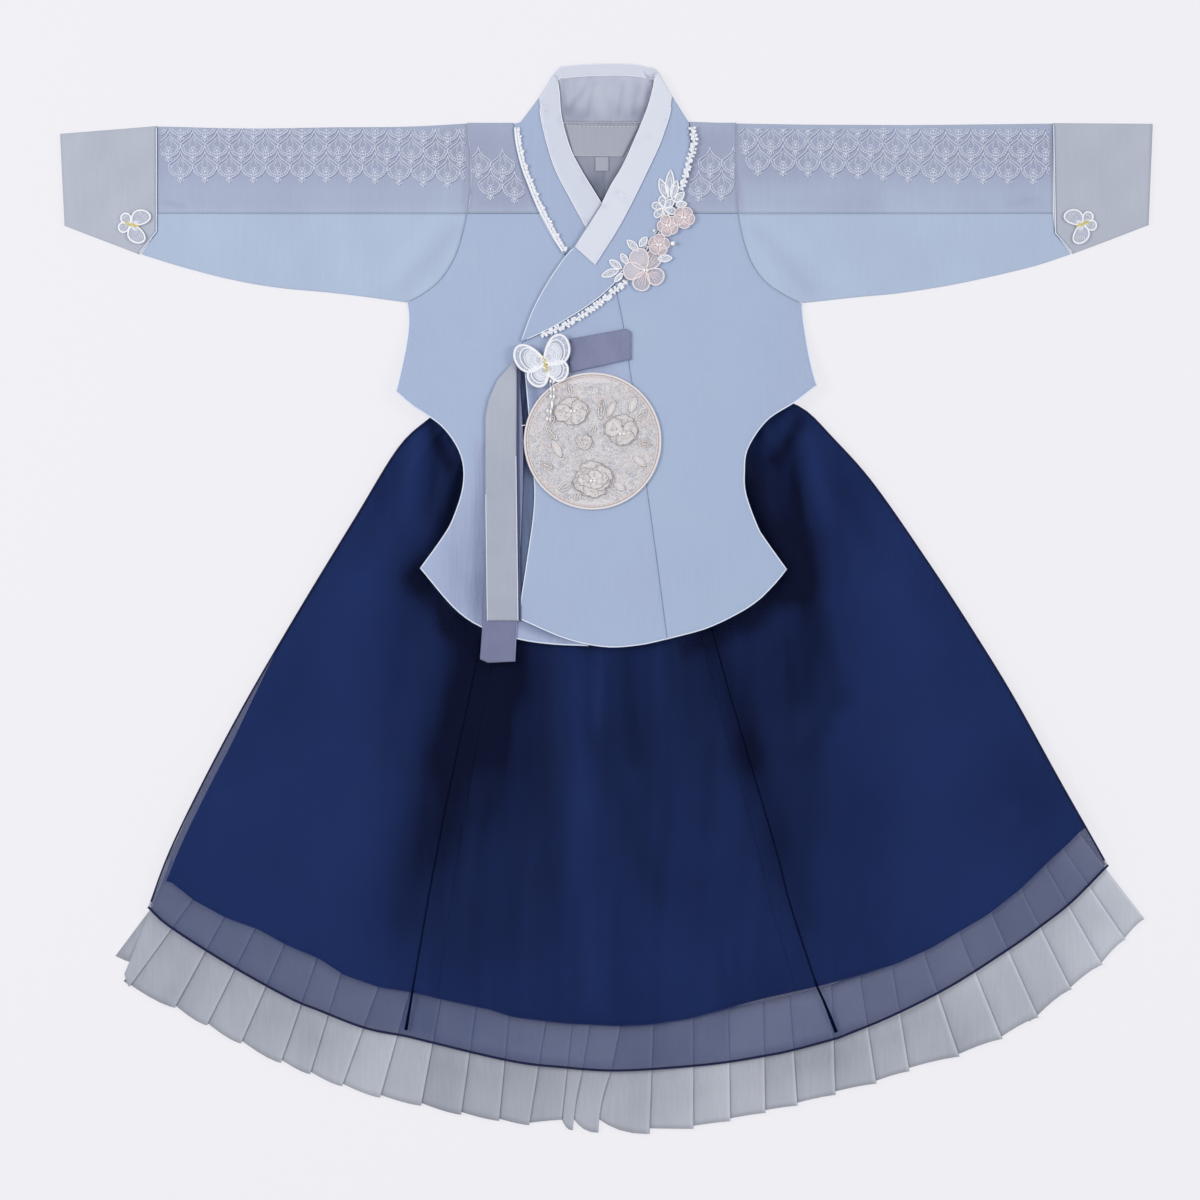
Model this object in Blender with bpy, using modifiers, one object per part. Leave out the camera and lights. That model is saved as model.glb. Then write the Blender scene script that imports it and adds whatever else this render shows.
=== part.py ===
"""Child's hanbok for a girl, laid flat: a dangui jacket over a full skirt with a pleated ruffle.

The garment lies on the XY plane with its collar towards +Y and its front up. The origin is on the floor,
under the middle of the garment's box. Every cloth is a wall of one thickness, each ply lies a fixed step
above the one below, and neighbours are a seam's gap apart. Plan sizes and heights are in millimetres.
"""

import math

import bmesh
import bpy
import numpy as np
from mathutils import Vector

MM = 0.001

# Cloth.
WALL = 1.0
SEAM_GAP = 0.3
PLY = WALL + SEAM_GAP

# Heights along the jacket and the sleeves.
YOKE_SEAM_Y = 289.0
NECK_SEAM_Y = 357.5
SHOULDER_Y = 357.0

# The jacket's rise over the skirt's waist: where it starts, column by column up the garment.
#                 y, rise
JACKET_RISE = (
    (-60.0, 10.4),
    (-10.0, 10.6),
    (60.0, 10.7),
    (120.0, 10.5),
    (146.0, 9.9),
    (160.0, 8.7),
    (172.0, 6.9),
    (184.0, 4.6),
    (196.0, 2.3),
    (206.0, 0.8),
    (216.0, 0.0),
)
# The outer front lies one ply higher where the inner front is under it.
OVERLAP_FULL_X = 67.0
OVERLAP_GONE_X = 85.0

# Outline of the body, from the armholes down to the hem, with the vents' deep curves.
LEFT_ARMHOLE = ((-104.3, 356.0), (-101.6, 333.0), (-101.3, 304.5), (-104.0, 289.0))
LEFT_SCYE = ((-104.0, 289.0), (-107.7, 273.0), (-113.4, 255.8), (-123.5, 240.0), (-135.0, 230.0), (-149.0, 222.2))
RIGHT_ARMHOLE = ((97.7, 356.0), (97.7, 318.8), (99.0, 289.0))
RIGHT_SCYE = ((99.0, 289.0), (102.4, 271.4), (108.8, 252.8), (118.9, 238.4), (131.8, 229.0), (147.0, 221.2))
LEFT_SIDE = ((-149.0, 222.2), (-147.9, 207.0), (-150.4, 186.0), (-157.0, 155.0))
LEFT_VENT = (
    (-157.0, 155.0),
    (-144.6, 144.3),
    (-122.3, 128.7),
    (-108.6, 107.6),
    (-106.8, 85.0),
    (-115.0, 58.0),
    (-138.8, 23.0),
)
LEFT_HEM = ((-138.8, 23.0), (-113.7, -6.5), (-93.9, -20.6), (-67.7, -29.5), (-13.2, -34.7))
RIGHT_SIDE = ((147.0, 221.2), (148.6, 205.0), (153.0, 178.0), (157.7, 159.5))
RIGHT_VENT = (
    (157.7, 159.5),
    (141.2, 147.0),
    (120.3, 133.4),
    (106.0, 112.5),
    (105.0, 78.5),
    (114.6, 52.4),
    (135.0, 22.2),
)
RIGHT_HEM = ((135.0, 22.2), (101.7, -8.0), (75.8, -21.5), (45.8, -30.0))
OVERLAP_HEM = ((45.8, -30.0), (24.2, -34.5), (-1.0, -35.8), (-30.5, -29.5), (-64.2, -15.1))
OVERLAP_EDGE = ((-64.2, -15.1), (-64.2, -5.0), (-59.2, 28.0), (-53.6, 72.0), (-55.5, 110.0), (-62.6, 192.0))
OVERLAP_SEAM = ((6.2, 236.4), (12.3, 209.0), (19.0, 164.0), (30.2, 85.0), (36.0, 44.0), (45.8, -30.0))

# The collar: neckline, the collar bands' edges, the white band's edges.
COLLAR_TOP = (
    (-64.0, 357.5),
    (-50.3, 376.0),
    (-36.6, 397.0),
    (-29.7, 399.6),
    (-8.2, 401.2),
    (17.6, 401.2),
    (31.4, 399.0),
    (38.3, 396.0),
    (49.5, 377.0),
    (61.6, 357.5),
)
NECK_LEFT = ((-36.6, 391.0), (-34.9, 379.0), (-33.2, 360.7), (-27.2, 339.0), (-19.4, 322.8), (-3.0, 296.0))
NECK_RIGHT = ((36.6, 392.6), (35.3, 383.0), (29.7, 364.0), (14.3, 328.0), (3.9, 310.0), (-3.0, 296.0))
WHITE_LEFT = ((-50.3, 374.8), (-47.4, 354.7), (-38.8, 324.5), (-27.3, 301.6), (-14.4, 278.0))
WHITE_RIGHT = ((49.5, 376.2), (47.8, 364.0), (43.5, 350.4), (36.6, 333.0), (12.5, 284.3), (-8.6, 250.2))
INNER_COLLAR_EDGE = ((-69.0, 356.0), (-66.8, 339.0), (-61.7, 318.8), (-51.7, 293.0), (-41.7, 273.0), (-31.5, 258.6))
OUTER_COLLAR_UPPER = ((-23.7, 263.6), (-30.2, 257.0), (-43.0, 238.4), (-54.6, 217.0), (-63.2, 194.3))
OUTER_COLLAR_LOWER = (
    (-63.2, 192.2),
    (-39.4, 203.7),
    (-12.7, 220.2),
    (6.2, 236.4),
    (34.0, 269.0),
    (57.0, 307.0),
    (63.5, 331.0),
    (62.0, 357.5),
)

# Sleeves and cuffs: the fold on top, the curve under the arm, the slanted wrist.
LEFT_SLEEVE_TOP = ((-104.3, 356.4), (-145.5, 354.2), (-199.5, 353.6), (-267.0, 352.7), (-336.0, 354.2))
LEFT_UNDERARM = ((-149.0, 221.8), (-199.5, 228.5), (-245.0, 233.0), (-281.0, 239.3), (-317.0, 248.7), (-348.8, 258.6))
RIGHT_SLEEVE_TOP = ((97.7, 356.4), (160.0, 355.6), (240.0, 355.4), (334.6, 356.4))
RIGHT_UNDERARM = ((147.0, 221.2), (190.5, 226.0), (220.0, 228.9), (264.7, 236.3), (316.5, 248.3), (348.8, 258.6))
LEFT_CUFF = ((-336.5, 354.4), (-409.0, 348.5), (-405.8, 280.0), (-349.2, 258.3), (-336.5, 275.3))
RIGHT_CUFF = ((335.0, 356.6), (409.7, 356.0), (406.7, 280.5), (349.1, 258.6), (336.5, 274.1))
# How far the sleeve's corner stays back from the cuff's lowest point.
SLEEVE_HEEL_BACK = 1.6

# The skirt's front: side edges from the waist down, the two gore seams between them, and the hem.
SKIRT_LEFT = (
    (-114.0, 150.0),
    (-132.0, 135.5),
    (-155.6, 113.6),
    (-188.0, 61.0),
    (-230.0, -8.0),
    (-269.5, -75.7),
    (-301.4, -135.8),
    (-326.8, -188.5),
    (-342.6, -230.3),
)
SKIRT_RIGHT = (
    (130.0, 150.0),
    (149.6, 141.3),
    (170.0, 121.0),
    (201.0, 86.0),
    (245.0, 22.7),
    (279.8, -31.0),
    (306.5, -75.0),
    (340.0, -136.0),
    (375.7, -199.0),
)
GORE_SEAM_LEFT = ((-59.0, 150.0), (-78.0, 50.0), (-95.0, -38.0), (-125.0, -181.0), (-150.5, -326.8))
GORE_SEAM_RIGHT = ((28.0, 150.0), (62.0, 40.0), (89.0, -58.0), (129.3, -187.0), (174.0, -328.3))
HEM_LEFT = ((-342.6, -230.3), (-277.7, -275.7), (-219.5, -307.5), (-186.8, -319.0), (-150.5, -326.8))
HEM_CENTRE = ((-150.5, -326.8), (-75.0, -344.8), (8.6, -353.0), (76.0, -348.5), (174.0, -328.3))
HEM_RIGHT = ((174.0, -328.3), (249.5, -297.5), (326.0, -248.6), (375.7, -199.0))
WAIST = ((-114.0, 150.0), (-59.0, 150.0), (28.0, 150.0), (130.0, 150.0))
GORE_COLUMNS = (12, 18, 12)
SKIRT_ROWS = 12
ORGANZA_STEP = 1.7
LINING_SHARE = 0.925
LINING_INSET = 8.0

# Skirt folds, each a soft ridge that widens from the waist to the hem.
# Across is counted in gores, 0 at the left edge and 3 at the right; down is 0 at the waist, 1 at the hem.
#  across_top, across_hem, width_top, width_hem, from_down, to_down, height
SKIRT_FOLDS = (
    (0.20, 0.30, 0.17, 0.12, 0.00, 0.26, 2.4),
    (0.52, 0.62, 0.18, 0.14, 0.00, 0.34, 2.6),
    (0.86, 0.74, 0.17, 0.26, 0.00, 1.00, 3.0),
    (1.14, 1.16, 0.13, 0.15, 0.06, 0.92, 2.2),
    (1.38, 1.34, 0.12, 0.12, 0.00, 1.00, 3.2),
    (1.58, 1.53, 0.11, 0.14, 0.00, 1.00, 3.4),
    (1.79, 1.84, 0.11, 0.13, 0.00, 0.95, 2.8),
    (2.12, 2.20, 0.15, 0.20, 0.10, 1.00, 2.8),
    (2.40, 2.46, 0.15, 0.18, 0.00, 0.72, 3.2),
    (2.66, 2.70, 0.13, 0.14, 0.00, 0.60, 2.4),
    (2.86, 2.86, 0.12, 0.12, 0.00, 0.30, 1.8),
)
GATHER_START = 0.05
HEM_CALM = 0.45

# Layers of the skirt, as heights of their undersides.
BACK_LINING_Z = PLY
RUFFLE_BACK_Z = 2 * PLY
FRONT_LINING_WAIST_Z = 2 * PLY
FRONT_LINING_HEM_Z = 7.2
LINING_RISE_FROM = 0.5

# How far hidden layers stay inside the edges of the ones that show.
BACK_ORGANZA_INSET = 0.8
BACK_LINING_INSET = 1.6
JACKET_BACK_INSET = 0.5
LINING_SIDE_TRIM = 0.6

# Ruffle: knife pleats that all lie to the right. Each row is one fold's edge, at the skirt's hem and at its
# tip; short is how far the next pleat's cloth stops above that tip.
#   hem_x, tip_x, tip_y, short
PLEATS = (
    (-341.5, -361.0, -284.0, 3.0),
    (-324.8, -357.5, -290.5, 2.0),
    (-299.3, -323.3, -306.2, 2.0),
    (-277.5, -299.3, -319.4, 2.0),
    (-254.3, -273.8, -333.0, 2.5),
    (-228.0, -243.8, -347.5, 2.5),
    (-207.8, -222.0, -356.0, 2.0),
    (-181.5, -198.0, -365.0, 2.0),
    (-156.0, -169.5, -373.6, 2.0),
    (-129.8, -138.8, -379.6, 2.0),
    (-102.0, -108.8, -386.4, 2.0),
    (-75.8, -80.3, -391.0, 1.5),
    (-50.3, -57.8, -394.2, 1.5),
    (-29.3, -33.0, -392.8, 0.5),
    (-16.5, -23.3, -397.5, 8.5),
    (3.0, -4.5, -399.3, 9.0),
    (33.8, 32.3, -401.2, 4.0),
    (65.3, 65.3, -397.0, 2.0),
    (92.3, 93.0, -391.4, 2.0),
    (118.5, 119.3, -385.2, 2.0),
    (140.3, 143.3, -379.7, 2.0),
    (170.3, 171.8, -371.7, 2.5),
    (195.8, 202.5, -363.2, 2.0),
    (219.8, 227.3, -354.0, 2.5),
    (248.3, 264.8, -343.0, 2.0),
    (276.0, 297.0, -329.8, 2.0),
    (300.8, 324.0, -313.7, 2.0),
    (324.8, 348.8, -292.7, 2.0),
    (345.8, 372.0, -274.2, 2.0),
    (361.0, 389.3, -255.2, 1.5),
    (373.5, 403.4, -240.0, 0.0),
)
PLEAT_HEIGHT = 1.7
RUFFLE_TOP_DROP = 40.0
RUFFLE_ROWS = (0.0, 1.02, 1.3, 2.0)
BACK_RUFFLE_START = ((-342.2, -233.5), (-370.8, -271.5))

# Waistband.
WAISTBAND_HEIGHT = 27.0

# Ties.
GREY_TIE = (
    (-67.5, 174.0),
    (-70.0, 178.0),
    (-82.4, 163.6),
    (-88.7, 148.7),
    (-91.0, 135.5),
    (-91.0, 78.0),
    (-89.6, -16.3),
    (-65.6, -16.3),
    (-66.8, 35.0),
    (-67.7, 107.0),
)
PURPLE_TIE = (
    (-65.0, 172.0),
    (-86.0, 140.0),
    (-88.0, 78.0),
    (-92.0, -14.0),
    (-94.3, -45.0),
    (-88.0, -47.8),
    (-67.7, -46.8),
    (-66.2, -10.0),
    (-64.0, 20.0),
    (-60.8, 72.0),
    (-60.8, 120.0),
)
LOOP_OUTLINE = ((-27.4, 194.6), (14.9, 202.4), (18.8, 200.0), (18.8, 179.0), (-27.4, 169.0))

# Trims.
ROUNDEL_CENTRE = (-10.4, 118.7)
ROUNDEL_RADIUS = 51.6
ROUNDEL_CORD = 1.6
ROUNDEL_SIDES = 44
#  x, y, radius, petals, turn
ROUNDEL_FLOWERS = (
    (-26.0, 142.0, 10.5, 5, 18.0),
    (12.0, 124.0, 10.0, 5, -10.0),
    (-9.0, 90.0, 13.5, 6, 5.0),
    (-17.0, 116.5, 6.0, 4, 40.0),
)
LACE_WIDTH = 5.0
LACE_LEFT = ((-67.0, 352.0), (-64.6, 339.0), (-59.6, 319.6), (-49.8, 294.0), (-41.0, 276.0), (-31.5, 263.0))
LACE_RIGHT = ((61.6, 352.0), (62.6, 343.0), (60.6, 330.0), (56.0, 315.0))
LACE_LOWER = ((-45.2, 196.6), (-29.1, 205.5), (-14.0, 213.8), (0.0, 225.5), (11.0, 236.5))

#  name, x, y, radius, petals, turn, slot
COLLAR_FLOWERS = (
    ("flower_large", 29.6, 246.0, 15.2, 5, 12.0, "pink_petal"),
    ("flower_pink_low", 39.6, 265.4, 6.4, 5, 30.0, "pink_petal"),
    ("flower_pink_mid", 46.4, 279.6, 7.2, 5, 0.0, "pink_petal"),
    ("flower_pink_high", 58.3, 285.0, 5.8, 5, 20.0, "pink_petal"),
    ("flower_white", 46.2, 294.2, 6.8, 5, 54.0, "white_lace"),
)
#  name, stem points, leaf size
LEAF_SPRAYS = (
    ("leaf_spray_upper", ((49.8, 302.0), (49.6, 308.0), (47.6, 315.0)), 5.5),
    ("leaf_spray_lower", ((13.0, 251.5), (7.0, 248.5), (0.5, 243.5)), 4.8),
)
# A leaf's outline beside its stem, in leaf sizes: out from the stem, on along it.
LEAF_SHAPE = ((0.15, 0.0), (0.6, 0.02), (1.0, 0.5), (0.5, 0.42), (0.15, 0.5))
#  name, x, y, size across, turn, layer's height
BUTTERFLIES = (
    ("brooch_butterfly", -45.5, 175.5, 43.0, 14.8, 5.6),
    ("cuff_butterfly_left", -354.5, 281.0, 30.0, 24.0, 2),
    ("cuff_butterfly_right", 357.0, 281.5, 30.0, -8.0, 2),
)

#  slot: colour, roughness
FINISHES = {
    "blue_cloth": ("#AABBD5", 0.85),
    "lavender_cloth": ("#AEB6CE", 0.8),
    "grey_cloth": ("#B4BAC8", 0.85),
    "white_satin": ("#DFE1EC", 0.4),
    "neck_lining": ("#B6BACC", 0.6),
    "purple_cloth": ("#8387A6", 0.8),
    "navy_organza": ("#1E2E60", 0.6),
    "navy_lining": ("#16244E", 0.7),
    "ruffle_cloth": ("#B2B7C2", 0.8),
    "cream_embroidery": ("#DCD6D4", 0.8),
    "pink_petal": ("#E6D2D2", 0.7),
    "white_lace": ("#E6E8F0", 0.8),
}


def clear_scene():
    for obj in list(bpy.data.objects):
        bpy.data.objects.remove(obj, do_unlink=True)


def linear(colour):
    """A hex colour as linear RGBA."""
    channels = [int(colour[i : i + 2], 16) / 255 for i in (1, 3, 5)]
    return [c / 12.92 if c <= 0.04045 else ((c + 0.055) / 1.055) ** 2.4 for c in channels] + [1.0]


def material(slot):
    found = bpy.data.materials.get(slot)
    if found:
        return found
    colour, roughness = FINISHES[slot]
    made = bpy.data.materials.new(slot)
    made.use_nodes = True
    shader = made.node_tree.nodes["Principled BSDF"]
    shader.inputs["Base Color"].default_value = linear(colour)
    shader.inputs["Roughness"].default_value = roughness
    shader.inputs["Metallic"].default_value = 0.0
    return made


# Plan geometry.


def resample(points, count):
    """A polyline's points at even steps along it, ends included."""
    points = np.asarray(points, float)
    lengths = np.concatenate([[0], np.cumsum(np.linalg.norm(np.diff(points, axis=0), axis=1))])
    at = np.linspace(0, lengths[-1], count)
    return np.stack([np.interp(at, lengths, points[:, axis]) for axis in range(2)], axis=1)


def bent(corners, counts):
    """Straight stretches between corners, each cut into its own count of points and keeping its ends."""
    stretches = [resample(pair, count) for pair, count in zip(zip(corners, corners[1:]), counts)]
    return np.vstack([stretches[0], *[stretch[1:] for stretch in stretches[1:]]])


def curve(points, count):
    """A smooth curve through the points (Catmull-Rom), at even steps along it."""
    points = np.asarray(points, float)
    padded = np.vstack([2 * points[0] - points[1], points, 2 * points[-1] - points[-2]])
    fine = []
    for a, b, c, d in zip(padded, padded[1:], padded[2:], padded[3:]):
        for t in np.linspace(0, 1, 12, endpoint=False):
            fine.append(
                0.5 * (2 * b + (c - a) * t + (2 * a - 5 * b + 4 * c - d) * t**2 + (3 * b - a - 3 * c + d) * t**3)
            )
    return resample(fine + [points[-1]], count)


def patch(top, bottom, left, right):
    """A Coons patch: the plan point at (across, down) inside four boundary curves of matching corners."""
    across = np.linspace(0, 1, len(top))[:, None, None]
    down = np.linspace(0, 1, len(left))[None, :, None]
    top, bottom = np.asarray(top)[:, None], np.asarray(bottom)[:, None]
    left, right = np.asarray(left)[None], np.asarray(right)[None]
    corners = (
        (1 - across) * ((1 - down) * top[:1] + down * bottom[:1])
        + across * ((1 - down) * top[-1:] + down * bottom[-1:])
    )
    return (1 - down) * top + down * bottom + (1 - across) * left + across * right - corners


def inset(outline, distance):
    """A closed outline, anticlockwise, moved inwards by the distance."""
    points = np.asarray(outline, float)
    ahead = np.roll(points, -1, axis=0) - points
    ahead /= np.linalg.norm(ahead, axis=1)[:, None]
    normals = np.stack([-ahead[:, 1], ahead[:, 0]], axis=1)
    mitre = normals + np.roll(normals, 1, axis=0)
    scale = np.clip(2 / np.maximum((mitre**2).sum(axis=1), 1e-9), 0, 2.0)
    return points + mitre * scale[:, None] * distance


def joined(*stretches):
    """One closed outline from stretches that meet end to end, anticlockwise, with no point twice."""
    points = []
    for stretch in stretches:
        for point in stretch:
            if not points or math.dist(points[-1], point) > 0.05:
                points.append(tuple(point))
    if math.dist(points[0], points[-1]) < 0.05:
        points.pop()
    area = sum(a[0] * b[1] - b[0] * a[1] for a, b in zip(points, points[1:] + points[:1]))
    return points if area > 0 else points[::-1]


def at_height(points, y):
    """Where a smooth curve through the points, steadily rising or falling, crosses a height."""
    line = curve(points, 40)
    order = np.argsort(line[:, 1])
    return float(np.interp(y, line[order, 1], line[order, 0]))


def jacket_rise(y):
    heights = np.array(JACKET_RISE)
    return float(np.interp(y, heights[:, 0], heights[:, 1]))


def overlap_lift(x):
    return PLY * float(np.interp(x, (OVERLAP_FULL_X, OVERLAP_GONE_X), (1.0, 0.0)))


# Objects.


def finish(name, mesh, slot, collection):
    made = bpy.data.objects.new(name, mesh)
    mesh.materials.append(material(slot))
    collection.objects.link(made)
    return made


def give_wall(obj, thickness=WALL, offset=1.0):
    """Turns an open surface into a closed wall; offset 1 grows it upwards, 0 both ways."""
    wall = obj.modifiers.new("wall", "SOLIDIFY")
    wall.thickness = thickness * MM
    wall.offset = offset


def surface(name, points, slot, collection, thickness=WALL, offset=1.0, loop=False):
    """A wall through a grid of points [across][down] in mm, closed round across's cross direction if loop."""
    grid = np.asarray(points, float) * MM
    columns, rows = grid.shape[:2]
    faces = []
    for i in range(columns - 1):
        for j in range(rows if loop else rows - 1):
            k = (j + 1) % rows
            faces.append((i * rows + j, i * rows + k, (i + 1) * rows + k, (i + 1) * rows + j))
    mesh = bpy.data.meshes.new(name)
    mesh.from_pydata(grid.reshape(-1, 3).tolist(), [], faces)
    mesh.update()
    mesh.shade_smooth()
    obj = finish(name, mesh, slot, collection)
    give_wall(obj, thickness, offset)
    return obj


def flat_piece(name, outline, level, slot, collection, thickness=WALL, lift=None, gap=SEAM_GAP):
    """A cut piece lying on the garment: its outline, split where the garment's rise bends, then made a wall."""
    shape = bmesh.new()
    points = inset(outline, gap / 2)
    shape.faces.new([shape.verts.new((x, y, 0)) for x, y in points])
    lines = [((0, y, 0), (0, 1, 0)) for y, _ in JACKET_RISE]
    if lift:
        lines += [((x, 0, 0), (1, 0, 0)) for x in (OVERLAP_FULL_X, OVERLAP_GONE_X)]
    for place, across in lines:
        everything = shape.verts[:] + shape.edges[:] + shape.faces[:]
        bmesh.ops.bisect_plane(shape, geom=everything, dist=1e-4, plane_co=place, plane_no=across)
    for vert in shape.verts:
        x, y = vert.co.x, vert.co.y
        height = jacket_rise(y) + level * PLY + (lift(x) if lift else 0)
        vert.co = Vector((x, y, height)) * MM
    mesh = bpy.data.meshes.new(name)
    shape.to_mesh(mesh)
    shape.free()
    obj = finish(name, mesh, slot, collection)
    give_wall(obj, thickness)
    return obj


def folded(front, low, high, both=False, steps=4):
    """Sections of a cloth doubled over: each front column at the high level, round its last point, back below.

    With both, each column also turns round its first point, so the section closes into a flat tube.
    """
    sections = []
    radius = (high - low) / 2
    turn = np.linspace(math.pi / 2, -math.pi / 2, steps + 2)[1:-1]
    for column in np.asarray(front, float):
        out = column[-1] - column[-2]
        out /= np.linalg.norm(out)
        section = [(x, y, high) for x, y in column]
        for angle in turn:
            x, y = column[-1] + out * radius * math.cos(angle)
            section.append((x, y, (low + high) / 2 + radius * math.sin(angle)))
        section += [(x, y, low) for x, y in column[::-1]]
        if both:
            back = column[0] - column[1]
            back /= np.linalg.norm(back)
            for angle in turn[::-1]:
                x, y = column[0] + back * radius * math.cos(angle)
                section.append((x, y, (low + high) / 2 + radius * math.sin(angle)))
        sections.append(section)
    return sections


# Skirt.


def skirt_front_plan():
    """Plan points of the skirt's front, [across][down], through its three gores."""
    sides = [curve(c, SKIRT_ROWS) for c in (SKIRT_LEFT, GORE_SEAM_LEFT, GORE_SEAM_RIGHT, SKIRT_RIGHT)]
    hems = [HEM_LEFT, HEM_CENTRE, HEM_RIGHT]
    columns = []
    for gore, count in enumerate(GORE_COLUMNS):
        top = resample(WAIST[gore : gore + 2], count + 1)
        hem = curve(hems[gore], count + 1)
        plan = patch(top, hem, sides[gore], sides[gore + 1])
        columns += list(plan if gore == 2 else plan[:-1])
    return np.array(columns)


def gore_places():
    """Across positions of the skirt's columns, in gores."""
    places = []
    for gore, count in enumerate(GORE_COLUMNS):
        places += [gore + i / count for i in range(count)]
    return places + [3.0]


def bump(distance):
    return 0.5 + 0.5 * math.cos(math.pi * distance) if abs(distance) < 1 else 0.0


def ramp(value, start, end):
    share = min(max((value - start) / (end - start), 0), 1)
    return share * share * (3 - 2 * share)


def fold_relief(across, down):
    relief = 0.0
    for across_top, across_hem, width_top, width_hem, start, end, height in SKIRT_FOLDS:
        middle = across_top + (across_hem - across_top) * down
        width = width_top + (width_hem - width_top) * down
        along = ramp(down, start, start + 0.12) if start else 1.0
        if end < 1:
            along *= 1 - ramp(down, end - 0.18, end)
        relief = max(relief, height * along * bump((across - middle) / width))
    edge = ramp(min(across, 3 - across), 0, 0.12)
    return relief * edge * ramp(down, 0, GATHER_START) * (1 - HEM_CALM * ramp(down, 0.6, 1))


def front_height(across, down, organza):
    """Height of the front lining's underside, or the organza's, which comes down onto the ruffle past it."""
    climb = ramp(down, LINING_RISE_FROM, LINING_SHARE)
    height = FRONT_LINING_WAIST_Z + (FRONT_LINING_HEM_Z - FRONT_LINING_WAIST_Z) * climb
    height += fold_relief(across, down)
    return height + (ORGANZA_STEP * (1 - ramp(down, LINING_SHARE + 0.01, 1.0)) if organza else 0.0)


def skirt(collection):
    plan = skirt_front_plan()
    across = gore_places()
    down = np.linspace(0, 1, SKIRT_ROWS)

    def raised(organza, first, last, side_trim, row_share=1.0, left_inset=0.0):
        columns = []
        for i in range(first, last + 1):
            column = []
            for share in down * row_share:
                row = share * (SKIRT_ROWS - 1)
                low = min(int(row), SKIRT_ROWS - 2)
                u = across[i]
                place = plan[i][low] + (plan[i][low + 1] - plan[i][low]) * (row - low)
                if i == 0:
                    place = place + (left_inset * ramp(share, 0.25, 0.6), 0)
                column.append((*place, front_height(u, share, organza)))
            columns.append(column)
        columns = np.array(columns)
        for column, neighbour in ((0, 1), (-1, -2)):
            step = columns[neighbour] - columns[column]
            step[:, 2] = 0
            columns[column] += side_trim * step / np.linalg.norm(step, axis=1)[:, None]
        return columns

    edges = np.cumsum((0, *GORE_COLUMNS))
    for gore, name in enumerate(("skirt_front_left", "skirt_front_centre", "skirt_front_right")):
        points = raised(True, edges[gore], edges[gore + 1], SEAM_GAP / 2)
        surface(name, points, "navy_organza", collection)
    lining = raised(False, 0, len(plan) - 1, LINING_SIDE_TRIM, LINING_SHARE, LINING_INSET)
    surface("skirt_front_lining", lining, "navy_lining", collection)

    outline = joined(plan[0], plan[:, -1], plan[-1][::-1], plan[::-1, 0])
    skirt_layer("skirt_back_organza", inset(outline, BACK_ORGANZA_INSET), 0.0, "navy_organza", collection)
    share = int(round(LINING_SHARE * (SKIRT_ROWS - 1)))
    lining = joined(plan[0][: share + 1], plan[:, share], plan[-1][: share + 1][::-1], plan[::-1, 0])
    skirt_layer("skirt_back_lining", inset(lining, BACK_LINING_INSET), BACK_LINING_Z, "navy_lining", collection)
    waistband(collection)
    ruffle(plan, collection)


def skirt_layer(name, outline, height, slot, collection):
    """A flat layer of the skirt's back."""
    shape = bmesh.new()
    shape.faces.new([shape.verts.new((x * MM, y * MM, height * MM)) for x, y in outline])
    mesh = bpy.data.meshes.new(name)
    shape.to_mesh(mesh)
    shape.free()
    give_wall(finish(name, mesh, slot, collection))


def waistband(collection):
    """The band that the gathers are sewn into: a flat tube above the skirt's top edge."""
    bottom = WAIST[0][1] + SEAM_GAP
    high = FRONT_LINING_WAIST_Z + PLY + WALL / 2
    low = WALL / 2
    margin = (high - low) / 2 + WALL / 2
    row = resample(((WAIST[0][0] + margin, 0), (WAIST[-1][0] - margin, 0)), 5)
    columns = [[(x, y) for x, _ in row] for y in np.linspace(bottom, bottom + WAISTBAND_HEIGHT, 2)]
    surface("waistband", folded(columns, low, high, both=True), "navy_lining", collection, offset=0.0, loop=True)


def hem_point(plan, x):
    hem = plan[:, -1]
    return np.array((x, np.interp(x, hem[:, 0], hem[:, 1])))


def pleat_edge(hem, tip):
    """A pleat's fold edge: where it starts under the lining, where the skirt's hem crosses it, and its tip."""
    up = (hem - tip) / np.linalg.norm(hem - tip)
    return hem + up * RUFFLE_TOP_DROP, hem, np.array(tip)


def edge_point(edge, down):
    """A point on a pleat's edge: 0 at its start, 1 at the skirt's hem, 2 at its tip."""
    top, hem, tip = edge[:3]
    return top + (hem - top) * down if down <= 1 else hem + (tip - hem) * (down - 1)


def ruffle(plan, collection):
    """Two pleated layers below the skirt's hem: the front one in knife pleats, the back one under it."""
    edges = []
    for hem_x, tip_x, tip_y, short in PLEATS:
        edges.append((*pleat_edge(hem_point(plan, hem_x), (tip_x, tip_y)), short))

    def columns_of(edges, level, places):
        columns = []
        for here, ahead in zip(edges, edges[1:]):
            for share, height in places:
                column = []
                for down in RUFFLE_ROWS:
                    near, far = edge_point(here, down), edge_point(ahead, down)
                    x, y = near * (1 - share) + far * share
                    y += here[3] * (1 - share) * max(down - 1, 0)
                    lift = RUFFLE_BACK_Z * (1 - ramp(down, 1.0, 1.6)) + level * PLY
                    column.append((x, y, lift + height))
                columns.append(column)
        return columns

    pleat = ((0.06, 0.0), (0.5, 0.45 * PLEAT_HEIGHT), (0.93, PLEAT_HEIGHT))
    surface("ruffle_front", columns_of(edges, 1, pleat), "ruffle_cloth", collection)
    hem, tip = (np.array(point) for point in BACK_RUFFLE_START)
    back = [(*pleat_edge(hem, tip), 0.0)] + [(top, hem, tip + (0, 2.5), 0.0) for top, hem, tip, _ in edges[1:]]
    surface("ruffle_back", columns_of(back, 0, ((0.0, 0.0),)), "ruffle_cloth", collection)


# Jacket.


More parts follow.
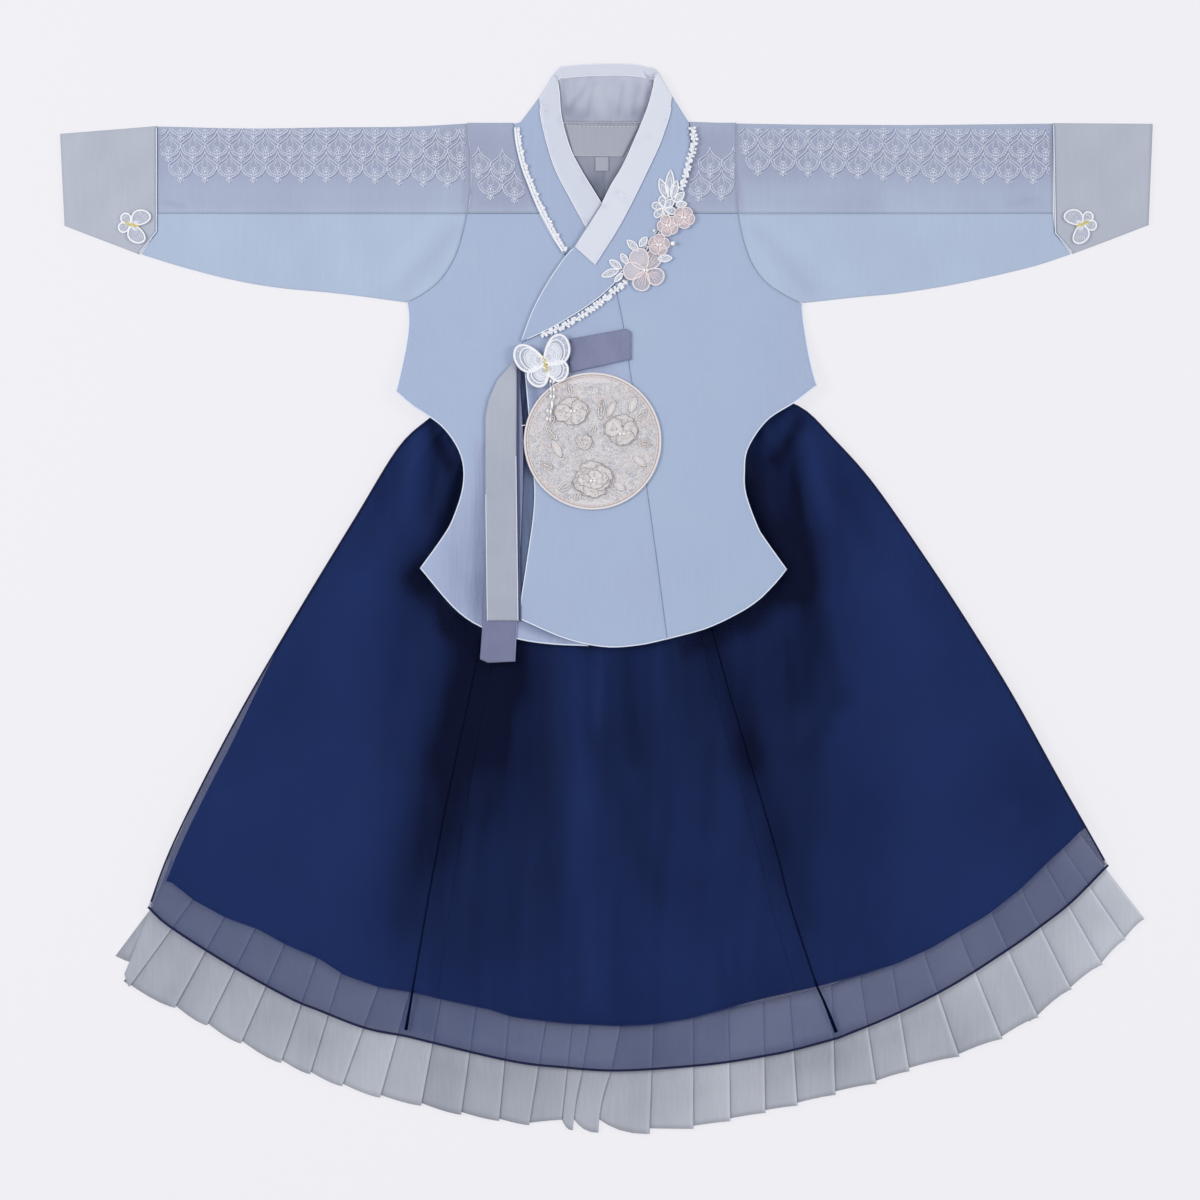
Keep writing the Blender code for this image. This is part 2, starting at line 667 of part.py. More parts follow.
def jacket_body(collection):
    left = [curve(part, count) for part, count in ((LEFT_SCYE, 9), (LEFT_SIDE, 6), (LEFT_VENT, 19))]
    right = [curve(part, count) for part, count in ((RIGHT_SCYE, 9), (RIGHT_SIDE, 6), (RIGHT_VENT, 19))]
    left_hem, right_hem = curve(LEFT_HEM, 11), curve(RIGHT_HEM, 7)
    overlap_hem, overlap_edge = curve(OVERLAP_HEM, 9), curve(OVERLAP_EDGE, 9)
    seam = curve(OVERLAP_SEAM, 9)
    collar_low = curve(OUTER_COLLAR_LOWER, 17)

    back_hem = ((-13.2, -33.4), (20.0, -33.4), (45.8, -28.8))
    left_neck = [point for point in curve(INNER_COLLAR_EDGE, 20) if point[1] > YOKE_SEAM_Y]
    right_neck = [point for point in collar_low if point[1] > YOKE_SEAM_Y]
    left_notch = [(at_height(INNER_COLLAR_EDGE, YOKE_SEAM_Y), YOKE_SEAM_Y), (-104.0, YOKE_SEAM_Y)]
    right_notch = [(99.0, YOKE_SEAM_Y), (at_height(OUTER_COLLAR_LOWER, YOKE_SEAM_Y), YOKE_SEAM_Y)]
    around = [part[::-1] for part in right[::-1]]
    neck = (right_notch, right_neck, left_neck, left_notch)
    back = joined(*left, left_hem, back_hem, right_hem[::-1], *around, *neck)
    flat_piece("jacket_back", inset(back, JACKET_BACK_INSET), 0, "blue_cloth", collection)

    inner_collar = curve(INNER_COLLAR_EDGE, 9)
    below_yoke = [point for point in inner_collar if point[1] < YOKE_SEAM_Y - 2]
    yoke_end = [(at_height(INNER_COLLAR_EDGE, YOKE_SEAM_Y), YOKE_SEAM_Y)]
    hidden_edge = ((-31.5, 258.6), (44.0, 210.0), (44.0, -26.0))
    inner = joined(*left, left_hem, ((-13.2, -34.7), (44.0, -30.0)), hidden_edge[::-1], below_yoke[::-1], yoke_end)
    flat_piece("inner_front", inner, 1, "blue_cloth", collection)

    low_part = [point for point in collar_low if point[0] < 6.0] + [(6.2, 236.4)]
    high_part = [(6.2, 236.4)] + [p for p in collar_low if p[0] > 7.5 and p[1] < YOKE_SEAM_Y - 2]
    right_yoke_end = [(at_height(OUTER_COLLAR_LOWER, YOKE_SEAM_Y), YOKE_SEAM_Y)]
    overlap = joined(overlap_hem, overlap_edge, low_part, seam)
    flat_piece("overlap_panel", overlap, 1, "blue_cloth", collection, lift=overlap_lift)
    outer = joined(seam[::-1], high_part, right_yoke_end, *right, right_hem)
    flat_piece("outer_front", outer, 1, "blue_cloth", collection, lift=overlap_lift)


def yokes(collection):
    """The shoulder panels, folded over the shoulder line from front to back."""
    fold = SHOULDER_Y - (PLY + WALL) / 2
    seam = YOKE_SEAM_Y + SEAM_GAP / 2
    rows = np.linspace(seam, fold, 5)
    gap = SEAM_GAP / 2
    for name, armhole, collar, order in (
        ("shoulder_left", LEFT_ARMHOLE, INNER_COLLAR_EDGE, -1),
        ("shoulder_right", RIGHT_ARMHOLE, OUTER_COLLAR_LOWER, 1),
    ):
        near = [at_height(collar, y) + order * gap for y in rows]
        far = [at_height(armhole, y) - order * gap for y in rows]
        columns = []
        for share in np.linspace(0, 1, 5):
            columns.append([(a * (1 - share) + b * share, y) for a, b, y in zip(near, far, rows)])
        sections = folded(columns, WALL / 2, PLY + WALL / 2)
        if order > 0:
            sections = [[(x, y, z + (overlap_lift(x) if z > PLY else 0)) for x, y, z in row] for row in sections]
        surface(name, sections, "lavender_cloth", collection, offset=0.0)


def sleeves(collection):
    """Each sleeve: a lavender upper half over the top fold and a blue lower half round the arm's underside."""
    gap = SEAM_GAP / 2
    edge = (PLY + WALL) / 2
    for side, top, under, armhole, scye, cuff in (
        ("left", LEFT_SLEEVE_TOP, LEFT_UNDERARM, LEFT_ARMHOLE, LEFT_SCYE, LEFT_CUFF),
        ("right", RIGHT_SLEEVE_TOP, RIGHT_UNDERARM, RIGHT_ARMHOLE, RIGHT_SCYE, RIGHT_CUFF),
    ):
        sign = -1 if side == "left" else 1
        wrist_x = cuff[0][0] - sign * gap
        inward = np.array((sign * gap, 0.0))
        fold = curve(top, 9) - (0, edge)
        start = resample(armhole, 5)[::-1] + inward
        start[0] = (start[0][0], YOKE_SEAM_Y + gap)
        start[-1] = (start[-1][0], fold[0][1])
        fold[0] = start[-1]
        fold[-1] = (wrist_x, fold[-1][1])
        end = resample(((wrist_x, YOKE_SEAM_Y + gap), (wrist_x, fold[-1][1])), 5)
        seam = resample((start[0], end[0]), 9)
        upper = patch(seam, fold, start, end)
        sections = folded(upper, WALL / 2, PLY + WALL / 2)
        surface(f"sleeve_{side}_upper", sections, "lavender_cloth", collection, offset=0.0)

        bottom = curve(under, 11) + (0, edge)
        start = curve(scye, 7) + 2 * inward
        start[0] = (start[0][0], YOKE_SEAM_Y - gap)
        bottom[0] = start[-1] = (bottom[0][0] + sign * gap, bottom[0][1])
        knee = np.array(cuff[4]) - (sign * gap, 0)
        heel = np.array(cuff[3]) - (sign * SLEEVE_HEEL_BACK, -edge)
        end = bent(((wrist_x, YOKE_SEAM_Y - gap), knee, heel), (3, 5))
        bottom[-1] = end[-1] = heel
        seam = resample((start[0], end[0]), 11)
        lower = patch(seam, bottom, start, end)
        sections = folded(lower, WALL / 2, PLY + WALL / 2)
        surface(f"sleeve_{side}_lower", sections, "blue_cloth", collection, offset=0.0)

        top_corner, wrist_top, wrist_low, heel, knee = (np.array(point) for point in cuff)
        lift = (0, edge)
        wrist = resample((wrist_top - lift, wrist_low + lift), 6)
        seam_side = bent((top_corner - lift, knee, heel + lift), (4, 3))
        cuff_top = resample((seam_side[0], wrist[0]), 4)
        cuff_low = resample((seam_side[-1], wrist[-1]), 4)
        sections = folded(patch(cuff_top, cuff_low, seam_side, wrist), WALL / 2, PLY + WALL / 2, both=True)
        surface(f"cuff_{side}", sections, "grey_cloth", collection, offset=0.0, loop=True)


def collar(collection):
    top = curve(COLLAR_TOP, 19)
    neck_left, neck_right = curve(NECK_LEFT, 11), curve(NECK_RIGHT, 12)
    white_left, white_right = curve(WHITE_LEFT, 9), curve(WHITE_RIGHT, 11)
    inner_edge = curve(INNER_COLLAR_EDGE, 11)
    upper_edge = curve(OUTER_COLLAR_UPPER, 6)
    lower_edge = curve(OUTER_COLLAR_LOWER, 17)

    flat_piece("collar_back", joined(top, ((61.6, 357.5), (-64.0, 357.5))), 0, "blue_cloth", collection)
    lining_top = [point for point in top if -35 < point[0] < 35]
    left_top = [point for point in neck_left if point[1] > NECK_SEAM_Y]
    right_top = [point for point in neck_right if point[1] > NECK_SEAM_Y]
    seam_left = (float(np.interp(-NECK_SEAM_Y, -neck_left[:, 1], neck_left[:, 0])), NECK_SEAM_Y)
    seam_right = (float(np.interp(-NECK_SEAM_Y, -neck_right[:, 1], neck_right[:, 0])), NECK_SEAM_Y)
    lining = joined(left_top[::-1], lining_top, right_top, [seam_right, seam_left])
    flat_piece("collar_lining", lining, 1, "neck_lining", collection)
    left_low = [point for point in neck_left if point[1] < NECK_SEAM_Y]
    right_low = [point for point in neck_right if point[1] < NECK_SEAM_Y]
    low_lining = joined([seam_left], left_low, right_low[::-1], [seam_right])
    flat_piece("neck_lining", low_lining, 1, "neck_lining", collection)

    tail = ((-31.5, 258.6), (-14.0, 262.0))
    inner = joined(top[:5], neck_left, tail[::-1], inner_edge[::-1])
    flat_piece("collar_inner", inner, 1, "blue_cloth", collection)
    flat_piece("white_band_left", joined([top[3]], neck_left, white_left[::-1]), 2, "white_satin", collection)

    band_end = ((-23.7, 263.6),)
    outer = joined(lower_edge, top[:-6:-1], neck_right, band_end, upper_edge)
    flat_piece("collar_outer", outer, 3, "blue_cloth", collection)
    white = joined(neck_right, band_end, white_right[::-1], [top[-4]])
    flat_piece("white_band_right", white, 4, "white_satin", collection)

    label = ((-22.4, 331.0), (23.6, 330.4), (23.6, 355.4), (-31.4, 356.4))
    tab = ((-8.0, 320.6), (2.0, 320.6), (2.0, 330.2), (-8.0, 330.2))
    flat_piece("label", joined(label), 2, "white_satin", collection, thickness=0.8)
    flat_piece("size_tab", joined(tab), 2, "white_satin", collection, thickness=0.8)


# Ties and trims.


def ribbon(middle, width, count):
    """A ribbon's plan columns [across][along] about its middle line."""
    line = curve(middle, count)
    ahead = np.gradient(line, axis=0)
    ahead /= np.linalg.norm(ahead, axis=1)[:, None]
    side = np.stack([ahead[:, 1], -ahead[:, 0]], axis=1)
    return line - side * width / 2, line + side * width / 2


def ties(collection):
    flat_piece("tie_purple_long", joined(PURPLE_TIE), 2, "purple_cloth", collection)
    flat_piece("tie_grey", joined(GREY_TIE), 3, "grey_cloth", collection)
    flat_piece("tie_loop", joined(LOOP_OUTLINE), 3, "purple_cloth", collection, thickness=1.6)


def petals_outline(radius, petals, turn, depth=0.28, steps=6):
    """A flower's outline: round petals about its middle."""
    points = []
    for i in range(petals * steps):
        angle = 2 * math.pi * i / (petals * steps)
        reach = radius * (1 - depth * (1 - abs(math.cos(petals * angle / 2)) ** 0.7))
        heading = angle + math.radians(turn)
        points.append((reach * math.cos(heading), reach * math.sin(heading)))
    return points


def relief_piece(name, outline, centre, height, level, slot, collection):
    """A small raised motif: its outline in rings that rise towards the middle."""
    x0, y0 = centre
    rings = ((1.0, 0.0), (0.8, 0.85), (0.3, 0.55))
    outline = np.asarray(outline, float)
    base = jacket_rise(y0) + level * PLY
    shape = bmesh.new()
    loops = []
    for share, rise in ((1.0, 0.0), *rings):
        lift = (WALL * 0.6 if loops else 0) + height * rise
        loops.append([
            shape.verts.new(((x0 + x * share) * MM, (y0 + y * share) * MM, (base + lift) * MM)) for x, y in outline
        ])
    for low, high in zip(loops, loops[1:]):
        for i in range(len(low)):
            j = (i + 1) % len(low)
            shape.faces.new((low[i], low[j], high[j], high[i]))
    shape.faces.new(loops[-1])
    shape.faces.new(loops[0][::-1])
    mesh = bpy.data.meshes.new(name)
    shape.to_mesh(mesh)
    shape.free()
    finish(name, mesh, slot, collection)


def roundel(collection):
    """The embroidered roundel on the chest: a disc with a raised cord at its rim, and raised flowers on it."""
    x0, y0 = ROUNDEL_CENTRE
    angles = np.linspace(0, 2 * math.pi, ROUNDEL_SIDES, endpoint=False)
    disc = [(x0 + ROUNDEL_RADIUS * math.cos(a), y0 + ROUNDEL_RADIUS * math.sin(a)) for a in angles]
    flat_piece("roundel", joined(disc), 3, "cream_embroidery", collection)
    cord = bpy.data.curves.new("roundel_cord", "CURVE")
    cord.dimensions = "3D"
    cord.bevel_depth = ROUNDEL_CORD / 2 * MM
    cord.bevel_resolution = 0
    line = cord.splines.new("POLY")
    line.points.add(len(disc) - 1)
    inner = ROUNDEL_RADIUS - ROUNDEL_CORD / 2
    for point, a in zip(line.points, angles):
        x, y = x0 + inner * math.cos(a), y0 + inner * math.sin(a)
        z = jacket_rise(y) + 4 * PLY + ROUNDEL_CORD / 2 + 0.1
        point.co = (x * MM, y * MM, z * MM, 1)
    line.use_cyclic_u = True
    finish("roundel_cord", cord, "cream_embroidery", collection)
    for i, (x, y, radius, petals, turn) in enumerate(ROUNDEL_FLOWERS, 1):
        outline = petals_outline(radius, petals, turn)
        relief_piece(f"roundel_flower_{i}", outline, (x, y), 1.6, 4, "cream_embroidery", collection)


def laces(collection):
    for name, line, level in (
        ("lace_left", LACE_LEFT, 2),
        ("lace_right", LACE_RIGHT, 4),
        ("lace_lower", LACE_LOWER, 3),
    ):
        left, right = ribbon(line, LACE_WIDTH, 19)
        wave = np.where(np.arange(19) % 2 == 0, 0.12, -0.12)[:, None]
        left, right = left + (left - right) * wave, right + (right - left) * wave
        flat_piece(name, joined(left, right[::-1]), level, "white_lace", collection, thickness=1.3)


def leaf_spray(name, stem, size, collection):
    """Pairs of leaves along a stem, cut as one piece with it."""
    line = curve(stem, 4)
    outline_right, outline_left = [], []
    for here, ahead in zip(line, line[1:]):
        along = (ahead - here) / np.linalg.norm(ahead - here)
        side = np.array((along[1], -along[0]))
        for points, way in ((outline_right, side), (outline_left, -side)):
            for out, on in LEAF_SHAPE:
                points.append(here + way * size * out + along * size * on)
    tip = line[-1] + (line[-1] - line[-2]) / np.linalg.norm(line[-1] - line[-2]) * size
    outline = joined(outline_right, [tip], outline_left[::-1])
    flat_piece(name, outline, 4, "white_lace", collection, gap=0.0)


def butterfly_outline(size):
    """A butterfly's outline, mirrored about its body: a broad upper wing and a small round lower one."""
    half = ((0.0, 0.30), (0.10, 0.26), (0.28, 0.50), (0.46, 0.50), (0.50, 0.34), (0.40, 0.12), (0.24, 0.02))
    half += ((0.34, -0.04), (0.37, -0.16), (0.28, -0.31), (0.16, -0.34), (0.06, -0.22), (0.0, -0.24))
    right = curve(half, 26) * size
    left = right[::-1] * (-1, 1)
    return joined(right, left[1:-1])


def butterflies(collection):
    for name, x, y, size, turn, level in BUTTERFLIES:
        angle = math.radians(turn)
        spin = np.array(((math.cos(angle), math.sin(angle)), (-math.sin(angle), math.cos(angle))))
        outline = np.array(butterfly_outline(size)) @ spin + (x, y)
        flat_piece(name, joined(outline), level, "white_lace", collection, thickness=1.2, gap=0.0)


def flowers(collection):
    for name, x, y, radius, petals, turn, slot in COLLAR_FLOWERS:
        outline = petals_outline(radius, petals, turn)
        relief_piece(name, outline, (x, y), 1.8, 4, slot, collection)
    for name, stem, size in LEAF_SPRAYS:
        leaf_spray(name, stem, size, collection)


def main():
    clear_scene()
    garment = bpy.data.collections.new("child_hanbok")
    bpy.context.scene.collection.children.link(garment)
    skirt(garment)
    jacket_body(garment)
    yokes(garment)
    sleeves(garment)
    collar(garment)
    ties(garment)
    roundel(garment)
    laces(garment)
    flowers(garment)
    butterflies(garment)


main()
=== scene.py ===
"""Looks of a child's hanbok laid flat: the cloths, lace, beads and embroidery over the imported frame.

Plan sizes and heights are in millimetres and are turned to metres when a mesh is made. The garment lies on
the XY plane with its collar towards +Y and its front up.
"""

from __future__ import annotations

import logging
import math
from dataclasses import dataclass
from enum import Enum
from typing import Callable, ClassVar, Iterable, Sequence

import bpy
import numpy as np
from mathutils.geometry import delaunay_2d_cdt
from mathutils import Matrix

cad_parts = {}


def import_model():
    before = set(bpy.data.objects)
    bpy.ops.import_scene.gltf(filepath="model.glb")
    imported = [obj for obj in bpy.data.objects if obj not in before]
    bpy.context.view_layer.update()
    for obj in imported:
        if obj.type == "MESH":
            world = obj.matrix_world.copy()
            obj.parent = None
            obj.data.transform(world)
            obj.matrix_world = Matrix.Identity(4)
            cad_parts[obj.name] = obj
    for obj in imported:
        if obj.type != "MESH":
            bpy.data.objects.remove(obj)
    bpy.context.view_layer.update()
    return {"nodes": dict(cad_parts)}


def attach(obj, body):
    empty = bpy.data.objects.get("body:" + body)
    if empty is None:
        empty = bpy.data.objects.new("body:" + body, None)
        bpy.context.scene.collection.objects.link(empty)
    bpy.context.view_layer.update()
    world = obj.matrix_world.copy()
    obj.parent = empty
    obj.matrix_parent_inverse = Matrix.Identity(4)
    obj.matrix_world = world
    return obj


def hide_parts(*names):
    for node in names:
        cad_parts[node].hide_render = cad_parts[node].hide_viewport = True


log = logging.getLogger("hanbok")

MM = 0.001
WALL = 1.0
SEAM_GAP = 0.3
PLY = WALL + SEAM_GAP

Points = np.ndarray
Height = Callable[[Points, Points], Points]
Socket = bpy.types.NodeSocket


# Plan geometry.


def smooth_line(points: Sequence[Sequence[float]], count: int, closed: bool = False) -> Points:
    """Runs a smooth curve through points.

    Args:
        points: The points, in two or three dimensions.
        count: How many points come back.
        closed: Whether the curve returns to its start.

    Returns:
        Points at even steps along the curve.
    """
    given = np.asarray(points, float)
    if closed:
        padded = np.vstack([given[-1], given, given[0], given[1]])
    else:
        padded = np.vstack([2 * given[0] - given[1], given, 2 * given[-1] - given[-2]])
    t = np.linspace(0, 1, 10, endpoint=False)[:, None]
    fine = []
    for a, b, c, d in zip(padded, padded[1:], padded[2:], padded[3:]):
        square, cube = 2 * a - 5 * b + 4 * c - d, 3 * b - a - 3 * c + d
        fine.append(0.5 * (2 * b + (c - a) * t + square * t**2 + cube * t**3))
    line = np.vstack(fine + ([padded[1][None]] if closed else [given[-1:]]))
    even = even_line(line, count + 1 if closed else count)
    return even[:-1] if closed else even


def even_line(points: Points, count: int) -> Points:
    """Gives a polyline's points at even steps along it, ends included.

    Args:
        points: The polyline.
        count: How many points come back.

    Returns:
        The even points.
    """
    points = np.asarray(points, float)
    lengths = np.concatenate([[0], np.cumsum(np.linalg.norm(np.diff(points, axis=0), axis=1))])
    at = np.linspace(0, lengths[-1], count)
    return np.stack([np.interp(at, lengths, points[:, axis]) for axis in range(points.shape[1])], axis=1)


def unit(vectors: Points) -> Points:
    """Gives vectors the length of 1."""
    return vectors / np.maximum(np.linalg.norm(vectors, axis=1), 1e-9)[:, None]


def subdivided(outline: Points, step: float) -> Points:
    """Cuts a closed outline's long sides into pieces no longer than a step, keeping its corners.

    Args:
        outline: The closed outline.
        step: The longest side allowed.

    Returns:
        The outline with more points.
    """
    outline = np.asarray(outline, float)
    points = []
    for here, ahead in zip(outline, np.roll(outline, -1, axis=0)):
        parts = max(1, math.ceil(np.linalg.norm(ahead - here) / step))
        points.append(here + (ahead - here) * (np.arange(parts) / parts)[:, None])
    return np.vstack(points)


def inset(outline: Points, distance: float) -> Points:
    """Moves a closed anticlockwise outline inwards by a distance.

    Args:
        outline: The closed outline.
        distance: How far in; less than nothing moves it out.

    Returns:
        The moved outline.
    """
    points = np.asarray(outline, float)
    ahead = unit(np.roll(points, -1, axis=0) - points)
    normals = np.stack([-ahead[:, 1], ahead[:, 0]], axis=1)
    mitre = normals + np.roll(normals, 1, axis=0)
    scale = np.clip(2 / np.maximum((mitre**2).sum(axis=1), 1e-9), 0, 2.0)
    return points + mitre * scale[:, None] * distance


def joined(*stretches: Iterable[Sequence[float]]) -> Points:
    """Joins stretches that meet end to end into one closed anticlockwise outline with no point twice.

    Args:
        stretches: The stretches in order round the outline.

    Returns:
        The outline.
    """
    points: list[Points] = []
    for stretch in stretches:
        for point in np.asarray(stretch, float):
            if not points or np.linalg.norm(points[-1] - point) > 0.05:
                points.append(point)
    if np.linalg.norm(points[0] - points[-1]) < 0.05:
        points.pop()
    outline = np.array(points)
    return outline if area_of(outline) > 0 else outline[::-1]


def area_of(outline: Points) -> float:
    """Gives a closed outline's area, less than nothing if it runs clockwise."""
    ahead = np.roll(outline, -1, axis=0)
    return float((outline[:, 0] * ahead[:, 1] - ahead[:, 0] * outline[:, 1]).sum() / 2)


def inside(points: Points, outline: Points) -> Points:
    """Says which points lie inside a closed outline.

    Args:
        points: The points to test.
        outline: The closed outline.

    Returns:
        One truth value a point.
    """
    x, y = points[:, 0][:, None], points[:, 1][:, None]
    ahead = np.roll(outline, -1, axis=0)
    x0, y0, x1, y1 = outline[:, 0], outline[:, 1], ahead[:, 0], ahead[:, 1]
    crosses = (y0 > y) != (y1 > y)
    rise = np.where(y1 == y0, 1e-12, y1 - y0)
    return (crosses & (x < (x1 - x0) * (y - y0) / rise + x0)).sum(axis=1) % 2 == 1


def distance_to(points: Points, line: Points, closed: bool = False) -> Points:
    """Gives each point's distance to a polyline.

    Args:
        points: The points, in plan.
        line: The polyline.
        closed: Whether the polyline returns to its start.

    Returns:
        The distances.
    """
    start = line if closed else line[:-1]
    end = np.roll(line, -1, axis=0) if closed else line[1:]
    along = end - start
    length = np.maximum((along**2).sum(axis=1), 1e-12)
    best = np.full(len(points), 1e9)
    for chunk in range(0, len(points), 4000):
        part = points[chunk : chunk + 4000]
        share = ((part[:, None] - start[None]) * along[None]).sum(axis=2) / length
        near = start[None] + along[None] * np.clip(share, 0, 1)[..., None]
        best[chunk : chunk + 4000] = np.linalg.norm(part[:, None] - near, axis=2).min(axis=1)
    return best


def patch(top: Points, bottom: Points, left: Points, right: Points) -> Points:
    """Fills four boundary curves of matching corners with a grid of plan points.

    Args:
        top: The curve along the grid's first row.
        bottom: The curve along its last row.
        left: The curve down its first column.
        right: The curve down its last column.

    Returns:
        The grid, [across][down].
    """
    across = np.linspace(0, 1, len(top))[:, None, None]
    down = np.linspace(0, 1, len(left))[None, :, None]
    top, bottom, left, right = top[:, None], bottom[:, None], left[None], right[None]
    upper = (1 - down) * top[:1] + down * bottom[:1]
    lower = (1 - down) * top[-1:] + down * bottom[-1:]
    ruled = (1 - down) * top + down * bottom + (1 - across) * left + across * right
    return ruled - (1 - across) * upper - across * lower


def rim_of(grid: Points) -> Points:
    """Gives a grid's outline in plan."""
    plan = grid[..., :2]
    return joined(plan[0], plan[:, -1], plan[-1, ::-1], plan[::-1, 0])


def raised(line: Points, height: Height, above: float) -> Points:
    """Lifts a plan line above what it lies on."""
    return np.column_stack([line, height(line[:, 0], line[:, 1]) + above])


def level_at(height: Height, spot: Sequence[float]) -> float:
    """Gives a height at one place."""
    return float(height(np.array(spot[:1], float), np.array(spot[1:2], float))[0])


def at_height(points: Sequence[Sequence[float]], y: float) -> float:
    """Says where a smooth curve that steadily rises or falls crosses a height.

    Args:
        points: The curve's points.
        y: The height in plan.

    Returns:
        The crossing's x.
    """
    line = smooth_line(points, 60)
    order = np.argsort(line[:, 1])
    return float(np.interp(y, line[order, 1], line[order, 0]))


def ramp(value: Points, start: float, end: float) -> Points:
    """Rises smoothly from 0 at the start to 1 at the end."""
    share = np.clip((value - start) / (end - start), 0, 1)
    return share * share * (3 - 2 * share)


def spun(points: Points, turn: float, size: float = 1.0, centre: Sequence[float] = (0, 0)) -> Points:
    """Turns, sizes and places a motif's plan points.

    Args:
        points: The motif's points about its middle.
        turn: The turn in degrees, anticlockwise.
        size: The factor of size.
        centre: Where the middle goes.

    Returns:
        The placed points.
    """
    angle = math.radians(turn)
    spin = np.array(((math.cos(angle), math.sin(angle)), (-math.sin(angle), math.cos(angle))))
    return np.asarray(points, float) @ spin * size + centre


def ripple(x: Points, y: Points, size: float, seed: int) -> Points:
    """Gives a soft uneven surface as a sum of slanted waves.

    Args:
        x: Places across.
        y: Places along.
        size: The usual distance between crests.
        seed: What picks the waves.

    Returns:
        Heights from about -1 to 1.
    """
    waves = np.random.default_rng(seed)
    total = np.zeros_like(np.asarray(x, float))
    for _ in range(7):
        heading, phase = waves.uniform(0, 2 * math.pi, 2)
        length = size * waves.uniform(0.7, 1.7)
        total = total + np.sin((x * math.cos(heading) + y * math.sin(heading)) * 2 * math.pi / length + phase)
    return total / 4


# Meshes.


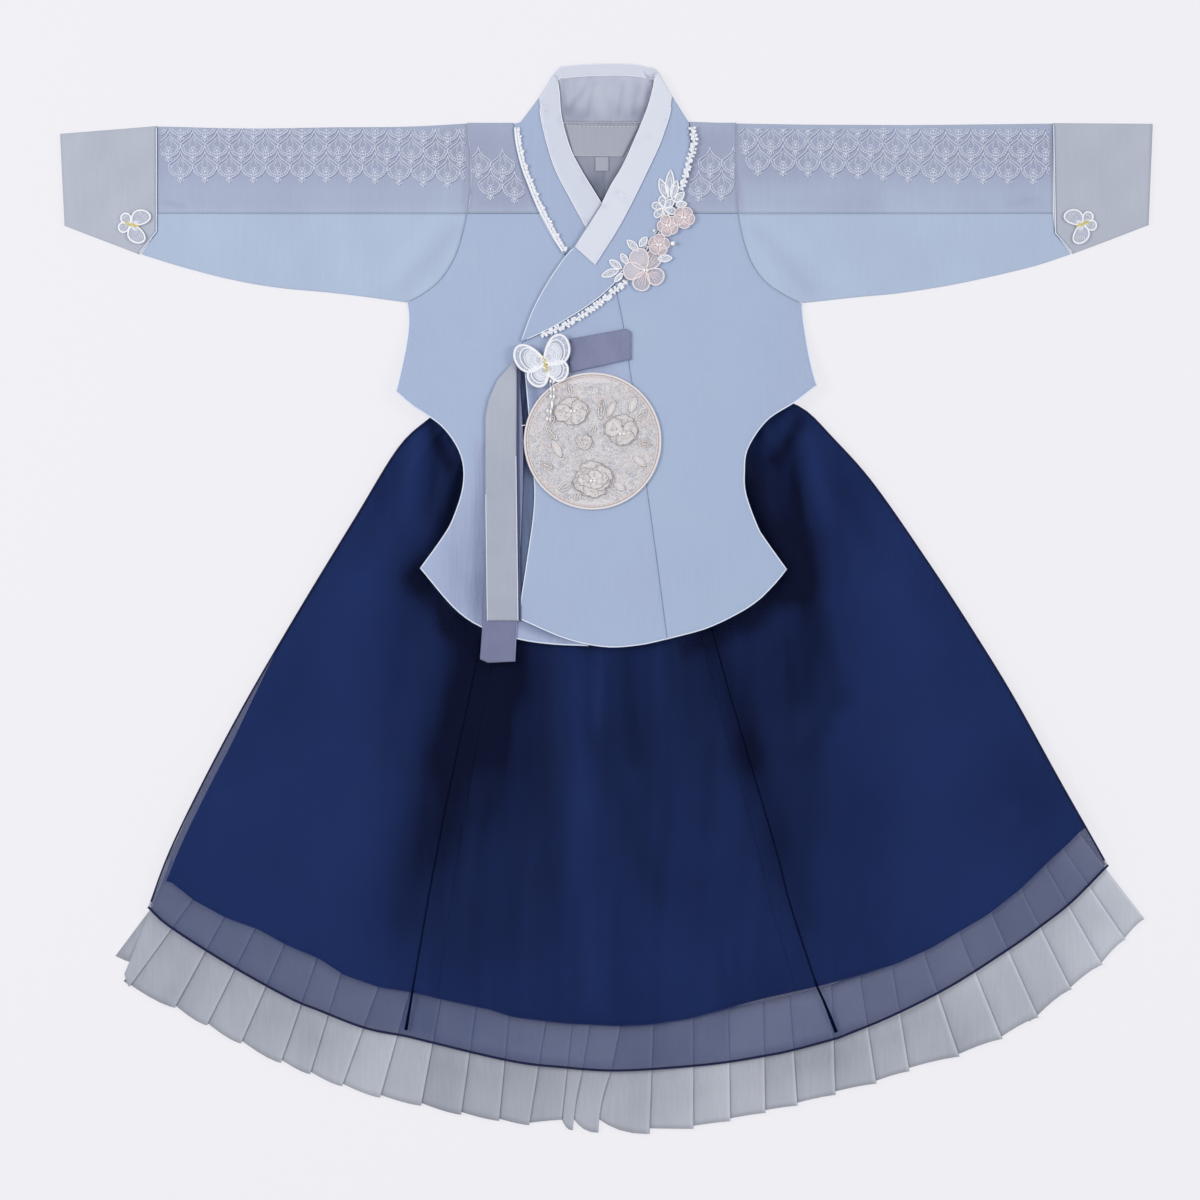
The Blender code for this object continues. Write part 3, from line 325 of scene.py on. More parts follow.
class Parts:
    """Points and faces gathered into one mesh."""

    def __init__(self) -> None:
        """Starts with nothing."""
        self.points: list[Points] = []
        self.faces: list[tuple[int, ...]] = []
        self.tones: list[Points] = []
        self.count = 0

    def add(self, points: Points, faces: Iterable[Sequence[int]], tone: float | Points = 0.5) -> None:
        """Adds a piece.

        Args:
            points: Its points in millimetres.
            faces: Its faces, by index from 0.
            tone: Its shade of the finish, 0 to 1, one for all or one a point.
        """
        start = self.count
        self.points.append(points)
        self.faces += [tuple(int(i) + start for i in face) for face in faces]
        self.tones.append(np.broadcast_to(np.asarray(tone, float), (len(points),)))
        self.count += len(points)

    def tube(
        self, path: Points, radius: float | Points, sides: int = 5, closed: bool = False, tone: float = 0.5,
        squash: float = 1.0,
    ) -> None:
        """Adds a cord along a path.

        Args:
            path: The cord's middle line, in three dimensions.
            radius: Its radius, one for all or one a point.
            sides: How many sides it has.
            closed: Whether it returns to its start.
            tone: Its shade of the finish.
            squash: Its height as a share of its width.
        """
        path = np.asarray(path, float)
        around = np.roll(path, -1, axis=0) - np.roll(path, 1, axis=0) if closed else np.gradient(path, axis=0)
        ahead = unit(around)
        side = unit(np.stack([ahead[:, 1], -ahead[:, 0], np.zeros(len(path))], axis=1))
        up = np.cross(side, ahead)
        angle = np.linspace(0, 2 * math.pi, sides, endpoint=False)
        radius = np.broadcast_to(np.asarray(radius, float), (len(path),))[:, None, None]
        cosine, sine = np.cos(angle)[None, :, None], np.sin(angle)[None, :, None]
        ring = side[:, None] * cosine + up[:, None] * sine * squash
        points = (path[:, None] + ring * radius).reshape(-1, 3)
        faces = []
        for i in range(len(path) if closed else len(path) - 1):
            k = (i + 1) % len(path)
            for j in range(sides):
                m = (j + 1) % sides
                faces.append((i * sides + j, i * sides + m, k * sides + m, k * sides + j))
        if not closed:
            faces.append(tuple(range(sides))[::-1])
            faces.append(tuple(range((len(path) - 1) * sides, len(path) * sides)))
        self.add(points, faces, tone)

    def cord(
        self, line: Points, height: Height, above: float, radius: float | Points, closed: bool = True,
        sides: int = 5, tone: float = 0.5,
    ) -> None:
        """Lays a cord along a plan line.

        Args:
            line: Its plan line.
            height: The height of what it lies on.
            above: How far its middle is above that.
            radius: Its radius.
            closed: Whether it returns to its start.
            sides: How many sides it has.
            tone: Its shade of the finish.
        """
        self.tube(raised(line, height, above), radius, sides, closed, tone)

    def bead(
        self, centre: Sequence[float], radius: float, squash: float = 1.0, rings: int = 5, sides: int = 8,
        tone: float = 0.5,
    ) -> None:
        """Adds a bead.

        Args:
            centre: The bead's middle.
            radius: Its radius in plan.
            squash: Its height as a share of its width.
            rings: How many rings lie between its poles.
            sides: How many sides each ring has.
            tone: Its shade of the finish.
        """
        points = [(0.0, 0.0, -1.0)]
        for level in np.linspace(-math.pi / 2, math.pi / 2, rings + 2)[1:-1]:
            wide, z = math.cos(level), math.sin(level)
            for angle in np.linspace(0, 2 * math.pi, sides, endpoint=False):
                points.append((math.cos(angle) * wide, math.sin(angle) * wide, z))
        points.append((0.0, 0.0, 1.0))
        faces: list[tuple[int, ...]] = []
        last = len(points) - 1
        for j in range(sides):
            m = (j + 1) % sides
            faces.append((0, 1 + m, 1 + j))
            faces.append((last, last - sides + j, last - sides + m))
            for i in range(rings - 1):
                low = 1 + i * sides
                faces.append((low + j, low + m, low + sides + m, low + sides + j))
        self.add(np.array(points) * (radius, radius, radius * squash) + centre, faces, tone)

    def cap(
        self, outline: Points, height: Height, thickness: float, crown: float = 0.0, tone: float = 0.5,
    ) -> None:
        """Adds a small flat or crowned piece of cloth with a plan outline that its middle sees whole.

        Args:
            outline: The closed outline, in plan.
            height: The height of what it lies on.
            thickness: The cloth's thickness.
            crown: How far its middle stands above its edge.
            tone: Its shade of the finish.
        """
        middle = outline.mean(axis=0)
        rings = []
        for share, z in ((1.0, 0.0), (1.0, 0.6), (0.9, 1.0), (0.6, 1.0), (0.3, 1.0)):
            plan = middle + (outline - middle) * share
            rings.append(raised(plan, height, thickness * z + crown * (1 - share**2)))
        n = len(outline)
        faces: list[tuple[int, ...]] = []
        for i in range(len(rings) - 1):
            for j in range(n):
                m = (j + 1) % n
                faces.append((i * n + j, i * n + m, (i + 1) * n + m, (i + 1) * n + j))
        faces.append(tuple(range(n))[::-1])
        top = np.append(middle, level_at(height, middle) + thickness + crown)
        start = (len(rings) - 1) * n
        faces += [(start + j, start + (j + 1) % n, len(rings) * n) for j in range(n)]
        self.add(np.vstack([*rings, top]), faces, tone)

    def made(self, name: str) -> bpy.types.Object:
        """Makes the gathered piece.

        Args:
            name: The object's name.

        Returns:
            The object, in the scene.
        """
        mesh = bpy.data.meshes.new(name)
        mesh.from_pydata((np.vstack(self.points) * MM).tolist(), [], self.faces)
        mesh.update()
        tone = mesh.attributes.new("tone", "FLOAT", "POINT")
        tone.data.foreach_set("value", np.concatenate(self.tones).astype(np.float32))
        mesh.shade_smooth()
        piece = bpy.data.objects.new(name, mesh)
        bpy.context.scene.collection.objects.link(piece)
        return piece


def cut_panel(
    name: str, outline: Points, height: Height, thickness: float = 0.9, spacing: float = 4.0,
    roll: float = 0.45, tone: Callable[[Points, Points], Points] | None = None,
) -> bpy.types.Object:
    """Makes a thin cloth panel with a softly turned edge, laid on a height.

    Args:
        name: The piece's name.
        outline: Its closed anticlockwise outline, in plan.
        height: The height of its underside.
        thickness: The cloth's thickness.
        spacing: The distance between its points.
        roll: How wide its turned edge is.
        tone: The shade of the finish over the plan, if it varies.

    Returns:
        The object.
    """
    rim = subdivided(outline, spacing * 0.7)
    inner = inset(rim, roll)
    low, high = inner.min(axis=0), inner.max(axis=0)
    lattice = np.array([
        (x, y)
        for i, y in enumerate(np.arange(low[1], high[1], spacing * 0.87))
        for x in np.arange(low[0] + spacing * (i % 2) / 2, high[0], spacing)
    ])
    lattice = lattice[inside(lattice, inner)]
    lattice = lattice[distance_to(lattice, inner, closed=True) > spacing * 0.4]
    n = len(inner)
    given = np.vstack([inner, lattice]) if len(lattice) else inner
    found = delaunay_2d_cdt([tuple(p) for p in given], [], [list(range(n))], 1, 1e-6)
    plan, faces, origins = np.array([tuple(v) for v in found[0]]), found[2], found[3]
    place = {start: i for i, starts in enumerate(origins) for start in starts}
    count = len(plan)
    points = np.vstack([
        raised(plan, height, thickness), raised(plan, height, 0.0), raised(rim, height, thickness * 0.5),
    ])
    every: list[tuple[int, ...]] = [tuple(face) for face in faces]
    every += [tuple(i + count for i in face[::-1]) for face in faces]
    for j in range(n):
        m = (j + 1) % n
        a, b, c, d = place[j], place[m], 2 * count + m, 2 * count + j
        every += [(a, d, c, b), (a + count, b + count, c, d)]
    parts = Parts()
    parts.add(points, every, 0.5 if tone is None else tone(points[:, 0], points[:, 1]))
    return parts.made(name)


def grid_cloth(
    name: str, grid: Points, thickness: float = 0.9, tone: Points | None = None, loop: bool = False,
    middle: bool = False,
) -> bpy.types.Object:
    """Makes a thin closed cloth through a grid of points.

    Args:
        name: The piece's name.
        grid: Points [across][down] in millimetres.
        thickness: The cloth's thickness, laid above the grid.
        tone: The shade of the finish at each point, if it varies.
        loop: Whether each section closes on itself.
        middle: Whether the cloth lies half above and half below the grid.

    Returns:
        The object.
    """
    columns, rows = grid.shape[:2]
    faces = []
    for i in range(columns - 1):
        for j in range(rows if loop else rows - 1):
            k = (j + 1) % rows
            faces.append((i * rows + j, i * rows + k, (i + 1) * rows + k, (i + 1) * rows + j))
    parts = Parts()
    parts.add(grid.reshape(-1, 3), faces, 0.5 if tone is None else tone.reshape(-1))
    flat = parts.made(name)
    wall = flat.modifiers.new("wall", "SOLIDIFY")
    wall.thickness = thickness * MM
    wall.offset = 0.0 if middle else 1.0
    bpy.context.view_layer.update()
    mesh = bpy.data.meshes.new_from_object(flat.evaluated_get(bpy.context.evaluated_depsgraph_get()))
    flat.modifiers.clear()
    flat.data = mesh
    mesh.name = name
    return flat


def folded(front: Points, low: Points | float, high: Points, both: bool = False, steps: int = 5) -> Points:
    """Doubles a cloth over: each front column, round its last point, and back below.

    Args:
        front: Plan points [across][down].
        low: The back's height.
        high: The front's height at each point.
        both: Whether each column also turns round its first point, into a flat tube.
        steps: How many points go round a fold.

    Returns:
        Sections [across][round], in three dimensions.
    """
    sections = []
    turn = np.linspace(math.pi / 2, -math.pi / 2, steps + 2)[1:-1]
    for column, heights in zip(front, high):
        section = [(x, y, z) for (x, y), z in zip(column, heights)]
        for end, before, level, angles in ((-1, -2, heights[-1], turn), (0, 1, heights[0], turn[::-1])):
            out = (column[end] - column[before]) / np.linalg.norm(column[end] - column[before])
            radius = (level - low) / 2
            bend = []
            for angle in angles:
                x, y = column[end] + out * radius * math.cos(angle)
                bend.append((x, y, (low + level) / 2 + radius * math.sin(angle)))
            if end == -1:
                section += bend
                section += [(x, y, low) for x, y in column[::-1]]
            elif both:
                section += bend
        sections.append(section)
    return np.array(sections)


# Finishes.


def linear(colour: str) -> tuple[float, float, float, float]:
    """Turns an sRGB hex colour to linear RGBA."""
    channels = [int(colour[i : i + 2], 16) / 255 for i in (1, 3, 5)]
    return (*(c / 12.92 if c <= 0.04045 else ((c + 0.055) / 1.055) ** 2.4 for c in channels), 1.0)


def per_metre(spacing_mm: float) -> float:
    """Gives the texture's scale that puts its grains a distance apart."""
    return 1 / (spacing_mm * MM)


class Shading:
    """A material being made, with the textures and sums that the finishes share."""

    # The wave texture turns its scale by this much a metre.
    WAVES = 2 * math.pi / 20

    def __init__(self, name: str) -> None:
        """Starts the material and finds the place on the object that its textures use."""
        self.material = bpy.data.materials.new(name)
        self.material.use_nodes = True
        self.tree = self.material.node_tree
        self.place = self.add("TexCoord").outputs["Object"]

    def add(
        self, kind: str, values: dict[str | int, object] | None = None,
        links: dict[str | int, Socket] | None = None, **settings: object,
    ) -> bpy.types.Node:
        """Adds a node.

        Args:
            kind: The shader node's type.
            values: What its sockets are set to.
            links: What feeds its sockets.
            settings: Its own settings.

        Returns:
            The node.
        """
        made = self.tree.nodes.new(f"ShaderNode{kind}")
        for key, setting in settings.items():
            setattr(made, key, setting)
        for key, value in (values or {}).items():
            made.inputs[key].default_value = value
        for key, source in (links or {}).items():
            self.tree.links.new(source, made.inputs[key])
        return made

    def maths(self, operation: str, *terms: float | Socket, clamp: bool = False) -> Socket:
        """Sums numbers and sockets."""
        values = {i: term for i, term in enumerate(terms) if isinstance(term, float)}
        links = {i: term for i, term in enumerate(terms) if i not in values}
        return self.add("Math", values, links, operation=operation, use_clamp=clamp).outputs[0]

    def mixed(self, share: Socket, first: object, second: object) -> Socket:
        """Mixes two colours, each a hex or what gives it."""
        terms = {6: first, 7: second}
        values = {place: linear(term) for place, term in terms.items() if isinstance(term, str)}
        links = {place: term for place, term in terms.items() if place not in values}
        return self.add("Mix", values, {0: share, **links}, data_type="RGBA").outputs[2]

    def tone(self) -> Socket:
        """Reads the mesh's shade of the finish."""
        return self.add("Attribute", attribute_name="tone").outputs["Fac"]

    def noise(self, scale: float, detail: float = 2.0, place: Socket | None = None) -> Socket:
        """Gives an uneven pattern."""
        links = {"Vector": self.place if place is None else place}
        return self.add("TexNoise", {"Scale": scale, "Detail": detail}, links).outputs["Fac"]

    def streaks(self, width_mm: float, length_mm: float) -> Socket:
        """Gives an uneven pattern drawn out along the warp."""
        across, along = per_metre(width_mm), per_metre(length_mm)
        drawn = self.add("Mapping", {"Scale": (across, along, across)}, {"Vector": self.place})
        return self.noise(1.0, 3.0, drawn.outputs[0])

    def threads(self, spacing_mm: float, direction: str, values: dict[str, float] | None = None) -> Socket:
        """Gives rows of threads a distance apart."""
        scale = self.WAVES * per_metre(spacing_mm)
        links = {"Vector": self.place}
        wave = self.add("TexWave", {"Scale": scale, **(values or {})}, links, bands_direction=direction)
        return wave.outputs[1]

    def ranged(self, value: Socket, low: float, high: float, **ends: float) -> Socket:
        """Spreads a range of values over 0 to 1, or over given ends."""
        values = {"From Min": low, "From Max": high} | {f"To {end}": at for end, at in ends.items()}
        return self.add("MapRange", values, {"Value": value}).outputs[0]

    def bump(self, height: Socket, depth_mm: float, under: Socket | None = None) -> Socket:
        """Raises a pattern, over another one if there is one."""
        links = {"Height": height} if under is None else {"Height": height, "Normal": under}
        return self.add("Bump", {"Distance": depth_mm * MM}, links).outputs[0]

    def finished(
        self, colour: Socket, normal: Socket | None, values: dict[str, object],
    ) -> bpy.types.Material:
        """Feeds the material's shader.

        Args:
            colour: What gives its colour.
            normal: What gives its relief, if anything does.
            values: What its other sockets are set to.

        Returns:
            The material.
        """
        inputs = self.tree.nodes["Principled BSDF"].inputs
        self.tree.links.new(colour, inputs["Base Color"])
        if normal is not None:
            self.tree.links.new(normal, inputs["Normal"])
        for key, value in values.items():
            inputs[key].default_value = value
        return self.material


@dataclass(frozen=True)
class WovenFinish:
    """A plain-woven cloth: crossing threads, slubs along the warp, and a little unevenness in its dye."""

    name: str
    light: str
    dark: str
    # Half-matte spun threads; the sheen is the fuzz that stands off them.
    roughness: float = 0.85
    sheen: float = 0.12
    # Real threads are 0.25 mm apart, drawn coarser so that the weave shows.
    thread_mm: float = 0.7
    weave_depth_mm: float = 0.05
    slub_mm: float = 1.6
    slub_length_mm: float = 26.0
    slub_share: float = 0.5
    crinkle_mm: float = 16.0
    crinkle_depth_mm: float = 0.35
    specular: float = 0.25
    # Patches of uneven dye to a metre.
    dye: float = 14.0
    # What the cloth darkens to where its shade falls below nothing, in soft shadows.
    deep: str = ""

    def build(self) -> bpy.types.Material:
        """Makes the material."""
        made = Shading(self.name)
        warp, weft = (made.threads(self.thread_mm, way, {"Distortion": 0.6, "Detail": 1.0}) for way in "XY")
        slubs = made.maths("MULTIPLY", made.streaks(self.slub_mm, self.slub_length_mm), self.slub_share)
        blend = made.maths("MULTIPLY_ADD", made.noise(self.dye), 1 - self.slub_share, slubs)
        shade = made.maths("ADD", made.tone(), blend)
        colour = made.mixed(made.maths("SUBTRACT", shade, 0.5, clamp=True), self.dark, self.light)
        if self.deep:
            colour = made.mixed(made.maths("SUBTRACT", 0.5, shade, clamp=True), colour, self.deep)
        crinkled = made.bump(made.noise(per_metre(self.crinkle_mm), 3.0), self.crinkle_depth_mm)
        woven = made.bump(made.maths("ADD", warp, weft), self.weave_depth_mm, crinkled)
        return made.finished(colour, woven, {
            "Roughness": self.roughness, "Sheen Weight": self.sheen, "Sheen Roughness": 0.5,
            "Specular IOR Level": self.specular,
        })


@dataclass(frozen=True)
class SatinFinish:
    """A satin with self-coloured flowers woven in: the ground shines, the flowers are duller."""

    name: str
    ground: str
    flower: str
    roughness: float = 0.42
    # Woven sprigs about this far apart, their outlines bent by a noise and their petals in rings.
    flower_mm: float = 15.0
    bends: float = 120.0
    bent: float = 0.006
    rings: float = 46.0
    thread_mm: float = 0.5
    depth_mm: float = 0.08

    def build(self) -> bpy.types.Material:
        """Makes the material."""
        made = Shading(self.name)
        bend = made.add("TexNoise", {"Scale": self.bends, "Detail": 1.0}, {"Vector": made.place})
        bend = bend.outputs["Color"]
        spread = made.add("VectorMath", {"Scale": self.bent}, {0: bend}, operation="SCALE").outputs[0]
        moved = made.add("VectorMath", {}, {0: made.place, 1: spread}, operation="ADD").outputs[0]
        scale = {"Scale": per_metre(self.flower_mm)}
        cells = made.add("TexVoronoi", scale, {"Vector": moved}, feature="SMOOTH_F1").outputs["Distance"]
        rings = made.maths("SINE", made.maths("MULTIPLY", cells, self.rings))
        sprig, petal = made.ranged(cells, 0.12, 0.3), made.ranged(rings, -0.4, 0.9)
        woven = made.maths("MAXIMUM", sprig, petal, clamp=True)
        height = made.maths("MULTIPLY_ADD", made.threads(self.thread_mm, "DIAGONAL"), 0.2, woven)
        return made.finished(
            made.mixed(woven, self.flower, self.ground), made.bump(height, self.depth_mm),
            {"Roughness": self.roughness, "Sheen Weight": 0.1, "Anisotropic": 0.4},
        )


@dataclass(frozen=True)
class OrganzaFinish:
    """Sheer crisp organza: open fine threads that show what lies under, hazier as its tone rises."""

    name: str
    # Its colours at tone 0 and at tone 1; on the skirt the tone carries painted shade and highlight.
    near: str
    haze: str
    # Share of light each face stops; a cloth has two faces.
    cover: float = 0.31
    roughness: float = 0.6
    # Bundles of uneven threads, drawn wider than single ones so that they show.
    streak_mm: float = 2.2
    streak_length_mm: float = 34.0
    uneven: float = 0.06
    depth_mm: float = 0.05

    def build(self) -> bpy.types.Material:
        """Makes the material."""
        made = Shading(self.name)
        streaks = made.streaks(self.streak_mm, self.streak_length_mm)
        uneven = made.ranged(streaks, 0.3, 0.7, Min=-self.uneven, Max=self.uneven)
        shade = made.maths("ADD", made.tone(), uneven, clamp=True)
        return made.finished(
            made.mixed(shade, self.near, self.haze), made.bump(streaks, self.depth_mm),
            {"Alpha": self.cover, "Roughness": self.roughness, "Specular IOR Level": 0.12},
        )


@dataclass(frozen=True)
class ThreadFinish:
    """Embroidery or lace thread: twisted strands that catch the light along the cord."""

    name: str
    light: str
    dark: str
    roughness: float = 0.6
    # Plies of the twisted cord lie this far apart.
    twist_mm: float = 0.55
    twist_share: float = 0.3
    depth_mm: float = 0.12
    cover: float = 1.0
    sheen: float = 0.15
    specular: float = 0.3
    # A second thread colour that shows in small flecks, if there is one.
    fleck: str = ""
    fleck_mm: float = 1.8

    def build(self) -> bpy.types.Material:
        """Makes the material."""
        made = Shading(self.name)
        twist = made.noise(per_metre(self.twist_mm), 1.0)
        strand = made.maths("MULTIPLY_ADD", twist, self.twist_share, made.tone())
        shade = made.maths("SUBTRACT", strand, self.twist_share / 2, clamp=True)
        colour = made.mixed(shade, self.dark, self.light)
        if self.fleck:
            flecks = made.ranged(made.noise(per_metre(self.fleck_mm)), 0.5, 0.66)
            colour = made.mixed(flecks, colour, self.fleck)
        return made.finished(colour, made.bump(twist, self.depth_mm), {
            "Roughness": self.roughness, "Sheen Weight": self.sheen, "Specular IOR Level": self.specular,
            "Alpha": self.cover,
        })


@dataclass(frozen=True)
class BeadFinish:
    """Pearl or glass bead: a smooth coated ball with a clear highlight."""

    name: str
    body: str
    glow: str
    roughness: float = 0.22
    # Cloudy spots to a metre.
    clouds: float = 260.0

    def build(self) -> bpy.types.Material:
        """Makes the material."""
        made = Shading(self.name)
        return made.finished(made.mixed(made.noise(self.clouds), self.body, self.glow), None, {
            "Roughness": self.roughness, "IOR": 1.6, "Coat Weight": 0.6, "Coat Roughness": 0.08,
        })


@dataclass(frozen=True)
class LitPaperFinish:
    """Matt studio paper on a light table: most of its light comes through it, so shadows on it stay faint."""

    name: str
    colour: str
    through: float = 0.8
    grain_mm: float = 3.0

    def build(self) -> bpy.types.Material:
        """Makes the material."""
        made = Shading(self.name)
        full = linear(self.colour)
        low, high = ((*(c * (share - self.through) for c in full[:3]), 1.0) for share in (0.97, 0.99))
        noise = made.noise(per_metre(self.grain_mm))
        grain = made.add("Mix", {6: low, 7: high}, {0: noise}, data_type="RGBA")
        return made.finished(grain.outputs[2], None, {
            "Emission Color": full, "Emission Strength": self.through, "Roughness": 0.95,
            "Specular IOR Level": 0.1,
        })


class Finish(Enum):
    """The garment's finishes."""

    BLUE = WovenFinish("powder_blue_cloth", "#ACBFD8", "#A4AFCD", deep="#6F7B99")
    SLEEVE_BLUE = WovenFinish("sleeve_blue_cloth", "#B4C6DD", "#A9B5CE")
    # Painted shadow: the dark strip on the inner front between the ribbons and the overlap's edge.
    SHADED_BLUE = WovenFinish("painted_shadow_blue", "#6E7C9A", "#28314F", sheen=0.0, specular=0.1)
    LAVENDER = WovenFinish("woven_lavender", "#AFBDD3", "#989BB5", slub_share=0.3)
    GREY = WovenFinish("grey_ribbon_cloth", "#B9BFCB", "#A8ADBC", slub_mm=1.2)
    PURPLE = WovenFinish("purple_ribbon_cloth", "#888EAC", "#757A98", slub_length_mm=8.0)
    PALE_LINING = WovenFinish(
        "pale_collar_lining", "#C0C5D5", "#9398AD", roughness=0.6, crinkle_depth_mm=0.6, slub_share=0.2,
    )
    GREY_LINING = WovenFinish("grey_neck_lining", "#ABB0BF", "#666C80", roughness=0.65, slub_share=0.2)
    RUFFLE = WovenFinish("pleated_ruffle_cloth", "#C9CDD7", "#898D9A", roughness=0.75, slub_share=0.25)
    NAVY_LINING = WovenFinish(
        "navy_skirt_lining", "#122B61", "#010B27", roughness=0.7, sheen=0.0, slub_share=0.15,
        weave_depth_mm=0.01, crinkle_depth_mm=0.0, specular=0.1,
    )
    ORGANZA = OrganzaFinish("sheer_navy_organza", "#020D33", "#2F478A")
    BACK_ORGANZA = OrganzaFinish("back_navy_organza", "#1A2547", "#31478A", cover=0.5)
    NAVY_EDGE = ThreadFinish("rolled_navy_hem", "#1A2468", "#0B1238", roughness=0.8, sheen=0.0)
    NAVY_SEAM = ThreadFinish(
        "shaded_navy_seam", "#0B1538", "#040A22", roughness=0.95, sheen=0.0, specular=0.0,
    )
    # Painted shadow: a dark cord beside the grey ribbon's edge.
    RIBBON_FOLD = ThreadFinish(
        "painted_ribbon_shadow", "#646A8A", "#484E70", roughness=0.95, sheen=0.0, specular=0.0,
    )
    SATIN = SatinFinish("jacquard_satin", "#D9DDE9", "#CDD1E1")
    # A darker copy of the satin for the left white band: painted shade.
    SHADED_SATIN = SatinFinish("shaded_jacquard_satin", "#D0D5E3", "#C4CADB")
    RIM_SATIN = SatinFinish("plain_rim_satin", "#D0D4E2", "#C8CCDC", flower_mm=30.0)
    LABEL = WovenFinish("woven_label", "#B0B4C0", "#A0A4B2", roughness=0.7, thread_mm=0.5)
    WHITE_THREAD = ThreadFinish("white_lace_thread", "#F7F8FC", "#D9DDEA")
    PALE_THREAD = ThreadFinish("pale_embroidery_thread", "#E6EAF5", "#BCC2D7")
    # Dark lavender thread: the scallops' painted shadow threads, the lining's selvedge and the purple
    # ribbon's edge.
    SHADE_THREAD = ThreadFinish("lavender_thread_and_painted_shadow", "#9DA2C0", "#858BAC", sheen=0.0)
    CREAM_THREAD = ThreadFinish(
        "cream_embroidery_thread", "#F0ECEC", "#D8D6DA", fleck="#E0D6D4", fleck_mm=6.0,
    )
    SILVER_THREAD = ThreadFinish("silver_grey_thread", "#D8DAE2", "#C0C2CB")
    PEACH_THREAD = ThreadFinish("peach_thread", "#E5D8D2", "#D3C3BA")
    CREAM_CLOTH = ThreadFinish(
        "cream_applique_cloth", "#E2DFE2", "#CCCBD2", depth_mm=0.4, twist_mm=1.2, fleck="#E2D8D3",
        fleck_mm=2.6,
    )
    PETAL_CLOTH = ThreadFinish("ivory_petal_cloth", "#E8E2DF", "#D3CED0", depth_mm=0.3, twist_mm=1.0)
    # Grey threads round and in the roundel's petals and leaves, as painted shadow.
    GROOVE_THREAD = ThreadFinish("grey_shadow_thread", "#C6C0C0", "#AEA9AE", sheen=0.0)
    EDGE_CORD = ThreadFinish("ivory_edge_cord", "#ECE6E6", "#D8CFCF", depth_mm=0.05)
    PINK_THREAD = ThreadFinish("pink_petal_thread", "#F8F0F0", "#E8D6D9")
    PINK_SHEER = ThreadFinish("sheer_pink_petal", "#F0E2E6", "#DDD0D9", cover=0.45)
    PINK_VEIL = ThreadFinish("veil_pink_petal", "#F3ECF1", "#E4DDE6", cover=0.28)
    SILVER_PETAL = ThreadFinish("silvery_petal", "#DAD8E2", "#C3C1D0", depth_mm=0.2, cover=0.85)
    WHITE_SHEER = ThreadFinish("sheer_white_wing", "#DDE2EE", "#C2CADD", cover=0.6)
    WHITE_WING = ThreadFinish("close_white_wing", "#E4E8F1", "#C8CEDD", depth_mm=0.2)
    # Pale cords along edges. The blue one is piping made near white as a painted edge highlight.
    PIPING = ThreadFinish("pale_blue_piping_and_highlight", "#EEF4FF", "#D8E3F5", depth_mm=0.03)
    # The white one is a painted highlight along the white satin's edges.
    WHITE_PIPING = ThreadFinish("white_edge_highlight_cord", "#FAFBFF", "#E8EBF5", depth_mm=0.03)
    PEARL = BeadFinish("pearl_bead", "#EFEDF0", "#FFFDFA")
    GOLD_BEAD = BeadFinish("yellow_glass_bead", "#C9B24A", "#E6DC8A", 0.15)
    FLOOR = LitPaperFinish("studio_paper", "#F2F1F6")

    def material(self) -> bpy.types.Material:
        """Gives the finish's material, made once."""
        return bpy.data.materials.get(self.value.name) or self.value.build()


BLUE_CLOTH = (Finish.BLUE, "blue_cloth")
BLUE_PIPING = (Finish.PIPING, "blue_cloth")


def cut_size(outline: Points) -> tuple[float, float]:
    """Gives the width and length of the smallest box that a cut lies in."""
    boxes = [tuple(np.ptp(spun(outline, turn), axis=0)) for turn in range(0, 90, 3)]
    return min(boxes, key=lambda box: box[0] * box[1])


def dress(
    piece: bpy.types.Object, finish: Finish, slot: str, *nodes: str, sheet: tuple[Points, int] | None = None,
    held: str = "laid", rests_on: Sequence[str] = (), flat: tuple[float, float] | None = None,
) -> None:
    """Gives a piece its finish and its place in the frame, and works out a cloth's cut size and area.

    Args:
        piece: The piece.
        finish: Its finish.
        slot: The record's material slot; not used.
        nodes: The frame's nodes that it stands for.
        sheet: The outline and the number of plies that a cloth is cut for, or nothing.
        held: How the cloth is held; not used.
        rests_on: What the cloth lies on.
        flat: A rectangular cut's width and length in millimetres, instead of an outline.
    """
    piece.data.materials.clear()
    piece.data.materials.append(finish.material())
    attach(piece, "root")
    if nodes:
        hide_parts(*nodes)
    if sheet is not None:
        outline, plies = sheet
        width, length = cut_size(outline)
        area = area_of(outline) * plies * MM * MM
        list(rests_on)
    elif flat is not None:
        list(rests_on)
    log.info("%s: %d faces", piece.name, len(piece.data.polygons))


def lay(
    name: str, outline: Points, height: Height, look: tuple[Finish, str], node: str,
    rests_on: Sequence[str] = (), edge: float = 0.0, held: str = "laid", **cut: object,
) -> None:
    """Cuts a panel, lays it and dresses it.

    Args:
        name: Its name.
        outline: Its outline, in plan.
        height: The height of its underside.
        look: Its finish and the record's material slot.
        node: The frame's node that it stands for.
        rests_on: What it lies on.
        edge: How far its edge is drawn in from the outline.
        held: How it is held.
        cut: What cut_panel is told of its thickness, spacing, edge and shade.
    """
    piece = cut_panel(name, inset(outline, edge), height, **cut)
    dress(piece, *look, node, sheet=(outline, 1), held=held, rests_on=rests_on)


# Skirt.


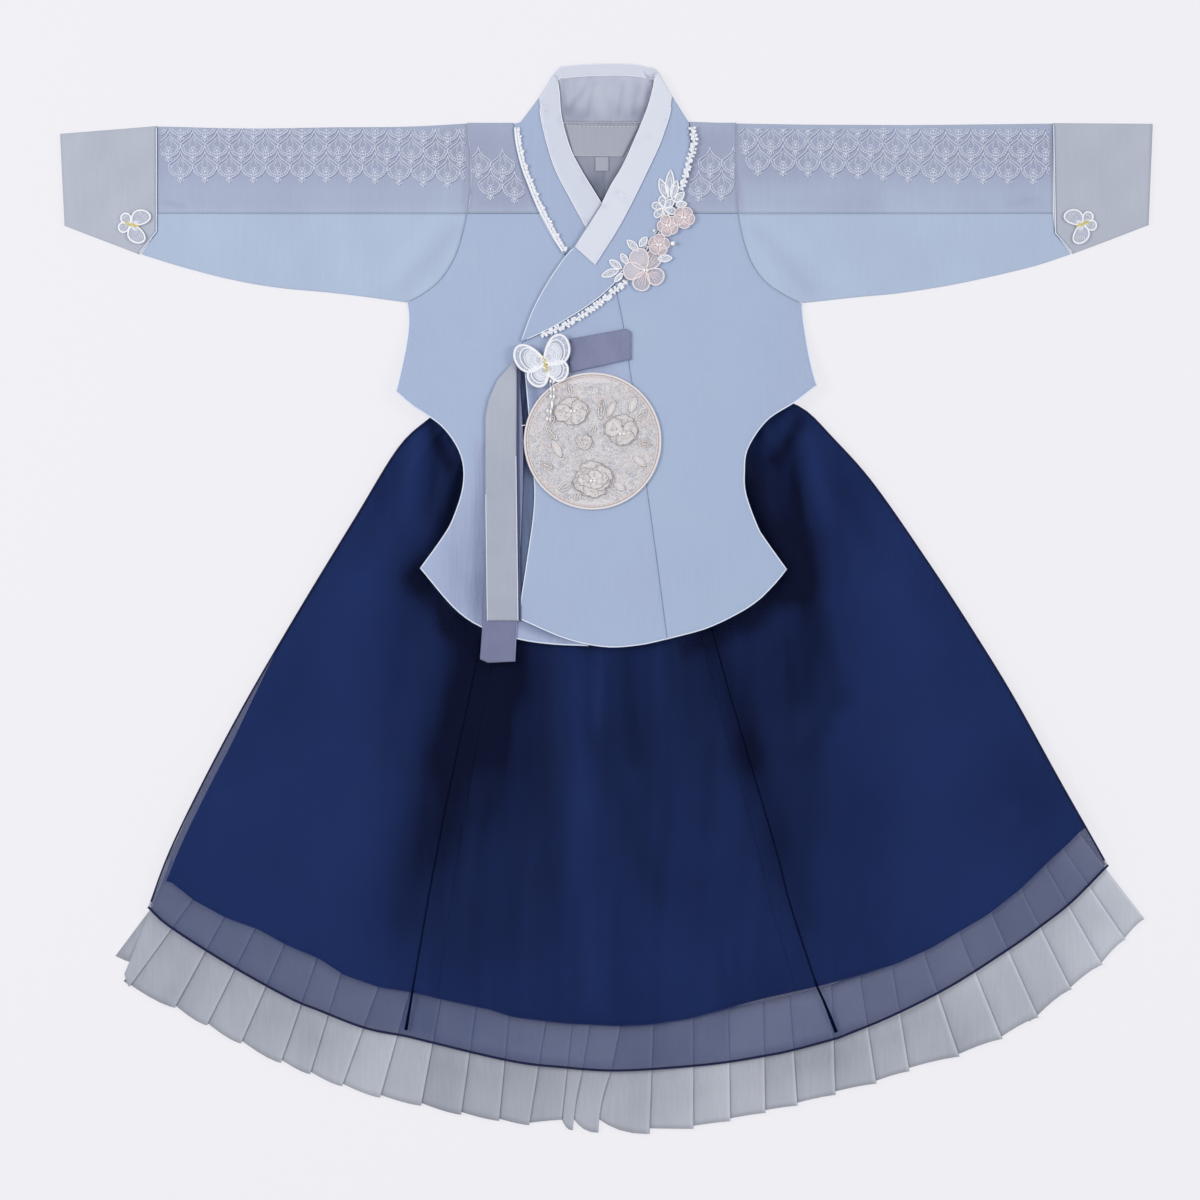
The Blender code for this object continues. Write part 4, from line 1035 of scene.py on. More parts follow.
class Strokes:
    """Soft troughs and ridges, or painted shade and highlight: each a line with a width and an amount."""

    def __init__(self, rows: Sequence[Sequence[float]]) -> None:
        """Keeps rows of x0, y0, x1, y1, width, amount."""
        self.rows = np.asarray(rows, float)

    def at(self, x: Points, y: Points) -> Points:
        """Sums the strokes, each fading towards its ends.

        Args:
            x: Places across.
            y: Places along.

        Returns:
            The sum at each place.
        """
        total = np.zeros_like(np.asarray(x, float))
        for x0, y0, x1, y1, width, amount in self.rows:
            dx, dy = x1 - x0, y1 - y0
            share = np.clip(((x - x0) * dx + (y - y0) * dy) / max(dx * dx + dy * dy, 1e-9), 0, 1)
            away = np.hypot(x - x0 - dx * share, y - y0 - dy * share)
            fade = 0.55 + 0.45 * np.sin(math.pi * (0.15 + 0.7 * share))
            total = total + amount * np.exp(-((away / width) ** 2)) * fade
        return total


@dataclass
class Skirt:
    """The skirt: sheer front gores over a lining, their seams and hems."""

    left: tuple = (
        (-114, 150), (-132, 135.5), (-155.6, 113.6), (-188, 61), (-230, -8), (-269.5, -75.7),
        (-301.4, -135.8), (-326.8, -188.5), (-342.6, -230.3),
    )
    right: tuple = (
        (130, 150), (149.6, 141.3), (170, 121), (201, 86), (245, 22.7), (279.8, -31), (306.5, -75),
        (340, -136), (375.7, -199),
    )
    seam_left: tuple = ((-59, 150), (-78, 50), (-95, -38), (-125, -181), (-150.5, -326.8))
    seam_right: tuple = (
        (28, 150), (62, 40), (89, -58), (127, -187), (137, -225.8), (156.5, -285.8), (163, -301),
        (174, -328.3),
    )
    hem_left: tuple = (
        (-342.6, -230.3), (-327, -244.6), (-282, -273.4), (-237, -298.3), (-214.5, -307.6), (-180, -320.9),
        (-150.5, -326.8),
    )
    hem_centre: tuple = (
        (-150.5, -326.8), (-75, -344.8), (-34.5, -349.9), (8.6, -352.6), (76, -348.2), (123, -341),
        (145.5, -336), (174, -328.3),
    )
    hem_right: tuple = (
        (174, -328.3), (213, -312), (258, -289.4), (303, -260.7), (325.5, -244.5), (348, -226.8),
        (375.7, -199),
    )
    waist: tuple = ((-114, 150), (-59, 150), (28, 150), (130, 150))
    cloth_mm: float = 0.7
    organza_mm: float = 0.3
    columns: tuple[int, ...] = (64, 98, 74)
    rows: int = 112
    organza_step: float = 1.7
    lining_share: float = 0.925
    # The lining stands inside the sheer cloth at the left: how far, over how many columns, from and to
    # where down.
    lining_inset: float = 6.6
    inset_columns: int = 9
    inset_down: tuple[float, float] = (0.44, 0.72)
    lining_waist_z: float = 2 * PLY
    lining_hem_z: float = 7.2
    rise_from: float = 0.5
    back_trim: float = 2.0
    # How much of a listed trough or ridge moves the cloth, at most, and how far that moves it.
    sink_limits: tuple[float, float] = (-0.35, 0.3)
    sink_mm: float = 4.5
    # Gathers at the waist: how many a gore, how high, and how far down they reach.
    gathers: int = 9
    gather_mm: float = 0.5
    gather_down: float = 0.1
    # Open cloth's tone, how far a full stroke paints shade into a trough or highlight onto a ridge, and the
    # haze past the lining's hem.
    open_tone: float = 0.6
    stroke_tone: float = 1.15
    haze_tone: float = 0.74
    # Where the skirt's middle, darker and more streaked, begins and ends across: left and right.
    middle_edges: tuple = ((-190, -105), (120, 235))
    # Large folds, counted in gores across and from waist to hem down, as the frame has them.
    #  across_top, across_hem, width_top, width_hem, from_down, to_down, height
    folds: tuple = (
        (0.20, 0.30, 0.17, 0.12, 0.00, 0.26, 2.4),
        (0.52, 0.62, 0.18, 0.14, 0.00, 0.34, 2.6),
        (0.86, 0.74, 0.17, 0.26, 0.00, 1.00, 3.0),
        (1.14, 1.16, 0.13, 0.15, 0.06, 0.92, 2.2),
        (1.38, 1.34, 0.12, 0.12, 0.00, 1.00, 3.2),
        (1.58, 1.53, 0.11, 0.14, 0.00, 1.00, 3.4),
        (1.79, 1.84, 0.11, 0.13, 0.00, 0.95, 2.8),
        (2.12, 2.20, 0.15, 0.20, 0.10, 1.00, 2.8),
        (2.40, 2.46, 0.15, 0.18, 0.00, 0.72, 3.2),
        (2.66, 2.70, 0.13, 0.14, 0.00, 0.60, 2.4),
        (2.86, 2.86, 0.12, 0.12, 0.00, 0.30, 1.8),
    )
    # Where the cloth sinks between folds and where it stands off, by plan place; the same strokes paint shade
    # and highlight.
    #  x0, y0, x1, y1, width, amount
    sinks: tuple = (
        (-99, -46, -118, -120, 16, -0.36), (-118, -120, -152, -236, 22, -0.24),
        (-84, -44, -76, -60, 17, -0.34), (-66, -50, -88, -150, 26, -0.17),
        (-86, -150, -104, -270, 30, -0.08), (-27, -40, -10, -300, 12, 0.15),
        (13, -42, 19, -118, 10, -0.16), (-3, -40, -7, -104, 2.5, 0.12),
        (-43, -56, -45, -210, 12, -0.13), (33, -96, 38, -205, 14, -0.11),
        (70, -50, 76, -165, 14, -0.12), (145, -125, 150, -175, 14, -0.10),
        (-6, -104, 38, -226, 11, -0.12), (30, -180, 62, -300, 26, 0.10),
        (84, -150, 98, -236, 18, 0.06), (84, -34, 106, -118, 13, -0.30),
        (106, -118, 148, -236, 16, -0.20), (128, -40, 150, -120, 20, -0.12),
        (140, 49, 176, -75, 9, -0.14), (176, -75, 148, -118, 8, -0.12),
        (186, 30, 240, -90, 26, 0.06), (-107, 96, -112, 60, 15, -0.40),
        (-112, 60, -142, 16, 13, -0.30), (-142, 16, -116, -18, 11, -0.34),
        (-116, -18, -96, -32, 10, -0.30), (106, 100, 108, 64, 15, -0.40),
        (110, 60, 140, 14, 13, -0.32), (140, 14, 108, -14, 11, -0.34),
        (108, -14, 60, -36, 9, -0.30), (-132, 132, -118, 100, 5, -0.30),
        (-140, 122, -150, 62, 7, 0.16), (-126, 118, -134, 64, 5, -0.16),
        (-160, 96, -184, 30, 9, -0.10), (-176, 60, -206, -60, 16, 0.10),
        (146, 134, 128, 104, 5, -0.30), (152, 122, 164, 60, 7, 0.15),
        (138, 118, 146, 62, 5, -0.16), (172, 100, 206, 26, 9, -0.10),
        (196, 60, 236, -40, 15, 0.09), (-80, -46, -86, -112, 15, -0.34),
        (-110, -40, -124, -190, 22, -0.16), (-54, -50, -74, -240, 26, -0.06),
        (132, 100, 146, 20, 15, -0.34), (146, 40, 150, -70, 15, -0.22),
        (108, -20, 116, -130, 15, -0.12), (66, -40, 60, -90, 16, -0.08),
        (-148, 30, -160, -120, 14, -0.10), (-250, -110, -290, -220, 30, 0.06),
        (-190, -60, -220, -260, 34, 0.07), (230, -120, 290, -230, 34, 0.05),
        (200, -160, 190, -290, 20, -0.07), (300, -120, 340, -190, 18, -0.06),
    )
    # The upper edge of the lining's turned-up hem.
    band_top: tuple = (
        (-330, -180), (-209.3, -233.3), (-159.8, -243), (-109.5, -268.5), (-49.5, -280.5), (-14.3, -265.5),
        (55.5, -263.3), (125.3, -235.5), (175.5, -205.5), (265.5, -175.5), (305.3, -186), (372, -130),
    )

    # The lining's hem, seen through the sheer cloth.
    lining_hem: tuple = (
        (-326.1, -210.6), (-307.7, -225.2), (-284, -238.1), (-259.5, -246.9), (-238.8, -258.5),
        (-215.1, -268), (-195.2, -281), (-168.4, -290.2), (-146.3, -293.3), (-117.8, -300.2),
        (-88.7, -306.2), (-68.8, -312.4), (-29, -317), (9.3, -318.8), (33.8, -317.8), (63, -313.3),
        (88.8, -306.2), (114.7, -299.1), (140.5, -293.3), (158.6, -289.4), (187, -281.6), (217.9, -272),
        (243.8, -260.3), (265.5, -247.4), (284.5, -236.3), (309.6, -216.9), (326.8, -199.7),
        (345.5, -182.5), (357.7, -170.3),
    )
    # Faint round press marks: x, y.
    marks: tuple = ((-284.3, -148.5), (301.5, -160.5))
    mark_radius: float = 8.5
    mark_tone: float = 0.07

    def plan(self) -> Points:
        """Gives the front's plan points, [across][down], through its three gores."""
        lines = (self.left, self.seam_left, self.seam_right, self.right)
        sides = [smooth_line(line, self.rows) for line in lines]
        columns: list[Points] = []
        hems = (self.hem_left, self.hem_centre, self.hem_right)
        for gore, (count, hem) in enumerate(zip(self.columns, hems)):
            top = even_line(np.array(self.waist[gore : gore + 2]), count + 1)
            grid = patch(top, smooth_line(hem, count + 1), sides[gore], sides[gore + 1])
            columns += list(grid if gore == 2 else grid[:-1])
        return np.array(columns)

    def across(self) -> Points:
        """Gives the columns' places, in gores."""
        places = [gore + np.arange(count) / count for gore, count in enumerate(self.columns)]
        return np.append(np.concatenate(places), 3.0)

    def fold_height(self, across: Points, down: Points) -> Points:
        """Gives the large folds' height.

        Args:
            across: Places across, in gores.
            down: Places from the waist to the hem.

        Returns:
            The height at each place.
        """
        relief = np.zeros(np.broadcast(across, down).shape)
        for top, hem, width_top, width_hem, start, end, height in self.folds:
            away = (across - top - (hem - top) * down) / (width_top + (width_hem - width_top) * down)
            along = ramp(down, start, start + 0.12) if start else np.ones_like(down)
            if end < 1:
                along = along * (1 - ramp(down, end - 0.18, end))
            hump = np.where(np.abs(away) < 1, 0.5 + 0.5 * np.cos(math.pi * np.clip(away, -1, 1)), 0)
            relief = np.maximum(relief, height * along * hump)
        edge = ramp(np.minimum(across, 3 - across), 0, 0.12)
        return relief * edge * ramp(down, 0, 0.05) * (1 - 0.45 * ramp(down, 0.6, 1))

    def drawn_in(self, share: Points | float) -> Points:
        """Says how far inwards each of the left columns of the lining lies."""
        column = np.arange(self.inset_columns)
        return self.lining_inset * share * (1 - column / self.inset_columns)[:, None]

    def lining_ends(self) -> Points:
        """Says how far down each column the lining's hem crosses it, as a share of the column."""
        plan, hem = self.plan(), np.array(self.lining_hem)
        plan[: self.inset_columns, :, 0] += self.drawn_in(1.0)
        over = plan[..., 1] - np.interp(plan[..., 0], hem[:, 0], hem[:, 1])
        first = np.argmax(over < 0, axis=1)
        every = np.arange(len(plan))
        above, below = over[every, first - 1], over[every, first]
        return (first - 1 + above / (above - below)) / (self.rows - 1)

    def front(self, organza: bool) -> tuple[Points, Points]:
        """Lays the front's cloth.

        Args:
            organza: Whether it is the sheer layer, above the lining.

        Returns:
            The points [across][down], and the shade at each.
        """
        plan, ends = self.plan(), self.lining_ends()[:, None]
        shares = np.ones_like(ends) if organza else ends
        at = shares * np.linspace(0, self.rows - 1, self.rows)[None]
        low = np.minimum(at.astype(int), self.rows - 2)
        rest = (at - low)[..., None]
        near, far = (np.take_along_axis(plan, (low + step)[..., None], axis=1) for step in (0, 1))
        spread = near * (1 - rest) + far * rest
        down = at / (self.rows - 1)
        across = self.across()[:, None]
        if not organza:
            left = slice(0, self.inset_columns)
            spread[left, :, 0] += self.drawn_in(ramp(down[left], *self.inset_down))
        x, y = spread[..., 0], spread[..., 1]
        sunk = Strokes(self.sinks).at(x, y)
        climb = ramp(down, self.rise_from, self.lining_share)
        height = self.lining_waist_z + (self.lining_hem_z - self.lining_waist_z) * climb
        edge = ramp(np.minimum(across, 3 - across), 0, 0.1) * ramp(1 - down, 0.0, 0.08)
        waves = np.cos(across * 2 * math.pi * self.gathers + np.sin(down * 9) * 0.8)
        gathers = self.gather_mm * waves * np.exp(-((down - 0.06) / self.gather_down) ** 2)
        relief = self.fold_height(across, down) + np.clip(sunk, *self.sink_limits) * self.sink_mm * edge
        relief += (ripple(x, y, 70.0, 5) * 0.35 + gathers) * edge
        height = height + np.maximum(relief, 0)
        middle = ramp(x, *self.middle_edges[0]) * (1 - ramp(x, *self.middle_edges[1]))
        streaks = 0.04 * np.sin(x / 3.1 + np.sin(y / 60.0) * 2.0) * np.sin(x / 11.0 + 1.0) * middle
        # Painted shade in the troughs and painted highlight on the ridges, from the same strokes as the
        # relief.
        tone = self.open_tone + sunk * self.stroke_tone
        tone = tone + 0.05 * ripple(x, y, 110.0, 9) - 0.15 * middle + streaks
        for mark in self.marks:
            gone = np.hypot(x - mark[0], y - mark[1])
            tone = tone + self.mark_tone * (1 - ramp(gone, self.mark_radius - 1, self.mark_radius))
        if organza:
            height = height + self.organza_step * (1 - ramp(down, self.lining_share + 0.01, 1.0))
            past = ramp(down - ends, 0.0, 0.02)
            tone = tone + (self.haze_tone - tone) * 0.8 * past + 0.14 * middle * past
        else:
            band = np.array(self.band_top)
            below = np.interp(x, band[:, 0], band[:, 1]) - y
            tone = tone + 0.14 * ramp(below, -0.8, 0.8)
            height = height + 0.25 * ramp(below, -1.0, 1.0) * edge
        return np.dstack([x, y, height]), np.clip(tone, 0, 1)

    def build(self, nodes: dict[str, bpy.types.Object]) -> None:
        """Makes the front's cloths, seams and rolled hems, and finishes the frame's flat back.

        Args:
            nodes: The frame's nodes.
        """
        for name, finish in (("skirt_back_organza", Finish.BACK_ORGANZA), ("waistband", Finish.NAVY_LINING)):
            nodes[name].material_slots[0].material = finish.material()
        lining, shade = self.front(False)
        outline = rim_of(lining)
        look = (Finish.NAVY_LINING, "navy_lining")
        lay(
            "skirt_back_lining_cloth", outline, lambda x, y: PLY + 0 * x, look, "skirt_back_lining",
            ["skirt_back_organza"], self.back_trim, "gathered", thickness=self.cloth_mm, spacing=12.0,
        )
        piece = grid_cloth("skirt_lining", lining, self.cloth_mm, shade)
        dress(
            piece, *look, "skirt_front_lining", sheet=(outline, 1), held="gathered",
            rests_on=["skirt_back_lining_cloth"],
        )
        organza, shade = self.front(True)
        edges = np.cumsum((0, *self.columns))
        for gore, name in enumerate(("left", "centre", "right")):
            part = slice(edges[gore], edges[gore + 1] + 1)
            piece = grid_cloth(f"organza_gore_{name}", organza[part].copy(), self.organza_mm, shade[part])
            dress(
                piece, Finish.ORGANZA, "navy_organza", f"skirt_front_{name}",
                sheet=(rim_of(organza[part]), 1),
                held="gathered", rests_on=["skirt_lining"],
            )
        self.edging(organza, lining, edges)

    def edging(self, organza: Points, lining: Points, edges: Points) -> None:
        """Makes the rolled hems and the gores' seams, and the lining's hem, seams and selvedge.

        Args:
            organza: The sheer layer's points.
            lining: The lining's points.
            edges: The columns that the gores meet on.
        """
        hems, seams, cord, inner, selvedge = (Parts() for _ in range(5))
        up, above = np.array((0, 0, self.organza_mm)), np.array((0, 0, 0.8))
        hems.tube((organza[:, -1] + up)[::2], 0.9, 7, tone=0.1, squash=0.8)
        for column, inward in ((0, 0.8), (-1, -0.8)):
            hems.tube((organza[column] + up + (inward, 0, 0))[::2], 0.75, 5, tone=0.15)
        ends = self.lining_ends()
        for column in edges[1:3]:
            line = (organza[column] + up)[8::2]
            past = np.linspace(8, self.rows - 2, len(line)) / (self.rows - 1) - ends[column]
            wide = 0.42 + 0.45 * ramp(past, -0.012, 0.004) + 0.5 * ramp(past, 0.0, 0.08)
            over = int(np.argmax(past > 0))
            for stretch in (slice(0, over + 1), slice(over, None)):
                seams.tube(line[stretch], wide[stretch], 6, tone=0.3, squash=0.7)
        cord.tube(lining[:, -1][::2] + above * 0.7, 0.55, 5, tone=0.45)
        for column in (edges[1] + 6, edges[2] - 5):
            inner.tube(lining[column, 10::2] + above, 0.32, 4, tone=0.0)
        line = lining[0, self.rows // 2 :: 2] + above * 0.3
        selvedge.tube(line, 0.25 + 0.4 * ramp(np.arange(len(line)), 0, len(line) * 0.5), 5, tone=0.6)
        for parts, name, finish, slot in (
            (hems, "organza_hem_and_seams", Finish.NAVY_EDGE, "navy_organza"),
            (seams, "organza_shaded_seams", Finish.NAVY_SEAM, "navy_organza"),
            (cord, "lining_hem_cord", Finish.NAVY_EDGE, "navy_lining"),
            (inner, "lining_seams", Finish.NAVY_SEAM, "navy_lining"),
            (selvedge, "lining_selvedge", Finish.SHADE_THREAD, "navy_lining"),
        ):
            dress(parts.made(name), finish, slot)


@dataclass
class Ruffle:
    """The pleated ruffle: knife pleats that all lie to the right, with a flatter layer behind."""

    skirt: Skirt
    # Each row is a fold's edge at the skirt's hem and at its tip; short is the step up to its neighbour.
    #   hem_x, tip_x, tip_y, short
    pleats: tuple = (
        (-341.5, -361, -284, 3), (-324.8, -357.5, -290.5, 2), (-299.3, -323.3, -306.2, 2),
        (-277.5, -299.3, -319.4, 2), (-254.3, -273.8, -333, 2.5), (-228, -243.8, -347.5, 2.5),
        (-207.8, -222, -356, 2), (-181.5, -198, -365, 2), (-156, -169.5, -373.6, 2),
        (-129.8, -138.8, -379.6, 2), (-102, -108.8, -386.4, 2), (-75.8, -80.3, -391, 1.5),
        (-50.3, -57.8, -394.2, 1.5), (-29, -33.4, -390.2, 1), (-17.5, -25, -398, 9.5),
        (3.9, -6, -399.8, 10.5), (34.2, 32.4, -400.8, 4), (65.3, 65.3, -397, 2), (92.3, 93, -391.4, 2),
        (118.5, 119.3, -385.2, 2), (140.3, 143.3, -379.7, 2), (170.3, 171.8, -371.7, 2.5),
        (195.8, 202.5, -363.2, 2), (219.8, 227.3, -354, 2.5), (248.3, 264.8, -343, 2),
        (276, 297, -329.8, 2), (300.8, 324, -313.7, 2), (324.8, 348.8, -292.7, 2), (345.8, 372, -274.2, 2),
        (361, 389.3, -255.2, 1.5), (373.5, 403.4, -240, 0),
    )
    # The middle flutes that stand open, by pleat: how far each fold's edge sways.
    sways: tuple = ((14, -1.2), (15, -2.2))
    # How round each pleat's lower edge is: a flute's, and any other's.
    flutes: tuple[int, ...] = (13, 14, 15)
    flute_round: float = 2.6
    pleat_round: float = 1.35
    # How far the ruffle runs on under the lining, and how much of its width a pleat hides.
    top_drop: float = 40.0
    hidden: float = 0.26
    #  x, the ruffle's painted light and shade there
    shading: tuple = (
        (-345, 0.38), (-290, 0.36), (-255, 0.36), (-215, 0.56), (-180, 0.52), (-140, 0.28), (-100, 0.26),
        (-50, 0.29), (10, 0.56), (55, 0.60), (100, 0.44), (140, 0.34), (190, 0.42), (260, 0.54),
        (340, 0.66), (400, 0.70),
    )
    #  x at the skirt's hem, the painted light on the ruffle under the sheer cloth there; less than nothing
    #  paints shade
    under_shading: tuple = (
        (-345, 0.30), (-230, 0.30), (-200, 0), (-172, -0.2), (-155, -0.3), (-141, 0.1), (-120, 0.26),
        (-83, 0.46), (-40, 0.62), (-15, 0.40), (0, 0.15), (22, -0.1), (52, -0.14), (67, 0.05), (82, 0.30),
        (97, 0.60), (142, 0.66), (172, 0.48), (190, 0.33), (240, 0.30), (262, 0.16), (292, -0.1),
        (307, -0.12), (330, 0.02), (352, 0.08),
    )
    # One pleat from its hidden start to its inner fold: share of its width, height.
    section: tuple = (
        (-0.26, 0), (-0.1, 0.02), (0.015, 0.06), (0.08, 0.2), (0.2, 0.42), (0.42, 0.75), (0.68, 1.05),
        (0.9, 1.28), (0.955, 1.34), (0.985, 1.32), (1, 1.15), (0.985, 0.95), (0.9, 0.85), (0.78, 0.75),
        (0.725, 0.5),
    )
    back_section: tuple = ((0, 0), (0.5, 0.25))
    thickness: float = 0.3
    back_start: tuple = ((-342.2, -233.5), (-370.8, -271.5))
    rows: ClassVar[Points] = np.concatenate([np.linspace(0, 1, 6), np.linspace(1.1, 2, 10)])

    def edge(self, hem: Points, tip: Points) -> Points:
        """Gives a fold's edge: its start under the lining, the hem, and the tip."""
        up = (hem - tip) / np.linalg.norm(hem - tip)
        return np.array((hem + up * self.top_drop, hem, tip))

    @staticmethod
    def on_edge(edge: Points, down: float) -> Points:
        """Gives a place on a fold's edge: 0 its start, 1 the skirt's hem, 2 its tip."""
        if down <= 1:
            return edge[0] + (edge[1] - edge[0]) * down
        return edge[1] + (edge[2] - edge[1]) * (down - 1)

    def columns(
        self, edges: list[Points], shorts: Sequence[float], level: int, section: tuple, rows: Points,
    ) -> tuple:
        """Lays pleats side by side.

        Args:
            edges: The folds' edges.
            shorts: How far each pleat's neighbour stops above its tip.
            level: The ply that the layer is.
            section: A pleat's shares and heights.
            rows: Places down the pleats.

        Returns:
            The points [across][down], and the shade at each.
        """
        sways, knots, below = dict(self.sways), np.array(self.shading), np.array(self.under_shading)
        grid, tones = [], []
        wide = [np.linalg.norm(ahead[2] - here[2]) for here, ahead in zip(edges, edges[1:])]
        for k, (here, ahead) in enumerate(zip(edges, edges[1:])):
            # Painted light and shade along the ruffle and under the sheer cloth, and how strong the fold
            # edges' painted highlight is.
            painted_shading = float(np.interp(here[2][0], knots[:, 0], knots[:, 1]))
            painted_under_light = float(np.interp(here[1][0], below[:, 0], below[:, 1]))
            shine = 0.22 + 0.2 * float(ramp(here[2][0], 40.0, 140.0))
            tuck = min(1.0, 0.6 * wide[k - 1] / (wide[k] * self.hidden)) if k else 0.0
            power = self.flute_round if k in self.flutes else self.pleat_round
            for share, height in section if k else [row for row in section if row[0] >= 0]:
                share = share * tuck if share < 0 else share
                held = min(max(share, 0.0), 1.0)
                # Painted shade where the pleat comes out from under its neighbour, and a painted highlight
                # along its fold's edge.
                tuck_shadow = 0.1 * math.exp(-((share / 0.1) ** 2)) if share >= 0 else 0.2
                glint = shine * math.exp(-(((share - 0.985) / 0.035) ** 2)) if height > 1.2 else 0.0
                column, shades = [], []
                for down in rows:
                    near, far = self.on_edge(here, down), self.on_edge(ahead, down)
                    past = max(down - 1, 0)
                    lower = share + (1 - (1 - held) ** power - held) * past
                    x, y = near[0] * (1 - share) + far[0] * share, near[1] * (1 - lower) + far[1] * lower
                    sway = sways.get(k, 0) * (1 - share) + sways.get(k + 1, 0) * share
                    x += sway * math.sin(math.pi * past)
                    y += shorts[k] * (1 - min(lower, 1)) * past
                    lift = 2 * PLY * (1 - float(ramp(down, 1.0, 1.6))) + level * PLY
                    column.append((x, y, lift + height * (0.8 + 0.4 * past)))
                    under = painted_under_light * (1 - float(ramp(down, 0.9, 1.02)))
                    shades.append(painted_shading + 0.08 * (share - 0.4) - tuck_shadow + glint + 0.04 * past + under)
                grid.append(column)
                tones.append(shades)
        return np.array(grid), np.clip(np.array(tones), 0, 1)

    def layer(self, name: str, node: str, under: str, drop: float, grid: Points, tones: Points) -> None:
        """Makes one layer of the ruffle.

        Args:
            name: Its name.
            node: The frame's node that it stands for.
            under: What it rests on.
            drop: How far it hangs, in millimetres.
            grid: Its points [across][down].
            tones: Its shade at each.
        """
        width = float(np.linalg.norm(np.diff(grid[:, -1, :2], axis=0), axis=1).sum())
        piece = grid_cloth(name, grid, self.thickness, tones)
        dress(
            piece, Finish.RUFFLE, "ruffle_cloth", node, flat=(width, drop), held="gathered", rests_on=[under],
        )

    def build(self) -> None:
        """Makes both layers of the ruffle."""
        hem_line = self.skirt.plan()[:, -1]
        edges = []
        for hem_x, tip_x, tip_y, _ in self.pleats:
            hem = np.array((hem_x, np.interp(hem_x, hem_line[:, 0], hem_line[:, 1])))
            edges.append(self.edge(hem, np.array((tip_x, tip_y))))
        drop = float(np.mean([np.linalg.norm(edge[0] - edge[2]) for edge in edges]))
        grid, tones = self.columns(edges, [row[3] for row in self.pleats], 1, self.section, self.rows)
        self.layer("ruffle_pleats", "ruffle_front", "ruffle_underlayer", drop, grid, tones)

        hem, tip = (np.array(point) for point in self.back_start)
        back = [self.edge(hem, tip)]
        for k, edge in enumerate(edges[1:], 1):
            rise = 14.0 if k == 1 else 10.0 if k in (*self.flutes, self.flutes[-1] + 1) else 2.5
            back.append(np.array((edge[0], edge[1], edge[2] + (1.5, rise))))
        grid, tones = self.columns(back, [0.0] * len(back), 0, self.back_section, self.rows[::2])
        # The layer behind is painted darker, as shade under the pleats.
        self.layer("ruffle_underlayer", "ruffle_back", "skirt_back_organza", drop, grid, tones * 0.8)
        log.info("ruffle: %d pleats", len(edges) - 1)


# Jacket.


@dataclass
class Lie:
    """How the jacket lies: its rise over the skirt's waist, its plies, and the soft creases in them."""

    #  y, rise
    rises: tuple = (
        (-60, 10.4), (-10, 10.6), (60, 10.7), (120, 10.5), (146, 9.9), (160, 8.7), (172, 6.9), (184, 4.6),
        (196, 2.3), (206, 0.8), (216, 0),
    )
    overlap_full_x: float = 67.0
    overlap_gone_x: float = 85.0
    #  x0, y0, x1, y1, width, amount
    creases: tuple = (
        (-108, 262, -84, 206, 9, 0.7), (-128, 226, -92, 168, 11, 0.8), (-120, 180, -104, 96, 12, 0.5),
        (-96, 150, -92, 20, 14, 0.45), (-60, 260, -84, 196, 10, 0.4), (104, 260, 84, 200, 9, 0.7),
        (126, 224, 94, 164, 11, 0.8), (122, 178, 102, 96, 12, 0.5), (90, 150, 92, 16, 15, 0.5),
        (62, 190, 70, 40, 16, 0.4), (20, 60, 12, -30, 14, 0.35), (-34, 50, -26, -28, 13, 0.35),
        (24, 206, 60, 220, 9, 0.3), (70, 232, 108, 246, 8, 0.45), (-148, 206, -112, 216, 8, 0.4),
        (146, 204, 110, 214, 8, 0.4), (-128, 24, -96, 4, 9, 0.4), (126, 22, 92, 2, 9, 0.4),
        (-330, 300, -306, 297, 3.2, 0.9), (-320, 292, -262, 284, 6, 0.5), (-196, 236, -150, 286, 9, 0.8),
        (-236, 244, -214, 284, 9, 0.5), (-150, 240, -118, 280, 8, 0.9), (-290, 262, -240, 274, 9, 0.5),
        (-240, 304, -150, 298, 8, 0.4), (-300, 318, -230, 310, 9, 0.35), (196, 236, 150, 286, 9, 0.8),
        (240, 246, 216, 284, 9, 0.5), (150, 240, 116, 280, 8, 0.9), (292, 264, 244, 276, 9, 0.5),
        (238, 304, 152, 298, 8, 0.4), (322, 300, 300, 296, 3.5, 0.7), (-390, 330, -360, 300, 12, 0.3),
        (390, 330, 356, 306, 12, 0.3),
    )

    def rise(self, y: Points) -> Points:
        """Gives the jacket's smooth rise along the garment."""
        table = np.array(self.rises)
        return sum(np.interp(y + off, table[:, 0], table[:, 1]) for off in (-5.0, 0.0, 5.0)) / 3

    def creased(self, x: Points, y: Points) -> Points:
        """Gives the creases' height."""
        return Strokes(self.creases).at(x, y) + 0.16 * (1 + ripple(x, y, 60.0, 3))

    def ply(self, level: float, lifted: bool = False, creased: float = 1.0) -> Height:
        """Gives the height of a ply's underside.

        Args:
            level: How many plies lie under it.
            lifted: Whether it lies one ply higher over the inner front.
            creased: How much of the creases it takes.

        Returns:
            The height over the plan.
        """
        def height(x: Points, y: Points) -> Points:
            lift = np.interp(x, (self.overlap_full_x, self.overlap_gone_x), (PLY, 0.0)) if lifted else 0.0
            return self.rise(y) + level * PLY + lift + creased * self.creased(x, y)

        return height


